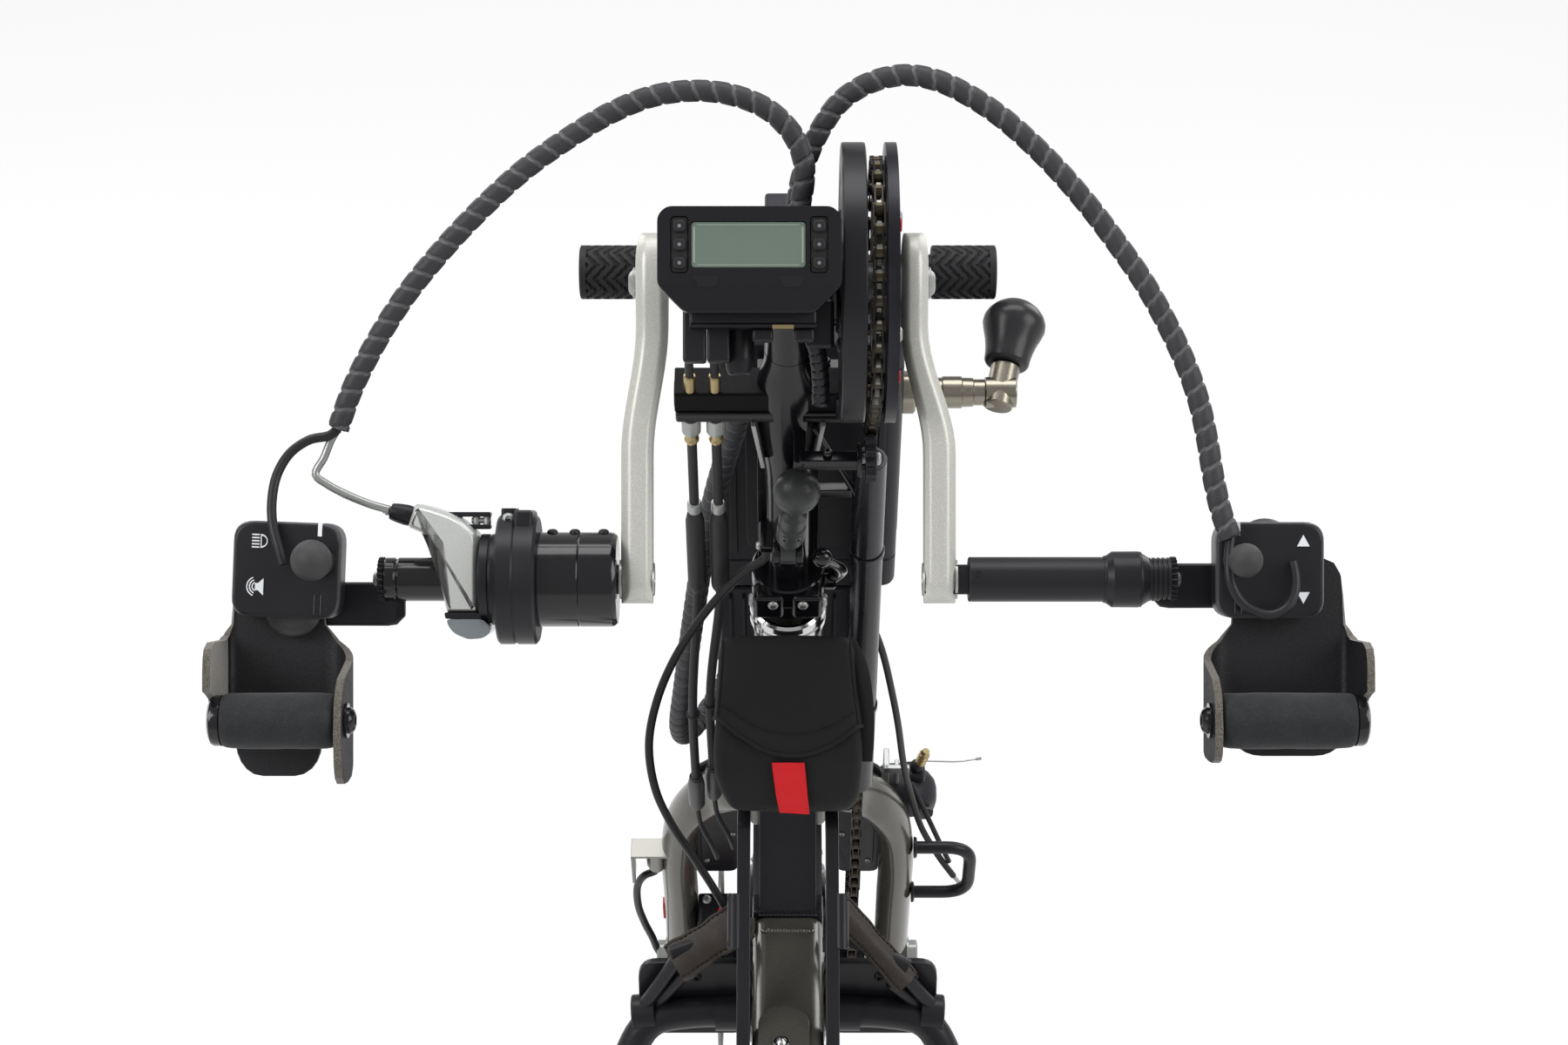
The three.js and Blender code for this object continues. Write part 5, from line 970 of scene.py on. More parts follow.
def makePushBar():
    p = pushBar
    bar = Stock(steeringFrame)
    bar.rod((-p["reach"], p["v"], p["w"]), (p["reach"], p["v"], p["w"]), p["radius"], 40, 1.2)
    bar.block((-14, 16.3, 655), (14, 151, 671), 2.2, 3)
    bar.block((-14, 139, 612), (14, 162, 671), 2.2, 3)
    bar.finish = 1
    for x in (-7, 7):
        bar.screw((x, 30, 670.8), (0, 0, 1), 4, 3)
        bar.screw((x, 139.2, 628), (0, -1, 0), 3.4, 3)
    bar.make("push_bar_tube", "steering", "black_metal", blackMetal, zinc, replaces=["push_bar"])
    for side, word in hands:
        grip = Stock(steeringFrame)
        rows, sides, rings = 60, 108, []
        span = p["gripTo"] - p["gripFrom"]
        for i in range(rows + 1):
            along = span * i / rows
            ring = []
            for k in range(sides):
                turn = 2 * math.pi * k / sides
                # the ribs zigzag six times round the grip
                fold = abs((turn * 6 / (2 * math.pi)) % 1 - 0.5) * 2
                rib = (along / 6.4 + fold * 1.25) % 1
                height = 1 if rib < 0.62 else 0
                flange = 1 if along > span - 5 else 0
                close = 0.12 if i in (0, rows) else 1
                if i in (1, rows - 1):
                    close = 0.93
                radius = (p["gripRadius"] - 1.3 + 1.3 * height * (1 - flange) + 1.3 * flange) * close
                x = p["gripFrom"] + min(max(along, 0.0), span)
                ring.append((side * x, *polar(radius, turn, (p["v"], p["w"]))))
            rings.append(ring)
        grip.rings(rings)
        grip.make(
            f"push_grip_{word}_ribbed", "steering", "rubber", softRubber, replaces=[f"push_grip_{word}"], fair=False,
        )


makePushBar()
print("handcycle: display and push bar made")

# Hand rests: one bent leather sheet, the switch box with its ball, and the padded roll
# "face" gives the left rest's outer wing the beige felt, a painted reflection
handRests = {
    "left": {
        "side": -1, "inner": 252, "ball": 10.8, "domeAt": (264, -14, -15), "dome": 15.5, "face": True, "hang": 1,
    },
    "right": {"side": 1, "inner": 241.2, "ball": 9, "domeAt": (255, -12, 16), "dome": 17, "face": False, "hang": 0.5},
    "outer": 304, "flangeBack": 20, "sheet": 4, "middle": -5.7, "reach": -60, "bend": 14, "wingBend": 6,
    "rollY": -45, "rollZ": -73, "rollRadius": 15.3, "boxMiddle": 13.7, "boxHalf": 28.5, "ballFromInner": -3.7,
}


def makePalmPlate(word):
    r, rest = handRests, handRests[word]
    stock = Stock(gripFrame)
    side, half, bend, tight = rest["side"], r["sheet"] / 2, r["bend"], r["wingBend"]
    flange, wing = rest["inner"] - r["flangeBack"] + half, r["outer"] - half
    straight, quarter = -r["reach"] + r["middle"] - bend, bend * math.pi / 2
    flat = wing - flange - bend - tight
    stops = [
        0, straight, straight + quarter, straight + quarter + flat, straight + quarter + flat + tight * math.pi / 2,
    ]
    total = stops[4] - r["reach"] + r["middle"] - tight

    def bent(u):
        # place on the middle of the sheet, and the way its front faces
        if u <= stops[1]:
            return (flange, r["reach"] + u), (1, 0)
        if u <= stops[2]:
            turn = (u - stops[1]) / bend
            way = (math.cos(turn), -math.sin(turn))
            return (flange + bend - bend * math.cos(turn), r["middle"] - bend + bend * math.sin(turn)), way
        if u <= stops[3]:
            return (flange + bend + u - stops[2], r["middle"]), (0, -1)
        if u <= stops[4]:
            turn = (u - stops[3]) / tight
            way = (-math.sin(turn), -math.cos(turn))
            return (wing - tight + tight * math.sin(turn), r["middle"] - tight + tight * math.cos(turn)), way
        return (wing, r["middle"] - tight - (u - stops[4])), (-1, 0)

    edge, outer = stops[2] + 3, stops[3] + 2
    high = [
        (0, -72), (1.2, -64), (5, -57), (12, -51), (26, -47), (straight, -43), (edge - 9, -33), (edge - 2, -24),
        (edge, 4), (edge + 3, 11), (edge + 8, 13), (outer - 14, 13), (outer - 5, 9), (outer - 1, 2), (outer, -8),
        (outer + 1, -24), (outer + 5, -30), (outer + 12, -32), (total - 12, -32), (total - 4, -35), (total - 1, -40),
        (total, -48),
    ]
    low = [
        (0, -88), (1.2, -96), (5, -102.5), (12, -106), (24, -106), (straight - 4, -104), (straight + 4, -96),
        (edge - 10, -86), (edge - 1, -83), (edge, -88), (edge + 0.6, -93), (edge + 2.4, -97.8), (edge + 5.4, -101.8),
        (edge + 9.4, -104.5), (edge + 14, -105.5), (outer - 16, -105.5), (outer - 11, -104.5), (outer - 7, -101.8),
        (outer - 4, -97.8), (outer - 2, -93), (outer - 1, -88.5), (outer + 4, -86.5), (total - 26, -85),
        (total - 19, -79), (total - 16, -62), (total - 6, -58.5), (total, -57),
    ]

    low = [(u, -84 + (z + 84) * rest["hang"] if z < -84 else z) for u, z in low]

    def along(stations, u):
        for (u0, z0), (u1, z1) in zip(stations, stations[1:]):
            if u <= u1:
                return z0 + (z1 - z0) * (u - u0) / (u1 - u0)
        return stations[-1][1]

    places = sorted({round(u, 3) for u in [*[total * k / 64 for k in range(65)], *[u for u, _ in [*high, *low]]]})
    rows, rings = 22, []
    for u in places:
        (x, y), (nx, ny) = bent(min(max(u, 0.0), total))
        top, bottom = along(high, u), along(low, u)
        front, back = [], []
        for k in range(rows + 1):
            z = bottom + (top - bottom) * k / rows
            crown = 0.5 * math.sin(math.pi * k / rows)
            front.append((side * (x + nx * (half + crown * 0.3)), y + ny * (half + crown * 0.3), z))
            back.append((side * (x - nx * half), y - ny * half, z))
        rings.append([*front, *back[::-1]])
    made = stock.rings(rings)
    count = 2 * (rows + 1)
    # edge faces take the felt; where "face" is set, the outer wing's front takes the beige felt as a painted
    # reflection
    for i, face in enumerate(made[: (len(places) - 1) * count]):
        step = i % count
        if step in (rows, count - 1):
            face.material_index = 1
        elif step < rows and rest["face"] and places[i // count] > stops[3] + 8:
            face.material_index = 2
    for face in made[(len(places) - 1) * count:]:
        face.material_index = 1
    stock.finish = 3
    for z in (-2, -16):
        stock.screw((side * (rest["inner"] + 9), r["middle"] - half, z), (0, -1, 0), 3.4, 2)
    stock.finish = 0
    stock.make(
        f"palm_rest_{word}", f"grip_{word}", "black_metal", leather, felt, feltPaintedReflection, blackMetal,
        replaces=[f"palm_plate_{word}"],
    )


def makeRoll(word):
    # the foam sleeve, crowned along its length and a little sagged, with its sewn seam at the back
    r, rest = handRests, handRests[word]
    side = rest["side"]
    start, end = rest["inner"] - r["flangeBack"] + r["sheet"] + 0.5, r["outer"] - 7.4
    pad = Stock(gripFrame)
    sides, rings = 72, []
    inset = [(0, 0.24), (0, 0.5), (0, 0.78), (0.3, 0.88), (1.1, 0.955), (2.6, 0.99)]
    steps = [(start + d, s) for d, s in inset]
    steps += [(start + 5 + (end - start - 10) * k / 26, 1.0) for k in range(27)]
    steps += [(end - d, s) for d, s in inset[::-1]]
    for x, share in steps:
        crown = 0.7 * (1 - ((2 * x - start - end) / (end - start)) ** 4)
        ring = []
        for k in range(sides):
            turn = 2 * math.pi * k / sides
            crease = noise.noise(Vector((x * 0.09, math.cos(turn) * 1.3, math.sin(turn) * 1.3)))
            seam = math.exp(-((math.degrees(turn) - 62) / 4.5) ** 2)
            radius = (r["rollRadius"] - 1.25 + crown + 0.28 * crease - 0.9 * seam) * share
            y, z = polar(radius, turn, (r["rollY"], r["rollZ"]))
            ring.append((side * x, y, z - 0.3 * (share == 1) * crown))
        rings.append(ring)
    pad.rings(rings)
    roll = pad.make(f"wrist_pad_{word}", f"roll_{word}", "foam", foam, replaces=[f"wrist_roll_{word}"], fair=False)
    pin = Stock(gripFrame)
    at = (r["rollY"], r["rollZ"])
    head = rest["inner"] - r["flangeBack"] - 0.3
    pin.rod((side * (head - 1), *at), (side * (end + 4), *at), 3.8, 24)
    pin.turned(solid([(0, 9.2), (1.2, 9.2)]), (side * head, *at), (-side, 0, 0), 32)
    pin.screw((side * (head - 1.2), *at), (-side, 0, 0), 7, 3.8)
    cap = [(-0.3, onAxis), (-0.3, 13.4), (3.2, 13.4), (4.8, 12.6), (6, 10.4), (6.8, 6), (7, onAxis)]
    pin.turned(cap, (side * (end + 0.3), *at), (side, 0, 0), 44)
    pin.make(f"wrist_pin_{word}", f"roll_{word}", "black_metal", gloss)


def ballProfile(radius, steps, grooveAt):
    # a moulded ball, turned, with the line where its halves meet
    profile = []
    for k in range(steps + 1):
        turn = math.pi * k / steps
        reach = radius - (0.35 if k == grooveAt else 0)
        profile.append((-reach * math.cos(turn), max(reach * math.sin(turn), 0.03)))
    return profile


def makeSwitchBox(word):
    r, rest = handRests, handRests[word]
    side = rest["side"]
    middle = rest["inner"] + r["boxMiddle"]
    knob = rest["inner"] + r["ballFromInner"]
    box = Stock(gripFrame)
    lean = math.radians(2.2 if side < 0 else 0)
    there, back = Matrix.Translation((side * middle, 0, 5.5)), Matrix.Translation((-side * middle, 0, -5.5))
    box.shift = there @ Matrix.Rotation(lean, 4, "Y") @ back

    def outline(inset):
        half = r["boxHalf"] - inset
        corners = [(-half, inset - 20), (half, inset - 20), (half, 31 - inset), (-half, 31 - inset)]
        return [(side * middle + x, z) for x, z in rounded(corners, 10.5 - inset * 0.5, 7, closed=True)]

    layers = [
        (-8, 3), (-8.8, 1.2), (-10.5, 0.2), (-12, 0), (-25.6, 0), (-26, 0.5), (-26.4, 0.5), (-26.8, 0), (-29.6, 0.1),
        (-31.1, 0.9), (-32, 2.6),
    ]
    faces = box.rings([[(x, y, z) for x, z in outline(inset)] for y, inset in layers])
    # finish 1 is the lighter grey: a painted highlight on the front rim band, also used for the thin strips beside
    # the slot
    box.finish = 1
    wallSteps = len(outline(0))
    for k in (7, 8):
        for face in faces[k * wallSteps:(k + 1) * wallSteps]:
            face.material_index = 1
    for x in (-1.7, 1.7):
        box.block((side * knob + x - 0.28, -32.35, -17.6), (side * knob + x + 0.28, -31.7, -7), 0.1)
    box.finish = 2
    box.block((side * knob - 1.1, -32.4, 24), (side * knob + 1.1, -25, 31.05), 0.1)
    box.finish = 3
    box.block((side * knob - 0.9, -32.3, -18.6), (side * knob + 0.9, -31.6, -5), 0.1)
    box.turned(solid([(0, 9), (1.4, 8.4), (2.2, 6)]), (side * knob, -31.8, 11), (0, -1, 0), 36)
    box.finish = 4
    x, y, z = rest["domeAt"]
    box.ball((side * x, y, z), rest["dome"], (1, 0.55, 1), 36)
    box.finish = 2
    low, high = -32.62, -31.8
    if word == "right":
        for z, up in ((21, 1), (-9, -1)):
            x = middle + 17
            box.plate([(x - 3.3, z - 2.9 * up), (x + 3.3, z - 2.9 * up), (x, z + 3.2 * up)], low, high, "y", edge=0)
    else:
        x = -middle - 14
        halfTurn = [math.pi * k / 10 for k in range(11)]
        lamp = [(x + 0.4 + 3.7 * math.sin(t), 20.5 + 3.7 * math.cos(t)) for t in halfTurn]
        inner = [(x + 0.9 + 2.7 * math.sin(t), 20.5 + 2.7 * math.cos(t)) for t in halfTurn]
        box.plate(lamp, low, high, "y", [inner[::-1]], edge=0)
        for k in range(5):
            z = 20.5 + (k - 2) * 1.65
            box.block((x - 4.2, low, z - 0.36), (x - 0.2, high, z + 0.36), 0)
        x -= 2
        box.plate(
            [(x + 0.2, -5.6), (x + 1.8, -5.6), (x + 4.6, -8.2), (x + 4.6, 0.8), (x + 1.8, -1.8), (x + 0.2, -1.8)],
            low, high, "y", edge=0,
        )
        sweep = [math.pi * (0.62 + 0.76 * k / 10) for k in range(11)]
        for radius in (2.6, 4.0, 5.4):
            arc = [polar(radius, turn, (x + 1, -3.7)) for turn in sweep]
            back = [polar(radius - 0.6, turn, (x + 1, -3.7)) for turn in sweep]
            box.plate([*arc, *back[::-1]], low, high, "y", edge=0)
    box.make(
        f"switch_box_{word}", f"grip_{word}", "black_plastic", satinBlack, rimHighlightGrey, pale, gloss, domeGrey,
        replaces=[f"control_box_{word}"],
    )
    toggle = Stock(gripFrame)
    tip = -66 + rest["ball"]
    toggle.turned(
        [(0, onAxis), (0, 3.4), (6, 3.1), (12, 2.6), (-tip - 20, 2.6), (-tip - 20, onAxis)], (side * knob, -20, 11),
        (0, -1, 0), 20,
    )
    toggle.turned(ballProfile(rest["ball"], 24, 13), (side * knob, tip, 11), (0, -1, 0), 44)
    toggle.turned(
        [(-2, 4.6), (0, 4.6), (5, 3.4), (5, 2.4), (-2, 2.4)], (side * knob, tip + rest["ball"] - 0.6, 11), (0, 1, 0),
        28, looped=True,
    )
    toggle.make(f"toggle_ball_{word}", f"toggle_{word}_body", "rubber", knobGrey, replaces=[f"toggle_{word}"])


for word in ("left", "right"):
    makePalmPlate(word)
    makeRoll(word)
    makeSwitchBox(word)
print("handcycle: hand rests made")

# Grips: drum, clamp and lever on the left, a plain tube on the right
drum = {"radius": 25.6, "collar": 35, "ring": 24.6, "pipe": 11.8}


def makeArm(stock, side, start, end, low, high):
    # the flat bar that runs from the grip's end back behind the switch box
    rings = []
    for k in range(21):
        share = k / 20
        x = start + (end - start) * share
        y = 3.6 + 3.2 * math.sin(math.pi * share)
        close = min(1, math.sqrt(1 - (1 - min(share / 0.11, 1)) ** 2) + 0.04)
        middle, half = (low + high) / 2, (high - low) / 2 * (0.55 + 0.45 * close)
        section = rectangle(y - 6.6 * close, y + 4.6, middle - half, middle + half, 2.4, 3)
        rings.append([(side * x, a, b) for a, b in section])
    stock.rings(rings)


def serrated(stock, side, x, radius):
    outline = []
    for k in range(24):
        for share, reach in ((-0.3, 0), (-0.12, 1.5), (0.12, 1.5), (0.3, 0)):
            turn = 2 * math.pi * (k + share) / 24
            outline.append(polar(radius + reach, turn))
    low, high = spanOn(side, x, x + 3.2)
    stock.plate(outline, low, high, "x", edge=0.3, steps=1)


def makeLeftGrip():
    radius, collar, ring, pipe = drum["radius"], drum["collar"], drum["ring"], drum["pipe"]
    grip = Stock(gripFrame)
    grip.rod((-73, 0, 0), (-93, 0, 0), 8, 32)
    body = solid([
        (92, 23.6), (93.6, 25.1), (95.4, radius), (112, radius), (112.5, 25.25), (113, radius), (134, radius),
        (136, 25.2),
    ])
    grip.finish = 1
    grip.turned([(x - 92, r) for x, r in body], (-92, 0, 0), (-1, 0, 0), 88)
    grip.finish = 0
    for x in (99.5, 115, 127):
        grip.screw((-x, -4, 25.2), (0, -0.16, 1), 2.9, 1.8)
    first = [(0, ring), (0, 33.4), (1.4, collar), (10.6, collar), (12, 34.2), (12.4, ring)]
    second = [(0, ring), (0, 34.2), (1.2, collar), (8.2, collar), (9.4, 33.8), (9.4, ring)]
    grip.turned(first, (-134.6, 0, 0), (-1, 0, 0), 88, looped=True)
    grip.turned(second, (-146.6, 0, 0), (-1, 0, 0), 88, looped=True)
    grip.plate(rectangle(-154, -146, -12, 8, 2, 3), 27, 38.4, "z", edge=1.2, steps=3)
    grip.block((-146.8, -20, 24), (-136.4, 12, 37.4), 2.2, 3)
    grip.finish = 2
    grip.screw((-150, -12, 32.6), (0, -1, 0), 3.4, 2.4)
    grip.screw((-141.6, -20, 24.6), (0, -0.9, 0.2), 2.6, 1.6)
    grip.finish = 0
    grip.turned(
        rounded(solid([(0, ring), (3.2, ring), (3.2, 23.6), (4.2, 23.6), (4.2, ring), (9, ring)]), 0.5, 2),
        (-156.4, 0, 0), (-1, 0, 0), 72,
    )
    grip.finish = 1
    grip.turned(
        rounded(
            solid([(0, pipe), (45, pipe), (45.6, 11.1), (46.4, 11.1), (47, pipe), (52, pipe), (53, 10.8)]), 0.4, 2,
        ),
        (-165, 0, 0), (-1, 0, 0), 56,
    )
    grip.finish = 0
    serrated(grip, -1, 217.6, 10.6)
    makeArm(grip, -1, 207.6, 292, -25.2, -1.6)
    grip.finish = 2
    grip.screw((-221, 0, 0), (-1, 0, 0), 4.6, 3)
    grip.make("grip_drum_left", "grip_left", "black_metal", satinBlack, gloss, zinc, replaces=["grip_hub_left"])


def makeRightGrip():
    grip = Stock(gripFrame)
    grip.block((73, -8, -8), (98, 8, 8), 1.4, 2)
    tube = solid([(0, 11.6), (0.6, 12.1), (74, 12.1)])
    grip.turned(tube, (97, 0, 0), (1, 0, 0), 64)
    sleeve = [
        (0, 11.8), (0, 12.6), (0.8, 12.9), (1.4, 12.9), (4.6, 15.1), (18.6, 15.2), (19.6, 14.9), (24.2, 12),
        (24.2, 11.4),
    ]
    grip.turned(sleeve, (169.8, 0, 0), (1, 0, 0), 72, looped=True)
    neck = [(0, onAxis), (0, 11.9)]
    for k in range(4):
        neck += [(2.2 + 2.6 * k, 11.8), (2.5 + 2.6 * k, 11.2), (3.1 + 2.6 * k, 11.2), (3.4 + 2.6 * k, 11.8)]
    neck += [(12.8, 11.8), (13.6, 11), (13.6, onAxis)]
    grip.turned(neck, (192.8, 0, 0), (1, 0, 0), 64)
    serrated(grip, 1, 205.8, 10.8)
    makeArm(grip, 1, 196.8, 282, -15.6, 8.6)
    for x, radius in ((173.6, 14.35), (189.2, 14.9)):
        grip.turned(
            [(0, radius), (0.45, radius + 0.2), (0.9, radius), (0.45, radius - 0.5)], (x, 0, 0), (1, 0, 0), 72,
            looped=True,
        )
    grip.turned(
        [(-0.4, 0.4), (-0.4, 1.9), (0.4, 1.7), (0.4, 1.2), (-0.2, 1)], (101.8, -11.6, 3.3), (0, -0.96, 0.28), 20,
        looped=True,
    )
    grip.finish = 1
    grip.screw((209.2, 0, 0), (1, 0, 0), 4.6, 2.6)
    grip.make("grip_tube_plain", "grip_right", "black_metal", satinBlack, zinc, replaces=["grip_tube_right"])


def makeBrakeLever():
    body = Stock(gripFrame)
    spine = [
        (-200.2, 41), (-192, 39.2), (-181.7, 35.8), (-175, 32.4), (-170.1, 28.3), (-166.6, 24.4), (-165.9, 20.2),
        (-165.9, -17.6), (-183.2, -17.6), (-186.9, -1.6), (-187.2, 6.3), (-186.2, 13), (-187.4, 19), (-191, 22.4),
        (-195.6, 24.6), (-204.2, 28.3),
    ]
    outline = rounded(spine, 1.6, 3, closed=True)

    def shrunk(inset):
        made = []
        for i, here in enumerate(outline):
            before, after = Vector(outline[i - 1]), Vector(outline[(i + 1) % len(outline)])
            along = (after - before).normalized()
            away = Vector((-along.y, along.x))
            made.append((here[0] - away.x * inset, here[1] - away.y * inset))
        return made

    turnWay = sum(a[0] * b[1] - b[0] * a[1] for a, b in zip(outline, outline[1:] + outline[:1]))
    flip = 1 if turnWay > 0 else -1
    levels = [(12, 2.4), (11.4, 0.9), (9.6, 0), (-9, 0), (-12.4, 0.5), (-14.8, 1.3), (-16.2, 2.2), (-17, 3.4)]
    body.rings([[(x, y, z) for x, z in shrunk(-flip * inset)] for y, inset in levels])
    body.finish = 1
    band = [(-184, -17.4), (-165.6, -17.4), (-163.6, -20.8), (-183.4, -20.8)]
    body.plate(rounded(band, 0.8, 2, closed=True), -15.6, 12, "y", edge=0.5)
    boot = Vector((-203, 0, 34)), Vector((-215.2, 0, 37))
    along = (boot[1] - boot[0]).normalized()
    body.turned(
        rounded([(0, onAxis), (0, 5.4), (3, 5.7), (8, 5.2), (12, 4.4), (12.6, onAxis)], 0.8, 2), boot[0], along, 28,
    )
    body.finish = 2
    body.turned([(0, onAxis), (0, 2.4), (1.6, 3), (2.2, 2.2), (3.4, 2.2), (3.6, onAxis)], boot[1], along, 20)
    body.tube([(-216, 0, 37.2), (-222, -1, 38.8), (-228.2, -2, 41), (-239.7, -3, 45.7), (-247, -3, 50)], 1.7, 16, 2)
    body.finish = 3
    window = [
        (-183, -21), (-163.4, -21), (-159.6, -24.6), (-159.2, -28), (-163.2, -31.2), (-171.3, -31.8),
        (-178.6, -28.6), (-181.6, -25),
    ]
    body.plate(rounded(window, 2, 3, closed=True), -15.8, 10, "y", edge=2.4, steps=4)
    body.finish = 2
    body.screw((-170.6, -14.9, 22.4), (0, -1, 0), 1.6, 0.7)
    body.make(
        "lever_shell", "grip_left", "silver", leverSilver, satinBlack, zinc, windowGrey, replaces=["lever_body"],
    )
    blade = Stock(gripFrame)
    for z, start in ((35.1, -184.6), (28.4, -180)):
        blade.plate(rectangle(start, -160.4, z - 1.3, z + 1.3, 0.8, 2), -4.3, 4.3, "y", edge=0.7)
    blade.plate(
        rounded([(-184.8, 27.4), (-177, 27.2), (-175.6, 36.2), (-184.8, 36.2)], 1.6, 3, closed=True), -3.4, 3.4, "y",
        edge=0.7,
    )
    blade.finish = 1
    for x in (-168.4, -162.6):
        blade.rod((x, 0, 28.2), (x, 0, 35.4), 2.1, 20, 0.3)
    blade.rod((-171, 0, 31.8), (-160.6, 0, 31.8), 1.6, 16, 0.3)
    blade.rod((-181, -4.9, 32), (-181, 4.9, 32), 2.4, 20, 0.3)
    blade.make("lever_blade", "brake_lever", "black_metal", satinBlack, zinc, replaces=["brake_blade"])


makeLeftGrip()
makeRightGrip()
makeBrakeLever()
print("handcycle: grips and brake lever made")

# Column: post, clamp, crossbar, battery plate and chain guides in one piece, the display's bracket in another
column = {
    "post": 13, "clampLow": 488.3, "clamp": 22, "crank": 756, "shell": 23, "barLow": 657, "barHigh": 679,
    "barLeft": -64, "barRight": 33, "cradleLow": 496, "cradleHigh": 640, "cradleBack": 57.7,
    "guideV": (-31.3, 39.3), "guideW": 648,
}


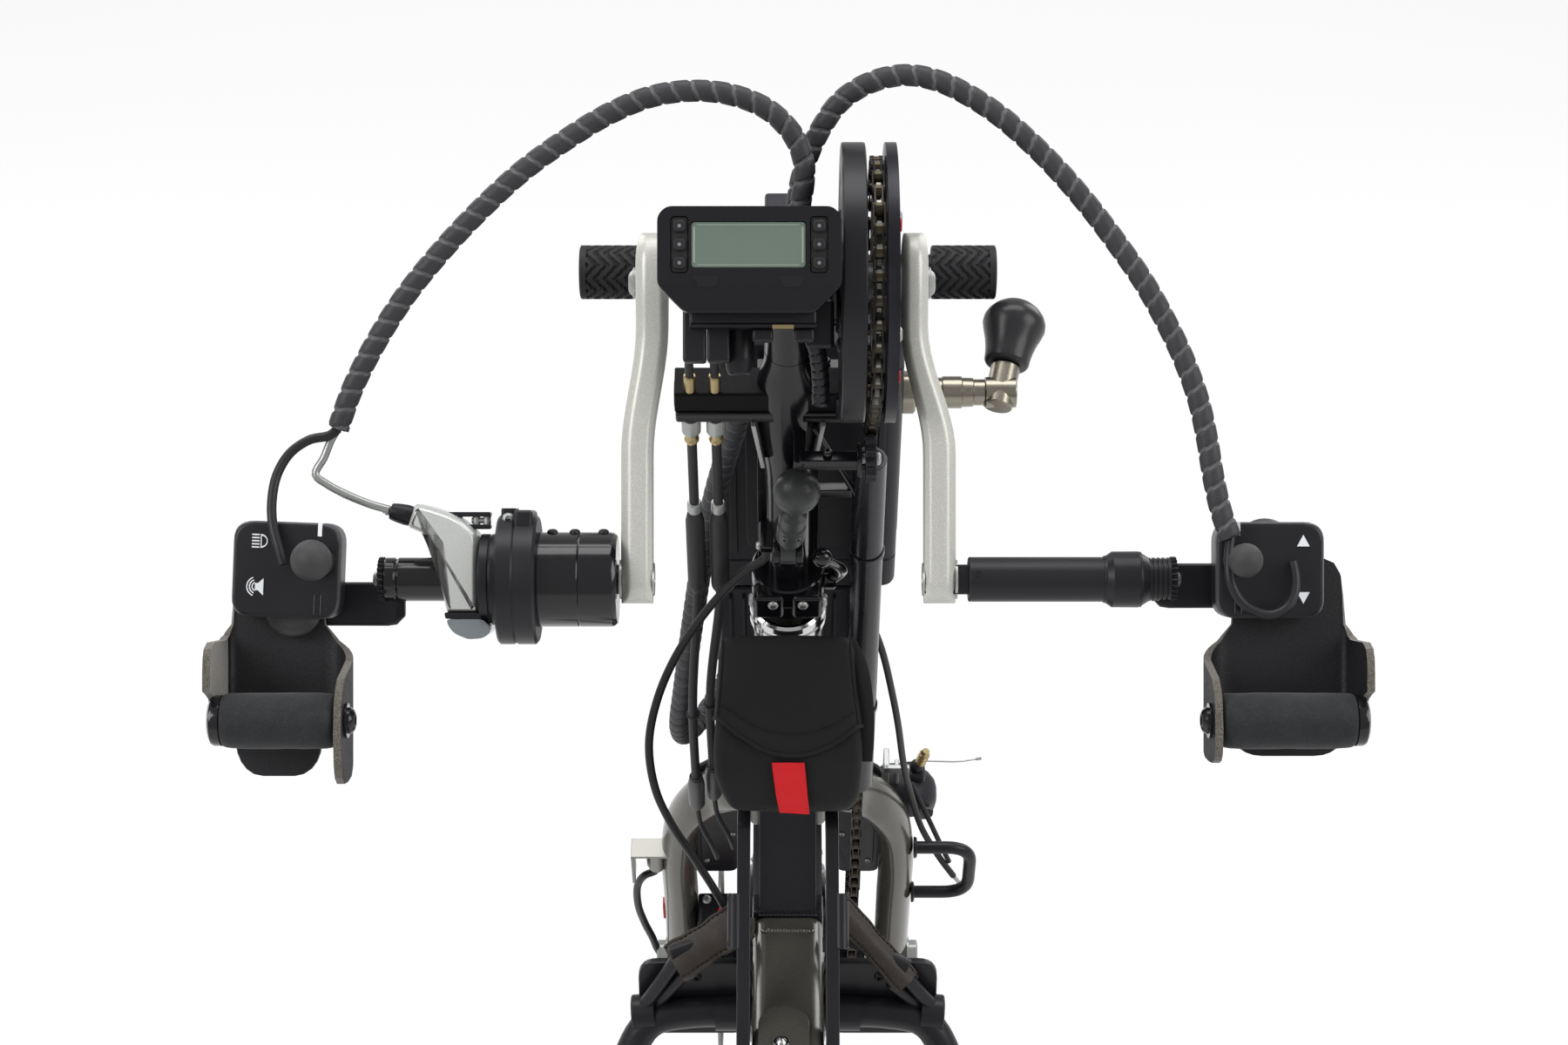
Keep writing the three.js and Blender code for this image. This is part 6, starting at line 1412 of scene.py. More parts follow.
def makeColumn():
    c = column
    post = Stock(steeringFrame)
    post.turned(
        [(0, onAxis), (0, 12.4), (1, c["post"]), (250, c["post"]), (250, onAxis)], (0, 0, c["clampLow"] + 6),
        (0, 0, 1), 56,
    )
    outer = c["clamp"]
    clamp = [
        (0, 12.9), (0, 21), (1, outer), (11.6, outer), (12.2, 21.3), (14.6, 21.3), (15.2, outer), (26, outer),
        (27, 21), (27, 12.9),
    ]
    post.turned(clamp, (0, 0, c["clampLow"]), (0, 0, 1), 72, looped=True)
    for side in (-1, 1):
        low, high = spanOn(side, 2.2, 21)
        post.block((low, -24.5, 492), (high, -9, 512), 3.4, 4)
    post.turned(
        rounded([(-34, 11.6), (-34, c["shell"]), (27, c["shell"]), (27, 11.6)], 1.6, 3, closed=True),
        (0, 0, c["crank"]), (1, 0, 0), 72, looped=True,
    )
    for x in (-34.6, 25.2):
        post.turned(
            rounded([(0, 12), (0, 21.6), (2.4, 21.6), (2.4, 12)], 0.6, 2, closed=True), (x, 0, c["crank"]),
            (1, 0, 0), 60, looped=True,
        )
    low, high = c["barLow"], c["barHigh"]
    section = rounded([(-11, high), (11, high), (11, low), (-3.4, low), (-11, 664.6)], 2.2, 4, closed=True)
    # the crossbar takes the darkest black, painted shade for its upward face; the strip along its lower front keeps
    # the post's gloss
    post.finish = 3
    post.plate(section, c["barLeft"], c["barRight"], "x", edge=0.8)
    post.finish = 0
    post.block((c["barLeft"] + 0.4, -12.4, 656.6), (c["barRight"] - 0.4, -7, 664.4), 1.8, 3)
    flare = []
    for k in range(25):
        w = 596 + 108 * k / 24
        spread = eased(w, 598, 650) * (1 - eased(w, 676, 702))
        across, deep = 13.3 + 4.6 * spread, 13.2 + 0.8 * spread
        flare.append([(across * math.cos(t), deep * math.sin(t), w) for t in fullTurn(56)])
    post.rings(flare)
    batteryPlate = rectangle(2, c["cradleBack"], c["cradleLow"], c["cradleHigh"], 5)
    post.plate(batteryPlate, -18, 18, "x", [rectangle(14.5, 51.7, 509, 627, 5)], edge=1.4)
    post.block((6, -36, 643), (40, -27.5, 651), 1.2)
    post.block((6, 35, 643), (40, 43.5, 651), 1.2)
    post.block((3, -36, 644), (10, 43.5, 650), 1)
    post.block((0, -17.5, 597.8), (37, -10, 604), 1, 2)
    post.block((-14, 0, 653.5), (14, 17, 672.5), 2)
    for side in (-1, 1):
        cheek = [(-30, 549), (-2, 549), (-2, 563), (-22, 563), (-28.5, 560), (-31, 555)]
        low, high = spanOn(side, 4.9, 8.8)
        post.plate(rounded(cheek, 3, 4, closed=True), low, high, "x", edge=0.7)
    post.block((-17, -21.5, 552), (-8.5, 0, 558), 1.4, 2)
    post.finish = 1
    for side in (-1, 1):
        gusset = [(side * 21, 657), (side * 18.4, 657), (side * 13.2, 621), (side * 15.6, 621)]
        post.plate(gusset, -15, -1, "y", edge=0.4)
        post.screw((side * 20.6, -17, 502), (side, 0, 0), 4.6, 3.2)
        post.screw((side * 9, -24.3, 506.5), (0, -1, 0), 3.2, 2)
    post.screw((-17, -18, 555), (-1, 0, 0), 2.6, 2)
    post.finish = 2
    post.rod((-64.3, 0, 668), (-63.2, 0, 668), 7.5, 24, 0.2)
    post.block((26.5, -13, 660), (33.4, 12, 676), 1)
    post.finish = 0
    guideTooth = ((-0.5, -2.6), (-0.3, -1.8), (-0.14, 0.4), (0.14, 0.4), (0.3, -1.8))
    for v in c["guideV"]:
        guide = toothedOutline(10, 8.6, guideTooth)
        post.finish = 2
        post.plate(
            [(v + a * 0.93, c["guideW"] + b * 0.93) for a, b in guide], 43.4, 49.4, "x",
            [ringOutline(3.2, 16, (v, c["guideW"]))], edge=0.3, steps=1,
        )
        post.finish = 1
        post.screw((50.2, v, c["guideW"]), (1, 0, 0), 3.8, 2)
        post.rod((38.8, v, c["guideW"]), (50.4, v, c["guideW"]), 3, 18, 0.3)
        post.finish = 0
        bracket = rounded([(v - 9, 640), (v + 9, 640), (v + 8, 655), (v - 8, 655)], 4, 3, closed=True)
        post.plate(bracket, 38.6, 41.4, "x", edge=0.5)
        post.screw((22, v, 653), (0, 0, 1), 2.6, 2)
    post.rod((14.6, -12.6, 654), (41, -16, 594), 1.7, 14, 0.3)
    post.make("column_post", "steering", "black_metal", postGloss, zinc, satinBlack, crossbarPaintedShade, replaces=["column"])
    shelf = Stock(crankFrame)
    shelf.block((-37, -69.7, -9), (-3, -20, 9), 1.4)
    shelf.block((-51, -72, -27.5), (14.5, -58, -16.5), 1.6, 3)
    shelf.block((-51, -72.8, -29), (14.5, -57, -27), 0.7)
    shelf.block((-4.3, -22.5, 11.5), (13, 13, 25.6), 2)
    shelf.block((-30, -60, -20), (-10, -20, -8), 1.4)
    for x in (-19, 2.5):
        shelf.block((x, -66, -36), (x + 11, -56, -28.6), 1.8, 3)
    shelf.finish = 1
    shelf.block((-8.4, -73.4, -29.8), (2.6, -72.6, -27.6), 0.2)
    shelf.finish = 0
    for x in (-46, -33.5):
        shelf.block((x - 9, -58, -46), (x + 3, -40, -18), 1.6, 3)
    shelf.turned(rounded(solid([(0, 5.6), (8, 8), (26, 8.2), (30, 7.4)]), 1.4, 3), (-26, -40, -52), (0, 0, 1), 32)
    shelf.block((9, -46, -38), (24, -30, -12), 2.4, 3)
    shelf.finish = 2
    for k in range(5):
        shelf.block((18 + 1.1 * k, -34, -20 - 2.3 * k), (22.4 + 0.4 * k, -27, -18.4 - 2 * k), 0.3)
    shelf.finish = 0
    wrapTube(
        shelf, smoothRoute([(13, -40, -20), (14, -38, -32), (16, -30, -44), (17, -22, -54), (17, -15, -66)], 0.8),
        9.6, 5.2, gap=0,
    )
    shelf.make("display_bracket", "steering", "black_metal", satinBlack, brass, castBlack)


makeColumn()

# Steerer end and head ring, the levers, the battery with its knob, controller and lamp
def makeColumnFoot():
    ring = Stock(steeringFrame)
    profile = [
        (0, 14.7), (0, 22.6), (1, 23.6), (5.6, 23.6), (6.6, 22.8), (8.4, 22.8), (9.4, 23.5), (13.6, 23.2),
        (15, 21.4), (15, 14.7),
    ]
    ring.turned(profile, (0, 0, 465.3), (0, 0, 1), 80, looped=True)
    ring.make("head_ring_polished", "steering", "steel", polished, replaces=["headset_ring"])
    lever = Stock(steeringFrame)
    along = Vector((0.075, -0.11, 0.99)).normalized()
    pivot = (-24, 556)
    lever.rod((-4.5, *pivot), (4.5, *pivot), 7, 32, 0.8)
    stem = solid([
        (0, 4), (14, 4), (15, 7.6), (17, 8.4), (30, 8.4), (31, 7.4), (33, 7.4), (34, 8.2), (41, 8), (43, 4.4),
        (54, 4.2),
    ])
    lever.turned(stem, (0, *pivot), along, 40)
    lever.turned(ballProfile(13.5, 28, 15), Vector((0, *pivot)) + along * 64, along, 52)
    lever.finish = 1
    lever.rod((-9.2, *pivot), (9.2, *pivot), 2.5, 20, 0.4)
    for side in (-1, 1):
        lever.screw(Vector((side * 4, *pivot)) + along * 25 + Vector((0, -7.4, 0)), (0, -1, 0), 1.9, 1.2)
    lever.make(
        "release_ball_lever", "dock_release", "black_plastic", knobSatin, leverGrey, replaces=["release_lever"],
    )
    clamp = Stock(steeringFrame)
    clamp.turned(solid([(0, 6.5), (5.6, 6.5), (6.7, 5.4)]), (22.3, 0, 501.5), (1, 0, 0), 36)
    route = [(26, 0, 501.5), (31, -5, 513), (31.4, -11, 524), (28.8, -17.4, 536), (24, -22.4, 546), (20, -26, 553.5)]
    clamp.tube(route, lambda s: 5.2 - 2.2 * s, 18, 2, up=(1, 0, 0.2), wide=0.62)
    clamp.ball((20, -26, 553.5), 6, sides=28)
    clamp.make("clamp_quick_lever", "column_clamp", "black_metal", gloss, replaces=["clamp_lever"])


battery = {"x": (-46, 69), "v": (58, 132), "w": (420, 646), "corner": 9}


def makeBattery():
    b = battery
    case = Stock(steeringFrame)

    def outline(inset):
        return rectangle(
            b["x"][0] + inset, b["x"][1] - inset, b["v"][0] + inset, b["v"][1] - inset, b["corner"] - inset * 0.5, 6,
        )

    levels = [
        (420, 3), (421.6, 0.8), (424, 0), (447, 0), (447.6, 0.8), (449, 0.8), (449.6, 0), (622, 0), (622.6, 1),
        (624.4, 1), (625, 0), (641, 0.4), (644.6, 2), (646, 5),
    ]
    case.rings([[(x, v, w) for x, v in outline(inset)] for w, inset in levels])
    case.finish = 1
    for x in (-34, 57):
        case.plate(rectangle(x - 2.4, x + 2.4, 456, 614, 2.2), 56.9, 58.8, "y", edge=0.7)
    case.plate(rectangle(-26, 48, 462, 610, 8), 57.2, 58.6, "y", edge=1.2, steps=3)
    case.finish = 0
    for side, x in ((-1, b["x"][0]), (1, b["x"][1])):
        low, high = sorted((x - side * 1, x + side * 0.25))
        case.plate(rectangle(68, 122, 462, 610, 8), low, high, "x", edge=0.2)
    case.finish = 2
    case.screw((-40, 58.3, 634), (0, -1, 0), 2.4, 1.4)
    case.screw((62, 58.3, 634), (0, -1, 0), 2.4, 1.4)
    case.rod((40, 95, 645.5), (40, 95, 647.4), 7, 28, 0.5)
    case.make("battery_case", "steering", "black_plastic", moulded, satinBlack, zinc, replaces=["battery"])
    box = Stock(steeringFrame)
    box.plate(rectangle(-46, 43, 58, 118, 5, 4), 346, 419.7, "z", edge=1.6, steps=3)
    for k in range(9):
        box.block((-38 + 8.4 * k, 55.4, 352), (-35.6 + 8.4 * k, 58.4, 412), 0.5)
    box.finish = 1
    for x in (-40, 37):
        for w in (351, 415):
            box.screw((x, 118, w), (0, 1, 0), 2.2, 1.4)
    box.finish = 2
    for k in range(3):
        box.rod((-28 + 16 * k, 90, 347), (-28 + 16 * k, 90, 336), 4.6, 24, 0.6)
    box.make("controller_case", "steering", "black_metal", blackMetal, zinc, satinBlack, replaces=["controller_box"])
    lamp, front = Stock(steeringFrame), (0, 173, 520)
    shell = [(0, onAxis), (0, 9), (3, 19), (9, 27), (18, 29.6), (38, 30), (39.8, 29), (39.8, 27), (36, 26.4)]
    lamp.turned(shell, (0, 136.2, 520), (0, 1, 0), 64)
    lamp.block((-12, 132.3, 508), (12, 141, 532), 2.2, 3)
    for k in range(4):
        lamp.turned([(0, 29.4), (0, 31), (1.6, 31), (1.6, 29.4)], (0, 143 + 5 * k, 520), (0, 1, 0), 64, looped=True)
    lamp.finish = 1
    lamp.turned(
        solid([(-14, 8), (-6, 18), (0, 25), (1, 26.2), (1, 25.4), (-5, 17.4), (-13, 7.4)]), front, (0, 1, 0), 64,
    )
    lamp.finish = 2
    lamp.turned([(0, onAxis), (0, 26.6), (1.2, 26.4), (2.2, 24), (2.8, 12), (2.9, onAxis)], front, (0, 1, 0), 64)
    lamp.make("headlamp_shell", "steering", "black_plastic", satinBlack, reflector, clearLens, replaces=["headlamp"])
    knob, foot, head = Stock(steeringFrame), (69.3, 84, 578), (129.2, 84, 578)
    knob.hexagon(foot, (1, 0, 0), 14, 8, 9)
    rod = [(0, onAxis), (0, 9)]
    for k in range(9):
        rod += [(9 + 1.4 * k, 9), (9.5 + 1.4 * k, 8.5), (9.9 + 1.4 * k, 8.5), (10.4 + 1.4 * k, 9)]
    rod += [(24, 9), (24.6, 9.8), (36, 9.8), (36.6, 9), (43, 8.8), (43.6, 8), (50, 8), (50, onAxis)]
    knob.turned(rod, foot, (1, 0, 0), 48)
    along = Vector((0.21, 0.93, 0.3)).normalized()
    knob.turned(rounded(solid([(-9.6, 9.4), (9.6, 9.4)]), 1, 3), head, (1, 0, 0), 48)
    knob.turned(rounded(solid([(-10, 9), (17.6, 9), (17.6, 5), (19, 4.5)]), 0.8, 3), head, along, 48)
    knob.finish = 1
    pear = [
        (18.5, onAxis), (18.5, 11.6), (19.2, 13), (20.6, 13.8), (25, 14.1), (30, 14.9), (35, 16.1), (40, 17.9),
        (45, 19.4), (49, 19.2), (53, 17.6), (57, 14.4), (60, 10.4), (61.8, 6), (62.5, 2.4), (62.6, onAxis),
    ]
    knob.turned(pear, head, along, 60)
    knob.make("battery_knob", "battery_lock", "steel", nickel, knobGloss, replaces=["battery_handle"])


makeColumnFoot()
makeBattery()
print("handcycle: column, levers and battery made")

# Cables that are tied along the column, and the wrapped harness
def makeCables():
    v = -7.7
    for word, x, foot, low in (("left", -55, -60, -22), ("right", -41, -49, -14)):
        cable = Stock(steeringFrame)
        cable.tube([(x, v, 657), (x, v, 575), (x, v, 500), (foot, low, 406), (foot, low, 312)], 2.9, 16, 5)
        cable.turned(
            solid([(0, 3.2), (5, 5.3), (8, 5.6), (66, 5.6), (72, 4.6), (75, 3.4)]), (x, v, 500), (0, 0, 1), 32,
        )
        cable.finish = 1
        cable.hexagon((x, v, 657), (0, 0, -1), 6.2, 12)
        cable.turned(solid([(0, 3.9), (1.4, 4.4), (7, 4.2), (8, 3.4)]), (x, v, 575), (0, 0, 1), 28)
        cable.finish = 2
        cable.turned(
            solid([(0, 3.7), (5.6, 3.7), (6.2, 4.2), (7.4, 4.2), (8, 3.4), (9.6, 3.2)]), (x, v, 645.4), (0, 0, -1),
            28,
        )
        cable.turned(solid([(0, 2.9), (1, 3.4), (11.6, 3.4), (12.4, 2.8)]), (x, v, 679.2), (0, 0, 1), 28)
        cable.finish = 0
        cable.rod((x, v, 690), (x, -9, 712), 2.5, 18)
        cable.finish = 3
        barrel = solid([(0, 4.2), (3, 5.4), (24, 5.6), (28, 5.2), (33.6, 4)])
        cable.turned(barrel, (foot, low, 289), (0, 0, 1), 32)
        cable.finish = 0
        cable.tube(
            [(foot, low, 290), (foot + 2, low - 1, 268), (foot + 9, low - 3, 246), (foot + 12, low, 226)], 1.7, 12, 4,
        )
        for w in (322, 392):
            tie = [
                (*polar(3.6, t, (foot, low)), w + 0.6 * math.sin(t))
                for t in [2 * math.pi * k / 20 for k in range(21)]
            ]
            cable.tube(tie, 0.9, 8, smooth=False)
        cable.make(
            f"control_cable_{word}_line", "steering", "cable", shrink, zinc, brass, leverGrey,
            replaces=[f"control_cable_{word}"],
        )
    harness = Stock(steeringFrame)
    route = [
        (-25.6, 24, 636), (-34, 27, 596), (-44, 26, 550), (-52, 22, 500), (-60, 14, 440), (-67, 8, 380),
        (-71, 10, 335), (-68, 25, 305), (-57, 47, 295), (-43, 67, 306), (-32, 82, 326), (-28, 88, 340),
    ]
    wrapTube(harness, smoothRoute(route, 0.8), 14, 8.2)
    harness.make("harness_wrap", "steering", "cable", wrapDark, wrapGap, replaces=["harness"], fair=False)
    tube = Stock(steeringFrame)
    top, foot = Vector((47, -13.46, 628)), Vector((47, -4.42, 292))
    up = (top - foot).normalized()
    tube.turned(
        rounded([(0, 6.4), (0, 9.6), (1.4, 9.6), (334.6, 9.6), (336.1, 9.6), (336.1, 6.4)], 0.7, 2, closed=True),
        foot, up, 40, looped=True,
    )
    for share in (0.26, 0.74):
        at = foot.lerp(top, share)
        tube.turned(rounded([(0, 9.4), (0, 10.6), (4, 10.6), (4, 9.4)], 0.4, 2, closed=True), at, up, 40, looped=True)
    tube.make("chain_tube_sleeve", "steering", "black_plastic", glossBlackAndNeckShade, replaces=["chain_tube"])


makeCables()

# Tool bag: a lofted shell that sags between its corners, with its lid, bindings and red tab
bag = {
    "half": 44, "round": 7.5, "swell": 1.9,
    "side": [
        (-142.7, 697.3), (-170.6, 672.3), (-191, 647), (-194.6, 624), (-189, 607.5), (-149, 578.3), (-125.3, 578.3),
        (-111.4, 612.8),
    ],
    "flapCut": (0.091, 0.094), "tabCut": (0.02, 0.038), "lidMiddle": 70, "lidSide": 46, "tab": (73.5, 109),
}


def makeBag():
    b = bag
    outline = rounded(b["side"], 9, 5, closed=True)
    loop = evenly([Vector((0, y, z)) for y, z in [*outline, outline[0]]], 4.6)[:-1]
    core = Vector((0, -155, 630))

    def soft(x, point, lift=0.0):
        share = abs(x) / b["half"]
        low, top = 1 - eased(point.z, 580, 642), eased(point.z, 648, 700)
        narrow = 1 - low * (0.27 if x < 0 else 0.07) - top * (0.09 if x < 0 else 0.13)
        away = (point - core).normalized()
        floor = 1 - eased(point.z, 579, 590)
        inset = b["round"] * (1 - math.sqrt(max(1 - max((share - 0.83) / 0.17, 0) ** 2, 0)))
        corner = min((point - Vector((0, y, z))).length for y, z in b["side"])
        pull = eased(corner, 0, 26)
        crease = noise.noise(Vector((x * 0.03, point.y * 0.045, point.z * 0.045))) * 1.5
        crease += noise.noise(Vector((x * 0.11, point.y * 0.08, point.z * 0.08))) * 0.55
        bulge = (b["swell"] * (1 - share ** 3) * (0.35 + 0.65 * pull) + crease) * (1 - floor)
        moved = point + away * (bulge - inset + lift)
        return Vector((x * narrow, moved.y, moved.z))

    body = Stock()
    rings = []
    for s in [math.sin(math.pi * (k / 36 - 0.5)) for k in range(37)]:
        x = b["half"] * (0.25 * s + 0.75 * max(min(s * 1.02, 1), -1))
        rings.append([soft(x, p) for p in loop])
    ends = []
    for k, x in ((0, -b["half"]), (-1, b["half"])):
        middle = sum((Vector(p) for p in rings[k]), Vector()) / len(loop)
        for share in (0.75, 0.4, 0.1):
            sway = 1.4 * (1 - share) * (1 if x > 0 else -1)
            ends.append((k, [middle + (Vector(p) - middle) * share + Vector((sway, 0, 0)) for p in rings[k]]))
    leftEnds = [ring for k, ring in ends if k == 0][::-1]
    rightEnds = [ring for k, ring in ends if k == -1]
    body.rings([*leftEnds, *rings, *rightEnds])
    body.make("bag_body", "frame", "cloth", nylon, replaces=["tool_bag"])

    # the lid follows the shell's back and rear faces down to a curved hem
    top = [
        (-119, 652), (-133, 690), (-142.7, 697.3), (-170.6, 672.3), (-191, 647), (-194.6, 624), (-190.6, 611),
        (-189.6, 598),
    ]
    line = evenly([Vector((0, y, z)) for y, z in rounded(top, 9, 5)], 1.0)
    start = min(range(len(line)), key=lambda k: (line[k] - Vector((0, -141, 696))).length)

    def hem(x):
        return b["lidMiddle"] - (b["lidMiddle"] - b["lidSide"]) * abs((x - 3) / 48) ** 1.9

    lid, columns, rows = Stock(), 34, 30
    width = b["half"] + 1.2
    outer, inner = [], []
    for i in range(columns + 1):
        x = -width + 2 * width * i / columns
        reach = [-16 + (hem(x) + 16) * k / rows for k in range(rows + 1)]
        places = [line[min(max(round(start + s), 0), len(line) - 1)] for s in reach]
        fall = 2.4 * max(abs(x) / width - 0.9, 0) / 0.1
        outer.append([soft(x * 0.97, p, 2.3 - fall) + Vector((x * 0.03, 0, 0)) for p in places])
        inner.append([soft(x * 0.97, p, 0.7 - fall) + Vector((x * 0.03, 0, 0)) for p in places])
    lid.rings([[*a, *c[::-1]] for a, c in zip(outer, inner)])
    lid.finish = 1
    lid.tube([strip[-1] for strip in outer], 1.25, 10, smooth=False)
    for i in (1, columns - 1):
        lid.tube([Vector(p) for p in outer[i]], 0.95, 8, smooth=False)
    # a row of stitches above the hem
    for i in range(2, columns - 1):
        a = outer[i][rows - 4]
        away = (a - Vector((a.x, core.y, core.z))).normalized()
        stitch = [a + away * 0.2 + Vector((-0.9, 0, 0)), a + away * 0.5, a + away * 0.2 + Vector((0.9, 0, 0))]
        lid.tube(stitch, 0.32, 6, smooth=False)
    strap = [(36, -134, 692), (43, -150, 684), (46.4, -166, 668), (46.8, -176, 652), (45.8, -180, 636)]
    lid.tube(strap, 4.4, 12, 3, up=(1, 0, 0), wide=0.28)
    flap = lid.make("bag_lid", "frame", "cloth", nylon, webbing)
    tab, rings = Stock(), []
    low, high = b["tab"]
    for k in range(19):
        s = low + (high - low) * k / 18
        p = line[min(round(start + s), len(line) - 1)]
        shift = 3.6 * k / 18
        wave = 0.35 * math.sin(k * 0.7)
        ring = []
        for x in (-9.6, -8.9, -8.2, 0, 8.2, 8.9, 9.6):
            ring.append(soft(x + shift, p, 2.9 + wave - (0.25 if abs(x) == 8.9 else 0)))
        for x in (9.6, 0, -9.6):
            ring.append(soft(x + shift, p, 1.7 + wave))
        rings.append(ring)
    tab.rings(rings)
    redTab = tab.make("bag_tab", "frame", "cloth", tabRed)


makeBag()
print("handcycle: cables and bag made")

# Front wheel: tyre, rim with its spokes, hub motor, brake disc and sprocket
wheel = {"treads": 66, "steps": 6, "spokes": 14, "lace": 62, "grooveDepth": 1.7, "discHoles": 30}


def crownRadius(x):
    across = abs(x)
    if across <= 5:
        return 250 - 0.4 * (across / 5) ** 2
    if across <= 15:
        return 249.6 - 7.6 * ((across - 5) / 10) ** 1.5
    return 242 - 14 * (1 - math.sqrt(max(1 - ((across - 15) / 8.5) ** 2, 0))) - 0.2 * (across - 15)


def makeWheel():
    w = wheel
    tyre = Stock(wheelFrame)
    outer = [-23.5, -23.1, -22, -20.4, -18.4, -16.6, -15, -13.6, -12, -10, -8, -6.6, -5.4, -4, -2.4, -1.3, -0.8]
    outer = [*outer, 0, *[-x for x in outer[::-1]]]
    bead = [(-22.6, 221), (-19, 213), (-14.6, 207.4), (-13.4, 205.8), (-11.8, 206.2)]
    lining = [(-11.8, 207.4), (-16, 214), (-20.4, 224), (-20, 233), (-14, 238.6), (0, 245)]
    lining += [(-x, r) for x, r in lining[-2::-1]]
    inside = [*bead[::-1], *lining, *[(-x, r) for x, r in bead]]
    count = w["treads"] * w["steps"]
    rings = []
    for k in range(count):
        turn = 2 * math.pi * k / count
        tread = []
        for x in outer[::-1]:
            phase = (k / w["steps"] + abs(x) * 0.055 + (0.5 if x > 0 else 0)) % 1
            cut = 0
            if abs(x) < 20 and (phase < 0.17 and abs(x) > 3.4 or abs(abs(x) - 12) < 1 and phase > 0.5):
                cut = w["grooveDepth"] * (1 - eased(abs(x), 16, 20))
            if abs(x) < 1:
                cut = 1.2
            tread.append((x, crownRadius(x) - cut))
        rings.append([(x, *polar(r, turn)) for x, r in [*inside, *tread]])
    tyre.rings(rings, looped=True)
    tyre.make("tyre_tread", "wheel", "tyre", tyreRubber, replaces=["tyre"], fair=False)
    rim = Stock(wheelFrame)
    section = [
        (-13, 206.2), (-11.6, 206.4), (-11, 203.4), (-7.6, 197.6), (7.6, 197.6), (11, 203.4), (11.6, 206.4),
        (13, 206.2), (13, 200), (10.6, 193), (6.2, 188.6), (4.6, 188), (-4.6, 188), (-6.2, 188.6), (-10.6, 193),
        (-13, 200),
    ]
    rim.turned(section, sides=180, looped=True)
    rim.finish = 1
    for side in (-1, 1):
        for k in range(w["spokes"]):
            lace = math.radians(w["lace"]) * (1 if k % 2 else -1)
            hubTurn = 2 * math.pi * (k + (0.5 if side > 0 else 0)) / w["spokes"]
            rimTurn = hubTurn + lace * 0.62
            low = Vector((side * (24 + (2.4 if k % 2 else -2.4)), *polar(77, hubTurn)))
            high = Vector((side * 4, *polar(189.4, rimTurn)))
            rim.rod(low, high, 1.2, 8, 0.1)
            rim.rod(high.lerp(low, 0.13), high, 2.1, 8, 0.3)
    rim.turned(solid([(-3.4, 2.6), (12, 2.6), (13, 1.8)]), (0, 0, -175), (0, 0, -1), 16)
    rim.make("rim_and_spokes", "wheel", "rim", blackMetal, zinc, replaces=["rim"])
    hub = Stock(wheelFrame)
    profile = [
        (-48.7, 7), (-48.7, 23), (-47.9, 24), (-40, 24), (-37.6, 27), (-33.2, 47), (-32, 52), (-30, 55), (-28.2, 66),
        (-26, 68), (-26, 75), (-25.2, 76), (-22.8, 76), (-22, 75), (-22, 68),
    ]
    for k in range(8):
        profile += [(-20 + 5.2 * k, 68), (-19.4 + 5.2 * k, 66.6), (-17 + 5.2 * k, 66.6), (-16.4 + 5.2 * k, 68)]
    profile += [
        (22, 68), (22, 75), (22.8, 76), (25.2, 76), (26, 75), (26, 68), (28.2, 66), (30, 55), (32, 52), (32, 20),
        (33, 17), (57, 17), (58, 16), (58, 7),
    ]
    hub.turned(profile, sides=96, looped=True)
    hub.finish = 1
    for turn in fullTurn(9):
        for side in (-1, 1):
            hub.bolts([turn], side * 29.2, 60.5, side, 2.8, 1.8)
    hub.bolts(fullTurn(5), -50.9, 20, -1, 2.6, 1.6)
    hub.make("hub_shell", "wheel", "hub", glossBlackAndNeckShade, zinc, replaces=["hub_motor"])
    disc = Stock(wheelFrame)
    count = 120
    # ten shallow waves round the edge
    wave = [80 - 0.9 + 0.9 * math.cos(2 * math.pi * 10 * k / count) for k in range(count)]
    edge = [polar(r, turn) for r, turn in zip(wave, fullTurn(count))]
    holes = [*windows(26, 65, 5, 11), ringOutline(6.6, 24)]
    for k in range(w["discHoles"]):
        turn = 2 * math.pi * (k + 0.5) / w["discHoles"]
        reach = 70 if k % 2 else 75
        holes.append(ringOutline(2.2, 12, polar(reach, turn)))
    disc.plate(edge, -51, -49, "x", holes, edge=0.25, steps=1)
    disc.make("brake_disc", "wheel", "steel", steel, replaces=["brake_rotor"])
    gear = Stock(wheelFrame)
    gear.plate(
        toothedOutline(chainSet["wheelTeeth"], chainSet["pitch"]), 45.8, 48.2, "x", [ringOutline(17.4, 40)],
        edge=0.4, steps=1,
    )
    gear.turned(
        [(45.2, 17.4), (45.2, 24), (45.8, 24.6), (48.2, 24.6), (48.8, 24), (48.8, 17.4)], sides=48, looped=True,
    )
    gear.make("sprocket_teeth", "rear_sprocket", "steel", chainPlate, replaces=["sprocket"])
    axle = Stock(steeringFrame)
    axle.rod((-96, 40, 0), (96, 40, 0), 6, 32, 0.8)
    for side in (-1, 1):
        axle.turned([(0, 6), (0, 12.4), (1.4, 12.4), (1.4, 6)], (side * 90.2, 40, 0), (side, 0, 0), 32, looped=True)
        axle.hexagon((side * 91.4, 40, 0), (side, 0, 0), 10.5, 6.9, 5.8)
    axle.make("axle_and_nuts", "steering", "steel", zinc, replaces=["wheel_axle"])


makeWheel()
print("handcycle: wheel made")

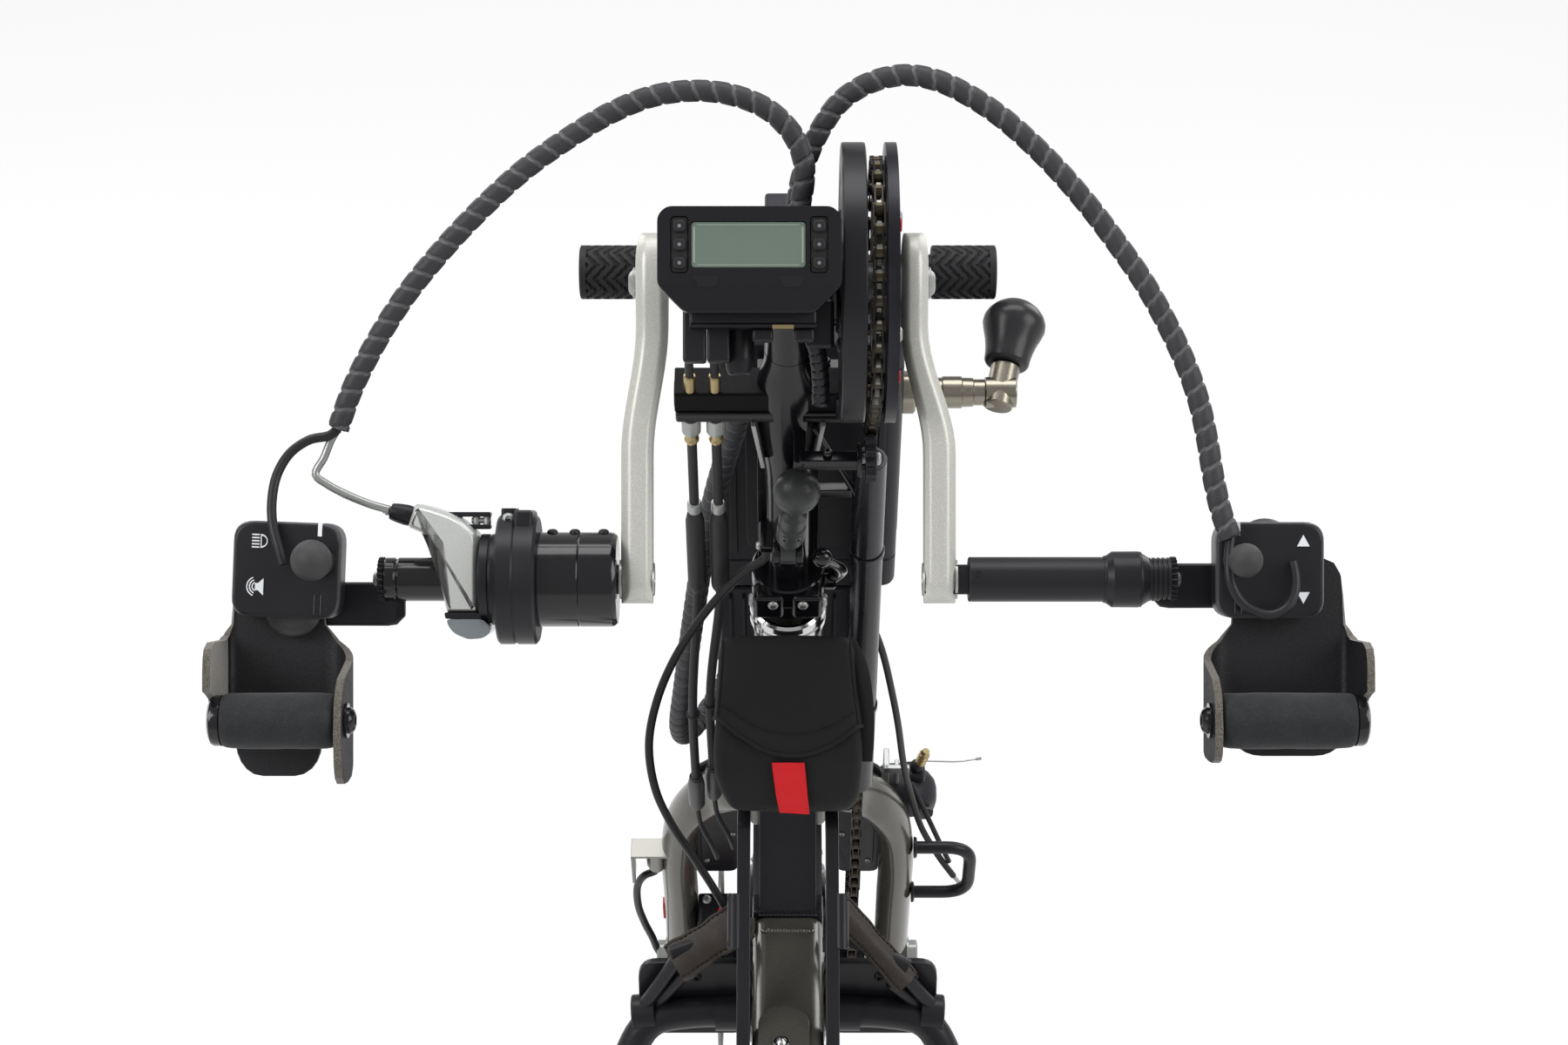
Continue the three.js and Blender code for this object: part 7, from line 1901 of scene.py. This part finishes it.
# Fork with its crown and dropouts, the brake, the derailleur and its guard
fork = {
    "centre": 77.5, "crownAhead": 4, "legAhead": 36, "legEnd": 22, "crown": 270, "half": 12.5, "deep": 18,
    "arch": [
        (1, 1, 0), (1, 0.98, 0.28), (1, 0.94, 0.52), (0.94, 0.9, 0.68), (0.8, 0.8, 0.79), (0.62, 0.68, 0.87),
        (0.39, 0.25, 0.97),
    ],
    "shields": [
        ([(66, 108), (66, 236), (50, 250), (29, 254), (29, 150), (37, 108)], 6, 43, 46.6),
        ([(62, 120), (62, 228), (34, 236), (34, 156), (42, 120)], 5, 41.2, 43.4),
    ],
}


def makeFork():
    f = fork
    part = Stock(steeringFrame)
    lean, height = f["legAhead"] - f["crownAhead"], f["crown"] - f["legEnd"]
    left = []
    for out, ahead, rise in f["arch"]:
        left.append((-f["centre"] * out, f["crownAhead"] + lean * ahead, f["legEnd"] + height * rise))
    route = [*left, (0, f["crownAhead"], f["crown"]), *[(-x, v, w) for x, v, w in left[::-1]]]
    length = sum((Vector(b) - Vector(a)).length for a, b in zip(route, route[1:]))

    def reach(s):
        near = min(s, 1 - s) * length
        return f["deep"] * math.sqrt(max(1 - max(1 - near / 9, 0) ** 2, 0.0004))

    part.tube(route, reach, 44, 3, up=(0, 1, 0), wide=f["half"] / f["deep"])
    part.block((-26, -19, 257), (26, 27, 283), 6, 5)
    for side in (-1, 1):
        low, high = spanOn(side, 74, 81)
        part.plate(rectangle(20, 56, -20, 42, 12, 6), low, high, "x", [ringOutline(6.3, 24, (40, 0))], edge=1.4)
        part.turned(
            [(0, 6.3), (0, 14.6), (1, 15.4), (9, 15.4), (9, 6.3)], (side * 81, 40, 0), (side, 0, 0), 40, looped=True,
        )
    part.turned([(0, 14.3), (0, 21), (2, 22), (4, 21), (4, 14.3)], (0, 0, 282.6), (0, 0, 1), 60, looped=True)
    part.rod((0, 0, 270), (0, 0, 488), 14.3, 40, 0.6)
    part.finish = 1
    part.block((-91.6, 34, 58), (-90, 42, 76), 0.5)
    part.finish = 2
    part.block((-111, 20, 160), (-84, 36, 162.2), 0.5)
    part.block((-111, 20, 128), (-108.8, 36, 162), 0.5)
    part.hexagon((-93.5, 28, 141), (0, 0, 1), 7.4, 19)
    part.turned(solid([(0, 5.4), (3, 5.4)]), (-93.5, 28, 138), (0, 0, 1), 24)
    part.make("fork_arch", "steering", "fork", titanium, redPlastic, steel, replaces=["fork"])
    for side, word in hands:
        shield = Stock(steeringFrame)
        for corners, radius, v0, v1 in f["shields"]:
            outline = [(side * x, w) for x, w in corners]
            shield.plate(rounded(outline, radius, 4, closed=True), v0, v1, "y", edge=0.9)
        shield.finish = 1
        for x, w in ((58, 126), (58, 222), (39, 228), (39, 160)):
            shield.screw((side * x, 41.4, w), (0, -1, 0), 2.2, 1.4)
        shield.make(f"fork_shield_{word}", "steering", "black_plastic", satinBlack, zinc)
    cable = Stock(steeringFrame)
    cable.tube(
        [
            (-93.5, 28, 140), (-95, 28, 132), (-102, 28, 127), (-108, 30, 112), (-109.5, 33, 80), (-106, 37, 48),
            (-101, 39.6, 22), (-98.6, 40, 8), (-96.6, 40, 1),
        ],
        2.8, 16, 3,
    )
    cable.make("motor_cable_line", "steering", "cable", satinBlack)
    brake = Stock(steeringFrame)
    brake.shift = Matrix.Translation((0, 40, 0)) @ Matrix.Rotation(math.radians(14), 4, "X")
    outline = [(-64.7, 53), (-64.7, 97), (-37.7, 97), (-37.7, 53), (-46.8, 53), (-46.8, 83), (-53.2, 83), (-53.2, 53)]
    brake.plate(rounded(outline, 3, 3, closed=True), -15, 15, "y", edge=1.6, steps=3)
    for x, side in ((-64.6, -1), (-37.8, 1)):
        brake.turned(
            rounded(solid([(0, 11), (1.2, 11), (1.2, 8.6), (0.6, 8.6)]), 0.3, 2), (x, 0, 68), (side, 0, 0), 36,
        )
    brake.finish = 1
    for y in (-10, 10):
        brake.screw((-58.6, y, 96.6), (0, 0, 1), 3.4, 2.6)
    brake.finish = 2
    brake.turned([(0, 4), (0, 6.4), (1.6, 6.4), (1.6, 4)], (-44, 0, 97), (0, 0, 1), 24, looped=True)
    brake.make("brake_body", "steering", "black_metal", blackMetal, zinc, redPlastic, replaces=["brake_caliper"])
    shift = Stock(steeringFrame)
    rings = []
    # the moulded cover: centre, half depth, half height and lean of each ring
    cover = [
        (65, 70, 171, 14, 17, 0), (70, 71, 171, 16, 20, 0.05), (84, 71.5, 170.6, 16.4, 20.4, 0.1),
        (94, 71.8, 169, 15.8, 18.6, 0.16), (101, 72, 167, 13.4, 14.6, 0.2), (105.4, 72, 165.4, 9.4, 10.4, 0.2),
        (107, 72, 165, 5, 6, 0.2),
    ]
    for x, v, w, deep, high, turn in cover:
        ring = []
        for t in fullTurn(40):
            a = deep * math.copysign(abs(math.cos(t)) ** 0.62, math.cos(t))
            b = high * math.copysign(abs(math.sin(t)) ** 0.62, math.sin(t))
            ring.append((x, v + a * math.cos(turn) - b * math.sin(turn), w + a * math.sin(turn) + b * math.cos(turn)))
        rings.append(ring)
    shift.rings(rings)
    cage = rounded(
        [(56, 60), (66, 54), (82, 56), (92, 66), (90, 82), (80, 120), (84, 176), (76, 190), (62, 190), (56, 176)], 8,
        4, closed=True,
    )
    shift.plate(
        cage, 51.4, 54, "x", [rounded([(66, 90), (78, 90), (72, 150), (64, 150)], 5, 3, closed=True)], edge=0.6,
    )
    shift.block((53, 60, 152), (66, 80, 190), 3, 3)
    pulleys = ((82, 72), (80, 172))
    pulleyTooth = ((-0.5, -2.4), (-0.3, -1.8), (-0.14, 0.6), (0.14, 0.6), (0.3, -1.8))
    for at in pulleys:
        shift.plate(toothedOutline(11, 6.4, pulleyTooth, at), 45, 49.4, "x", edge=0.3, steps=1)
    shift.finish = 1
    for at in pulleys:
        shift.rod((44, *at), (55, *at), 2.4, 18, 0.4)
        shift.screw((54, *at), (1, 0, 0), 3.6, 1.6)
    shift.finish = 2
    for k in range(3):
        shift.block((78 + 8 * k, 54.6, 166 - 4 * k), (84 + 8 * k, 56.6, 180 - 4 * k), 0.7)
    shift.plate(
        rounded([(95, 158), (104, 160), (104.6, 169), (96, 172)], 2.4, 3, closed=True), 55.4, 57.6, "y", edge=0.6,
    )
    shift.finish = 1
    shift.block((68, 60, 190), (72, 78, 214), 0.8)
    shift.block((68, 60, 208), (86, 64, 214), 0.8)
    shift.block((76, 62, 192), (79, 74, 206), 0.7)
    shift.finish = 3
    along = Vector((0.3, 0.1, 1)).normalized()
    barrel = [(0, onAxis), (0, 3.4)]
    for k in range(6):
        barrel += [(1.2 + 1.6 * k, 3.4), (1.6 + 1.6 * k, 3.9), (2.4 + 1.6 * k, 3.9)]
    barrel += [(11.4, 3), (14, 2.6), (14, onAxis)]
    shift.turned(barrel, (94, 73, 202), along, 24)
    shift.finish = 0
    shift.ball((92, 73, 199), 5, sides=20)
    shift.block((84, 66, 186), (98, 80, 196), 2.4, 3)
    shift.finish = 1
    shift.tube([(97, 73, 205), (108, 74, 203), (122, 76, 200), (134, 78, 200)], 0.6, 8, 4)
    shift.rod((134, 78, 200), (138, 78.5, 200.4), 1.1, 10, 0.2)
    shift.make(
        "derailleur_body", "steering", "black_metal", moulded, zinc, leverGrey, brass, replaces=["derailleur"],
    )
    guard = Stock(steeringFrame)
    points = [(90.3, 27, 164), (130.3, 27, 164), (130.3, 27, 106), (90.3, 27, 106)]
    line = rounded(points, 24, 8)
    guard.tube(evenly([Vector(p) for p in line], 2.4), 4.5, 24, smooth=False)
    for w in (106, 164):
        guard.turned(solid([(0, 7.6), (1.4, 7.6), (2.2, 6.6)]), (89.6, 27, w), (1, 0, 0), 28)
    guard.make("guard_loop", "steering", "black_metal", satinBlack, replaces=["derailleur_guard"])
    cable = Stock(steeringFrame)
    cable.tube(
        [
            (52, 6, 452), (60, 6, 420), (68, 9, 370), (73, 14, 330), (79, 26, 268), (86, 38, 215), (96, 42, 165),
            (110, 42, 128), (121, 42, 104),
        ],
        2.3, 14, 4,
    )
    cable.tube([(88, 60, 196), (97, 52, 176), (108, 45, 148), (117, 42.6, 122)], 1.9, 12, 4)
    cable.finish = 1
    cable.rod((121, 42, 104), (126.4, 42, 93.4), 1.5, 12, 0.3)
    cable.make("shift_cable_line", "steering", "cable", shrink, zinc)


makeFork()
print("handcycle: fork, brake and derailleur made")

# Frame behind the column: neck, main tube, rails, stand and dock
chassis = {
    "neckHalf": 18, "half": 22, "rear": -268, "front": -130, "top": 480, "low": 437, "railInner": 23, "railOuter": 31,
    "rail": [(-120, 578), (-164, 578), (-262, 474), (-262, 460), (-248, 460), (-158.4, 564), (-120, 564)],
    "barY": -160, "barZ": 426.7, "hoop": 10, "reach": 98, "corner": 34, "footX": 184, "footY": -354,
}


def makeChassis():
    c = chassis
    neck = Stock()
    side = [(-22.2, 523.9), (-60.6, 629.1), (-74, 605), (-129.7, 481), (-129.7, 437), (-86.7, 437)]
    neck.plate(rounded(side, 5, 4, closed=True), -c["neckHalf"], c["neckHalf"], "x", edge=2.4, steps=3)
    neck.block((-22.6, -129.6, 460), (22.6, -110, 484), 2)
    turn = steeringFrame.inverted() @ rowFrame
    neck.shift = turn.inverted()
    tube = rounded(
        [(286, 14.9), (286, 21.6), (292, 21.6), (293, 21), (457, 21), (458, 22), (465, 22), (465, 14.9)], 0.7, 2,
        closed=True,
    )
    neck.turned([(d - 286, r) for d, r in tube], (0, 0, 286), (0, 0, 1), 72, looped=True)
    neck.shift = Matrix()
    for k in range(15):
        neck.ball((-17 + 34 * k / 14, -131 + 1.4, 481.4), 1.7, (1.2, 1, 0.6), 10)
    # neck and head tube take the gloss black; for the neck this black is painted shade from the bag above it
    neck.make("neck_and_head_tube", "frame", "black_metal", glossBlackAndNeckShade, replaces=["neck"])
    main = Stock()
    main.plate(rectangle(-c["half"], c["half"], c["low"], c["top"], 9, 7), c["rear"], c["front"], "y", edge=1)
    main.block((-44, -142, 475), (-20.5, -130, 480), 1)
    for k in range(17):
        spread = noise.noise(Vector((k * 1.7, 0, 0)))
        main.ball((-15 + 30 * k / 16, -144 + spread, 480.2), 2.2 + 0.5 * spread, (1.1, 1.1, 0.55), 12)
    cap = [(-18, -268), (13, -268), (13, -236)]
    cap += [polar(15.5, math.pi * k / 16, (-2.5, -236)) for k in range(1, 16)]
    cap += [(-18, -236)]
    main.plate(cap, 479.6, 483, "z", edge=0.7)
    main.finish = 1
    main.turned(solid([(0, 5), (0.9, 5), (1.2, 4.6)]), (-4, -254.5, 482.8), (0, 0, 1), 32)
    main.screw((-4, -254.5, 483.8), (0, 0, 1), 3.2, 1.8)
    main.make("main_tube_shell", "frame", "fork", titanium, polished, replaces=["main_tube"])
    rails = Stock()
    rail = rounded(c["rail"], 3.4, 3, closed=True)

    def onSlope(x, share):
        return (x, -164 - 98 * share, 573 - 104 * share)

    for hand in (-1, 1):
        low, high = spanOn(hand, c["railInner"], c["railOuter"])
        rails.plate(rail, low, high, "x", edge=1.2, steps=2)
        pad = [onSlope(hand * (c["railOuter"] + 1.3), share) for share in (0.27, 0.5)]
        rails.tube(pad, 4.6, 16, up=(1, 0, 0), smooth=False)
        for share in (0.29, 0.48):
            rails.screw(onSlope(hand * 34.8, share), (hand, 0, 0), 3.4, 2)
    rails.block((-14, -129, 564), (14, -92, 578), 2, 3)
    rails.block((-23.4, -128, 564), (23.4, -120, 578), 1.6)
    rails.make("rail_pair", "frame", "black_metal", satinBlack, replaces=["rack_rails"])


makeChassis()


def makeStand():
    c = chassis
    stand = Stock()
    wide, corner, r = c["reach"], c["corner"], c["hoop"]
    barY, barZ, footX, footY = c["barY"], c["barZ"], c["footX"], c["footY"]
    kneeY, kneeZ = footY + 2 * r, 60
    half = [
        (wide - corner, barY, barZ), (wide - corner * 0.3, barY - corner * 0.1, barZ - corner * 0.15),
        (wide + corner * 0.1, barY - corner * 0.35, barZ - corner * 0.75),
        (wide + corner * 0.5, barY - corner * 1.1, barZ - corner * 2.2),
        ((wide + footX) / 2, (barY + kneeY) / 2, (barZ + kneeZ) / 2),
        (footX - r * 0.4, kneeY, kneeZ + r * 2), (footX, footY, kneeZ - r * 1.6), (footX, footY, 33),
        (footX, footY, 4.6),
    ]
    stand.tube([*[(-x, y, z) for x, y, z in half[::-1]], (0, barY, barZ), *half], r, 32, 5)
    for side in (-1, 1):
        low, high = spanOn(side, 22.4, 95)
        stand.plate(rectangle(low, high, 405, 463, 13, 6), -155, -149, "y", edge=1.4)
        middle = Vector((-68, -163.6, 471)) if side < 0 else Vector((70, -163, 460))
        stand.rod((side * 24, -147, 486), middle + Vector((side * 6, 0, 6)), 5, 20, 0.6)
        stand.rod(middle + Vector((0, 0, 5)), (side * 92, -162, 433), 4.4, 20, 0.6)
        stand.rod(middle + Vector((side * -5, 1, -7)), (side * 87, -159, 429), 4.2, 20, 0.6)
        stand.turned(
            rounded([(0, 9.8), (0, 12.4), (15, 12.4), (15, 9.8)], 1.6, 3, closed=True),
            (side * 84, barY, barZ + 0.2), (side, 0, -0.1), 36, looped=True,
        )
        stand.turned(
            [(0, 9.9), (0, 11.6), (22, 11.6), (22, 9.9)], (side * 24, barY, barZ), (side, 0, 0), 36, looped=True,
        )
        for x in (58, 80):
            stand.screw((side * x, -155, 452), (0, -1, 0), 3.2, 2)
    stand.make("stand_hoop_tube", "frame", "black_metal", satinBlack, replaces=["stand_hoop"])
    for side, word in hands:
        sleeve = Stock()
        start, end = Vector((-27, -148, 492)), Vector((-71.4, -165, 469.6))
        if side > 0:
            start, end = Vector((30, -147, 503)), Vector((74.6, -165, 455.6))
        ahead = (end - start).normalized()
        out = Vector((0, -0.5, 0.87))
        across = ahead.cross(out).normalized()
        lift = across.cross(ahead) * (1 if across.cross(ahead).dot(out) > 0 else -1)
        section = [
            (-1, -0.2), (-0.97, 0.25), (-0.86, 0.3), (-0.84, 0.24), (-0.6, 0.62), (-0.2, 0.9), (0.2, 0.92),
            (0.6, 0.66), (0.84, 0.24), (0.86, 0.3), (0.97, 0.25), (1, -0.2), (0.6, -0.7), (-0.6, -0.7),
        ]
        rings, count = [], 26
        half = 13.4 if side < 0 else 9
        for k in range(count + 1):
            share = k / count
            here = start.lerp(end, share)
            swell = 1 + 0.05 * math.sin(share * 9) + 0.03 * math.sin(share * 23)
            ring = []
            for a, b in section:
                ring.append(here + across * (a * half * swell) + lift * (b * 5.6 * swell + 2))
            rings.append(ring)
        sleeve.rings(rings)
        sleeve.finish = 1
        for edge in (-0.8, 0.8):
            for k in range(int((end - start).length / 3.4)):
                at = start + ahead * (2 + 3.4 * k) + across * (edge * half) + lift * 4.1
                sleeve.rod(at, at + ahead * 2.1, 0.36, 6, 0.1)
        sleeve.make(f"stand_sleeve_{word}", "frame", "cloth", sleeveBrown, webbing)
        shoe = Stock()
        ribs = [(4 + 5 * k + d, reach) for k in range(4) for d, reach in ((0, 16), (1, 15), (2, 15), (3, 16))]
        profile = solid([(0, 15), (2, 16), *ribs, (24, 16), (30, 13), (30, 10.6), (5, 10.6)])
        shoe.turned(rounded(profile, 0.5, 2), (side * footX, footY, 0), (0, 0, 1), 48)
        shoe.make(f"foot_shoe_{word}", "frame", "rubber", softRubber, replaces=[f"foot_{word}"])
    dock = Stock()
    eye, jaw = (-318, 392), (-349, 381)
    stem = [(-268.3, 472), (-268.3, 436), (-310.5, 384.5), (-325.5, 399.5), (-286, 472)]
    dock.plate(rounded(stem, 4, 4, closed=True), -16, 16, "x", edge=2, steps=3)
    dock.turned(rounded(solid([(0, 12.5), (208, 12.5)]), 1, 3), (-104, *eye), (1, 0, 0), 48)
    dock.rod((-118, *eye), (118, *eye), 8, 36, 1)
    for x in (-62, 38):
        dock.turned(
            rounded([(0, 12.3), (0, 14), (24, 14), (24, 12.3)], 1, 3, closed=True), (x, *eye), (1, 0, 0), 48,
            looped=True,
        )
    dock.make("dock_cross_bar", "frame", "black_metal", satinBlack, replaces=["dock_bar"])

    def arc(centre, radius, first, last, count):
        turns = [math.radians(first + (last - first) * k / count) for k in range(count + 1)]
        return [polar(radius, turn, centre) for turn in turns]

    outline = [
        *arc(jaw, 21, 238.4, 54, 26), *arc(eye, 19, 161, -122, 34), *arc(jaw, 21, -15, -58.4, 8),
        *arc(jaw, 13, -32.2, 212.2, 30)
    ]
    for side, word in hands:
        hook = Stock()
        low, high = spanOn(side, 104.3, 116.3)
        hook.plate(outline, low, high, "x", [ringOutline(8.6, 36, eye)], edge=1.1)
        hook.make(f"hook_plate_{word}", f"hook_{word}", "steel", steel, replaces=[f"dock_hook_{word}"])


makeStand()
print("handcycle: frame, stand and dock made")

# Floor, sky and lamps
studio = {"floor": 8.0, "floorGlow": 0.85, "sky": 0.5}
floorStock = Stock(Matrix())
floorStock.rings([[(-studio["floor"], y, 0), (studio["floor"], y, 0)] for y in (-studio["floor"], studio["floor"])],
                 caps=(False, False), around=False)
floorFinish = Finish("studioFloor")
tree = floorFinish.tree
dusty = floorFinish.noise(300, 3.0)
floorFinish.colour(floorFinish.mix(dusty, (0.9, 0.9, 0.9, 1), (0.93, 0.93, 0.93, 1)))
floorFinish.roughness(0.7)
seen = floorFinish.node("ShaderNodeLightPath", {}, {}, output=0)
mirrored = floorFinish.node("ShaderNodeLightPath", {}, {}, output=3)
glowing = floorFinish.node("ShaderNodeEmission", {}, {"Color": (1, 1, 1, 1), "Strength": 1.0})
shared = floorFinish.node("ShaderNodeMixShader", {}, {
    0: (seen + mirrored) * studio["floorGlow"],
    1: Wire(floorFinish, floorFinish.shader.outputs[0]), 2: glowing,
})
tree.links.new(shared.socket, tree.nodes["Material Output"].inputs[0])
floor = bpy.data.meshes.new("floor")
floorStock.mesh.to_mesh(floor)
floorStock.mesh.free()
floor.materials.append(floorFinish.material)
floor = bpy.data.objects.new("floor", floor)
bpy.context.scene.collection.objects.link(floor)

world = bpy.data.worlds.new("studio")
bpy.context.scene.world = world
world.use_nodes = True
sky = world.node_tree
path = sky.nodes.new("ShaderNodeLightPath")
direct = sky.nodes.new("ShaderNodeMath")
direct.operation, direct.use_clamp = "ADD", True
sky.links.new(path.outputs["Is Camera Ray"], direct.inputs[0])
sky.links.new(path.outputs["Is Transmission Ray"], direct.inputs[1])
level = sky.nodes.new("ShaderNodeMapRange")
level.inputs["To Min"].default_value, level.inputs["To Max"].default_value = studio["sky"], 1.0
sky.links.new(direct.outputs[0], level.inputs["Value"])
background = sky.nodes["Background"]
background.inputs["Color"].default_value = (1, 1, 1, 1)
sky.links.new(level.outputs[0], background.inputs["Strength"])

lamps = {
    "keyLeft": {"at": (-1.9, -1.2, 2.3), "aim": (0, -0.1, 0.7), "size": (1.4, 1.4), "watts": 34},
    "fillRight": {"at": (2.0, -0.9, 2.0), "aim": (0, -0.1, 0.7), "size": (1.4, 1.4), "watts": 26},
    "topSheet": {"at": (0, 0.5, 2.9), "aim": (0, -0.1, 0.6), "size": (2.4, 1.2), "watts": 36},
    "rearLeft": {"at": (-1.6, 1.9, 1.6), "aim": (0, 0, 0.7), "size": (1.0, 1.4), "watts": 14},
    "rearRight": {"at": (1.6, 1.9, 1.6), "aim": (0, 0, 0.7), "size": (1.0, 1.4), "watts": 14},
}
for name, lamp in lamps.items():
    light = bpy.data.lights.new(name, "AREA")
    light.shape, (light.size, light.size_y), light.energy = "RECTANGLE", lamp["size"], lamp["watts"]
    holder = bpy.data.objects.new(name, light)
    bpy.context.scene.collection.objects.link(holder)
    holder.location = lamp["at"]
    holder.rotation_euler = (Vector(lamp["aim"]) - Vector(lamp["at"])).to_track_quat("-Z", "Y").to_euler()
bpy.context.scene.view_settings.view_transform = "Standard"
print("handcycle: studio set")
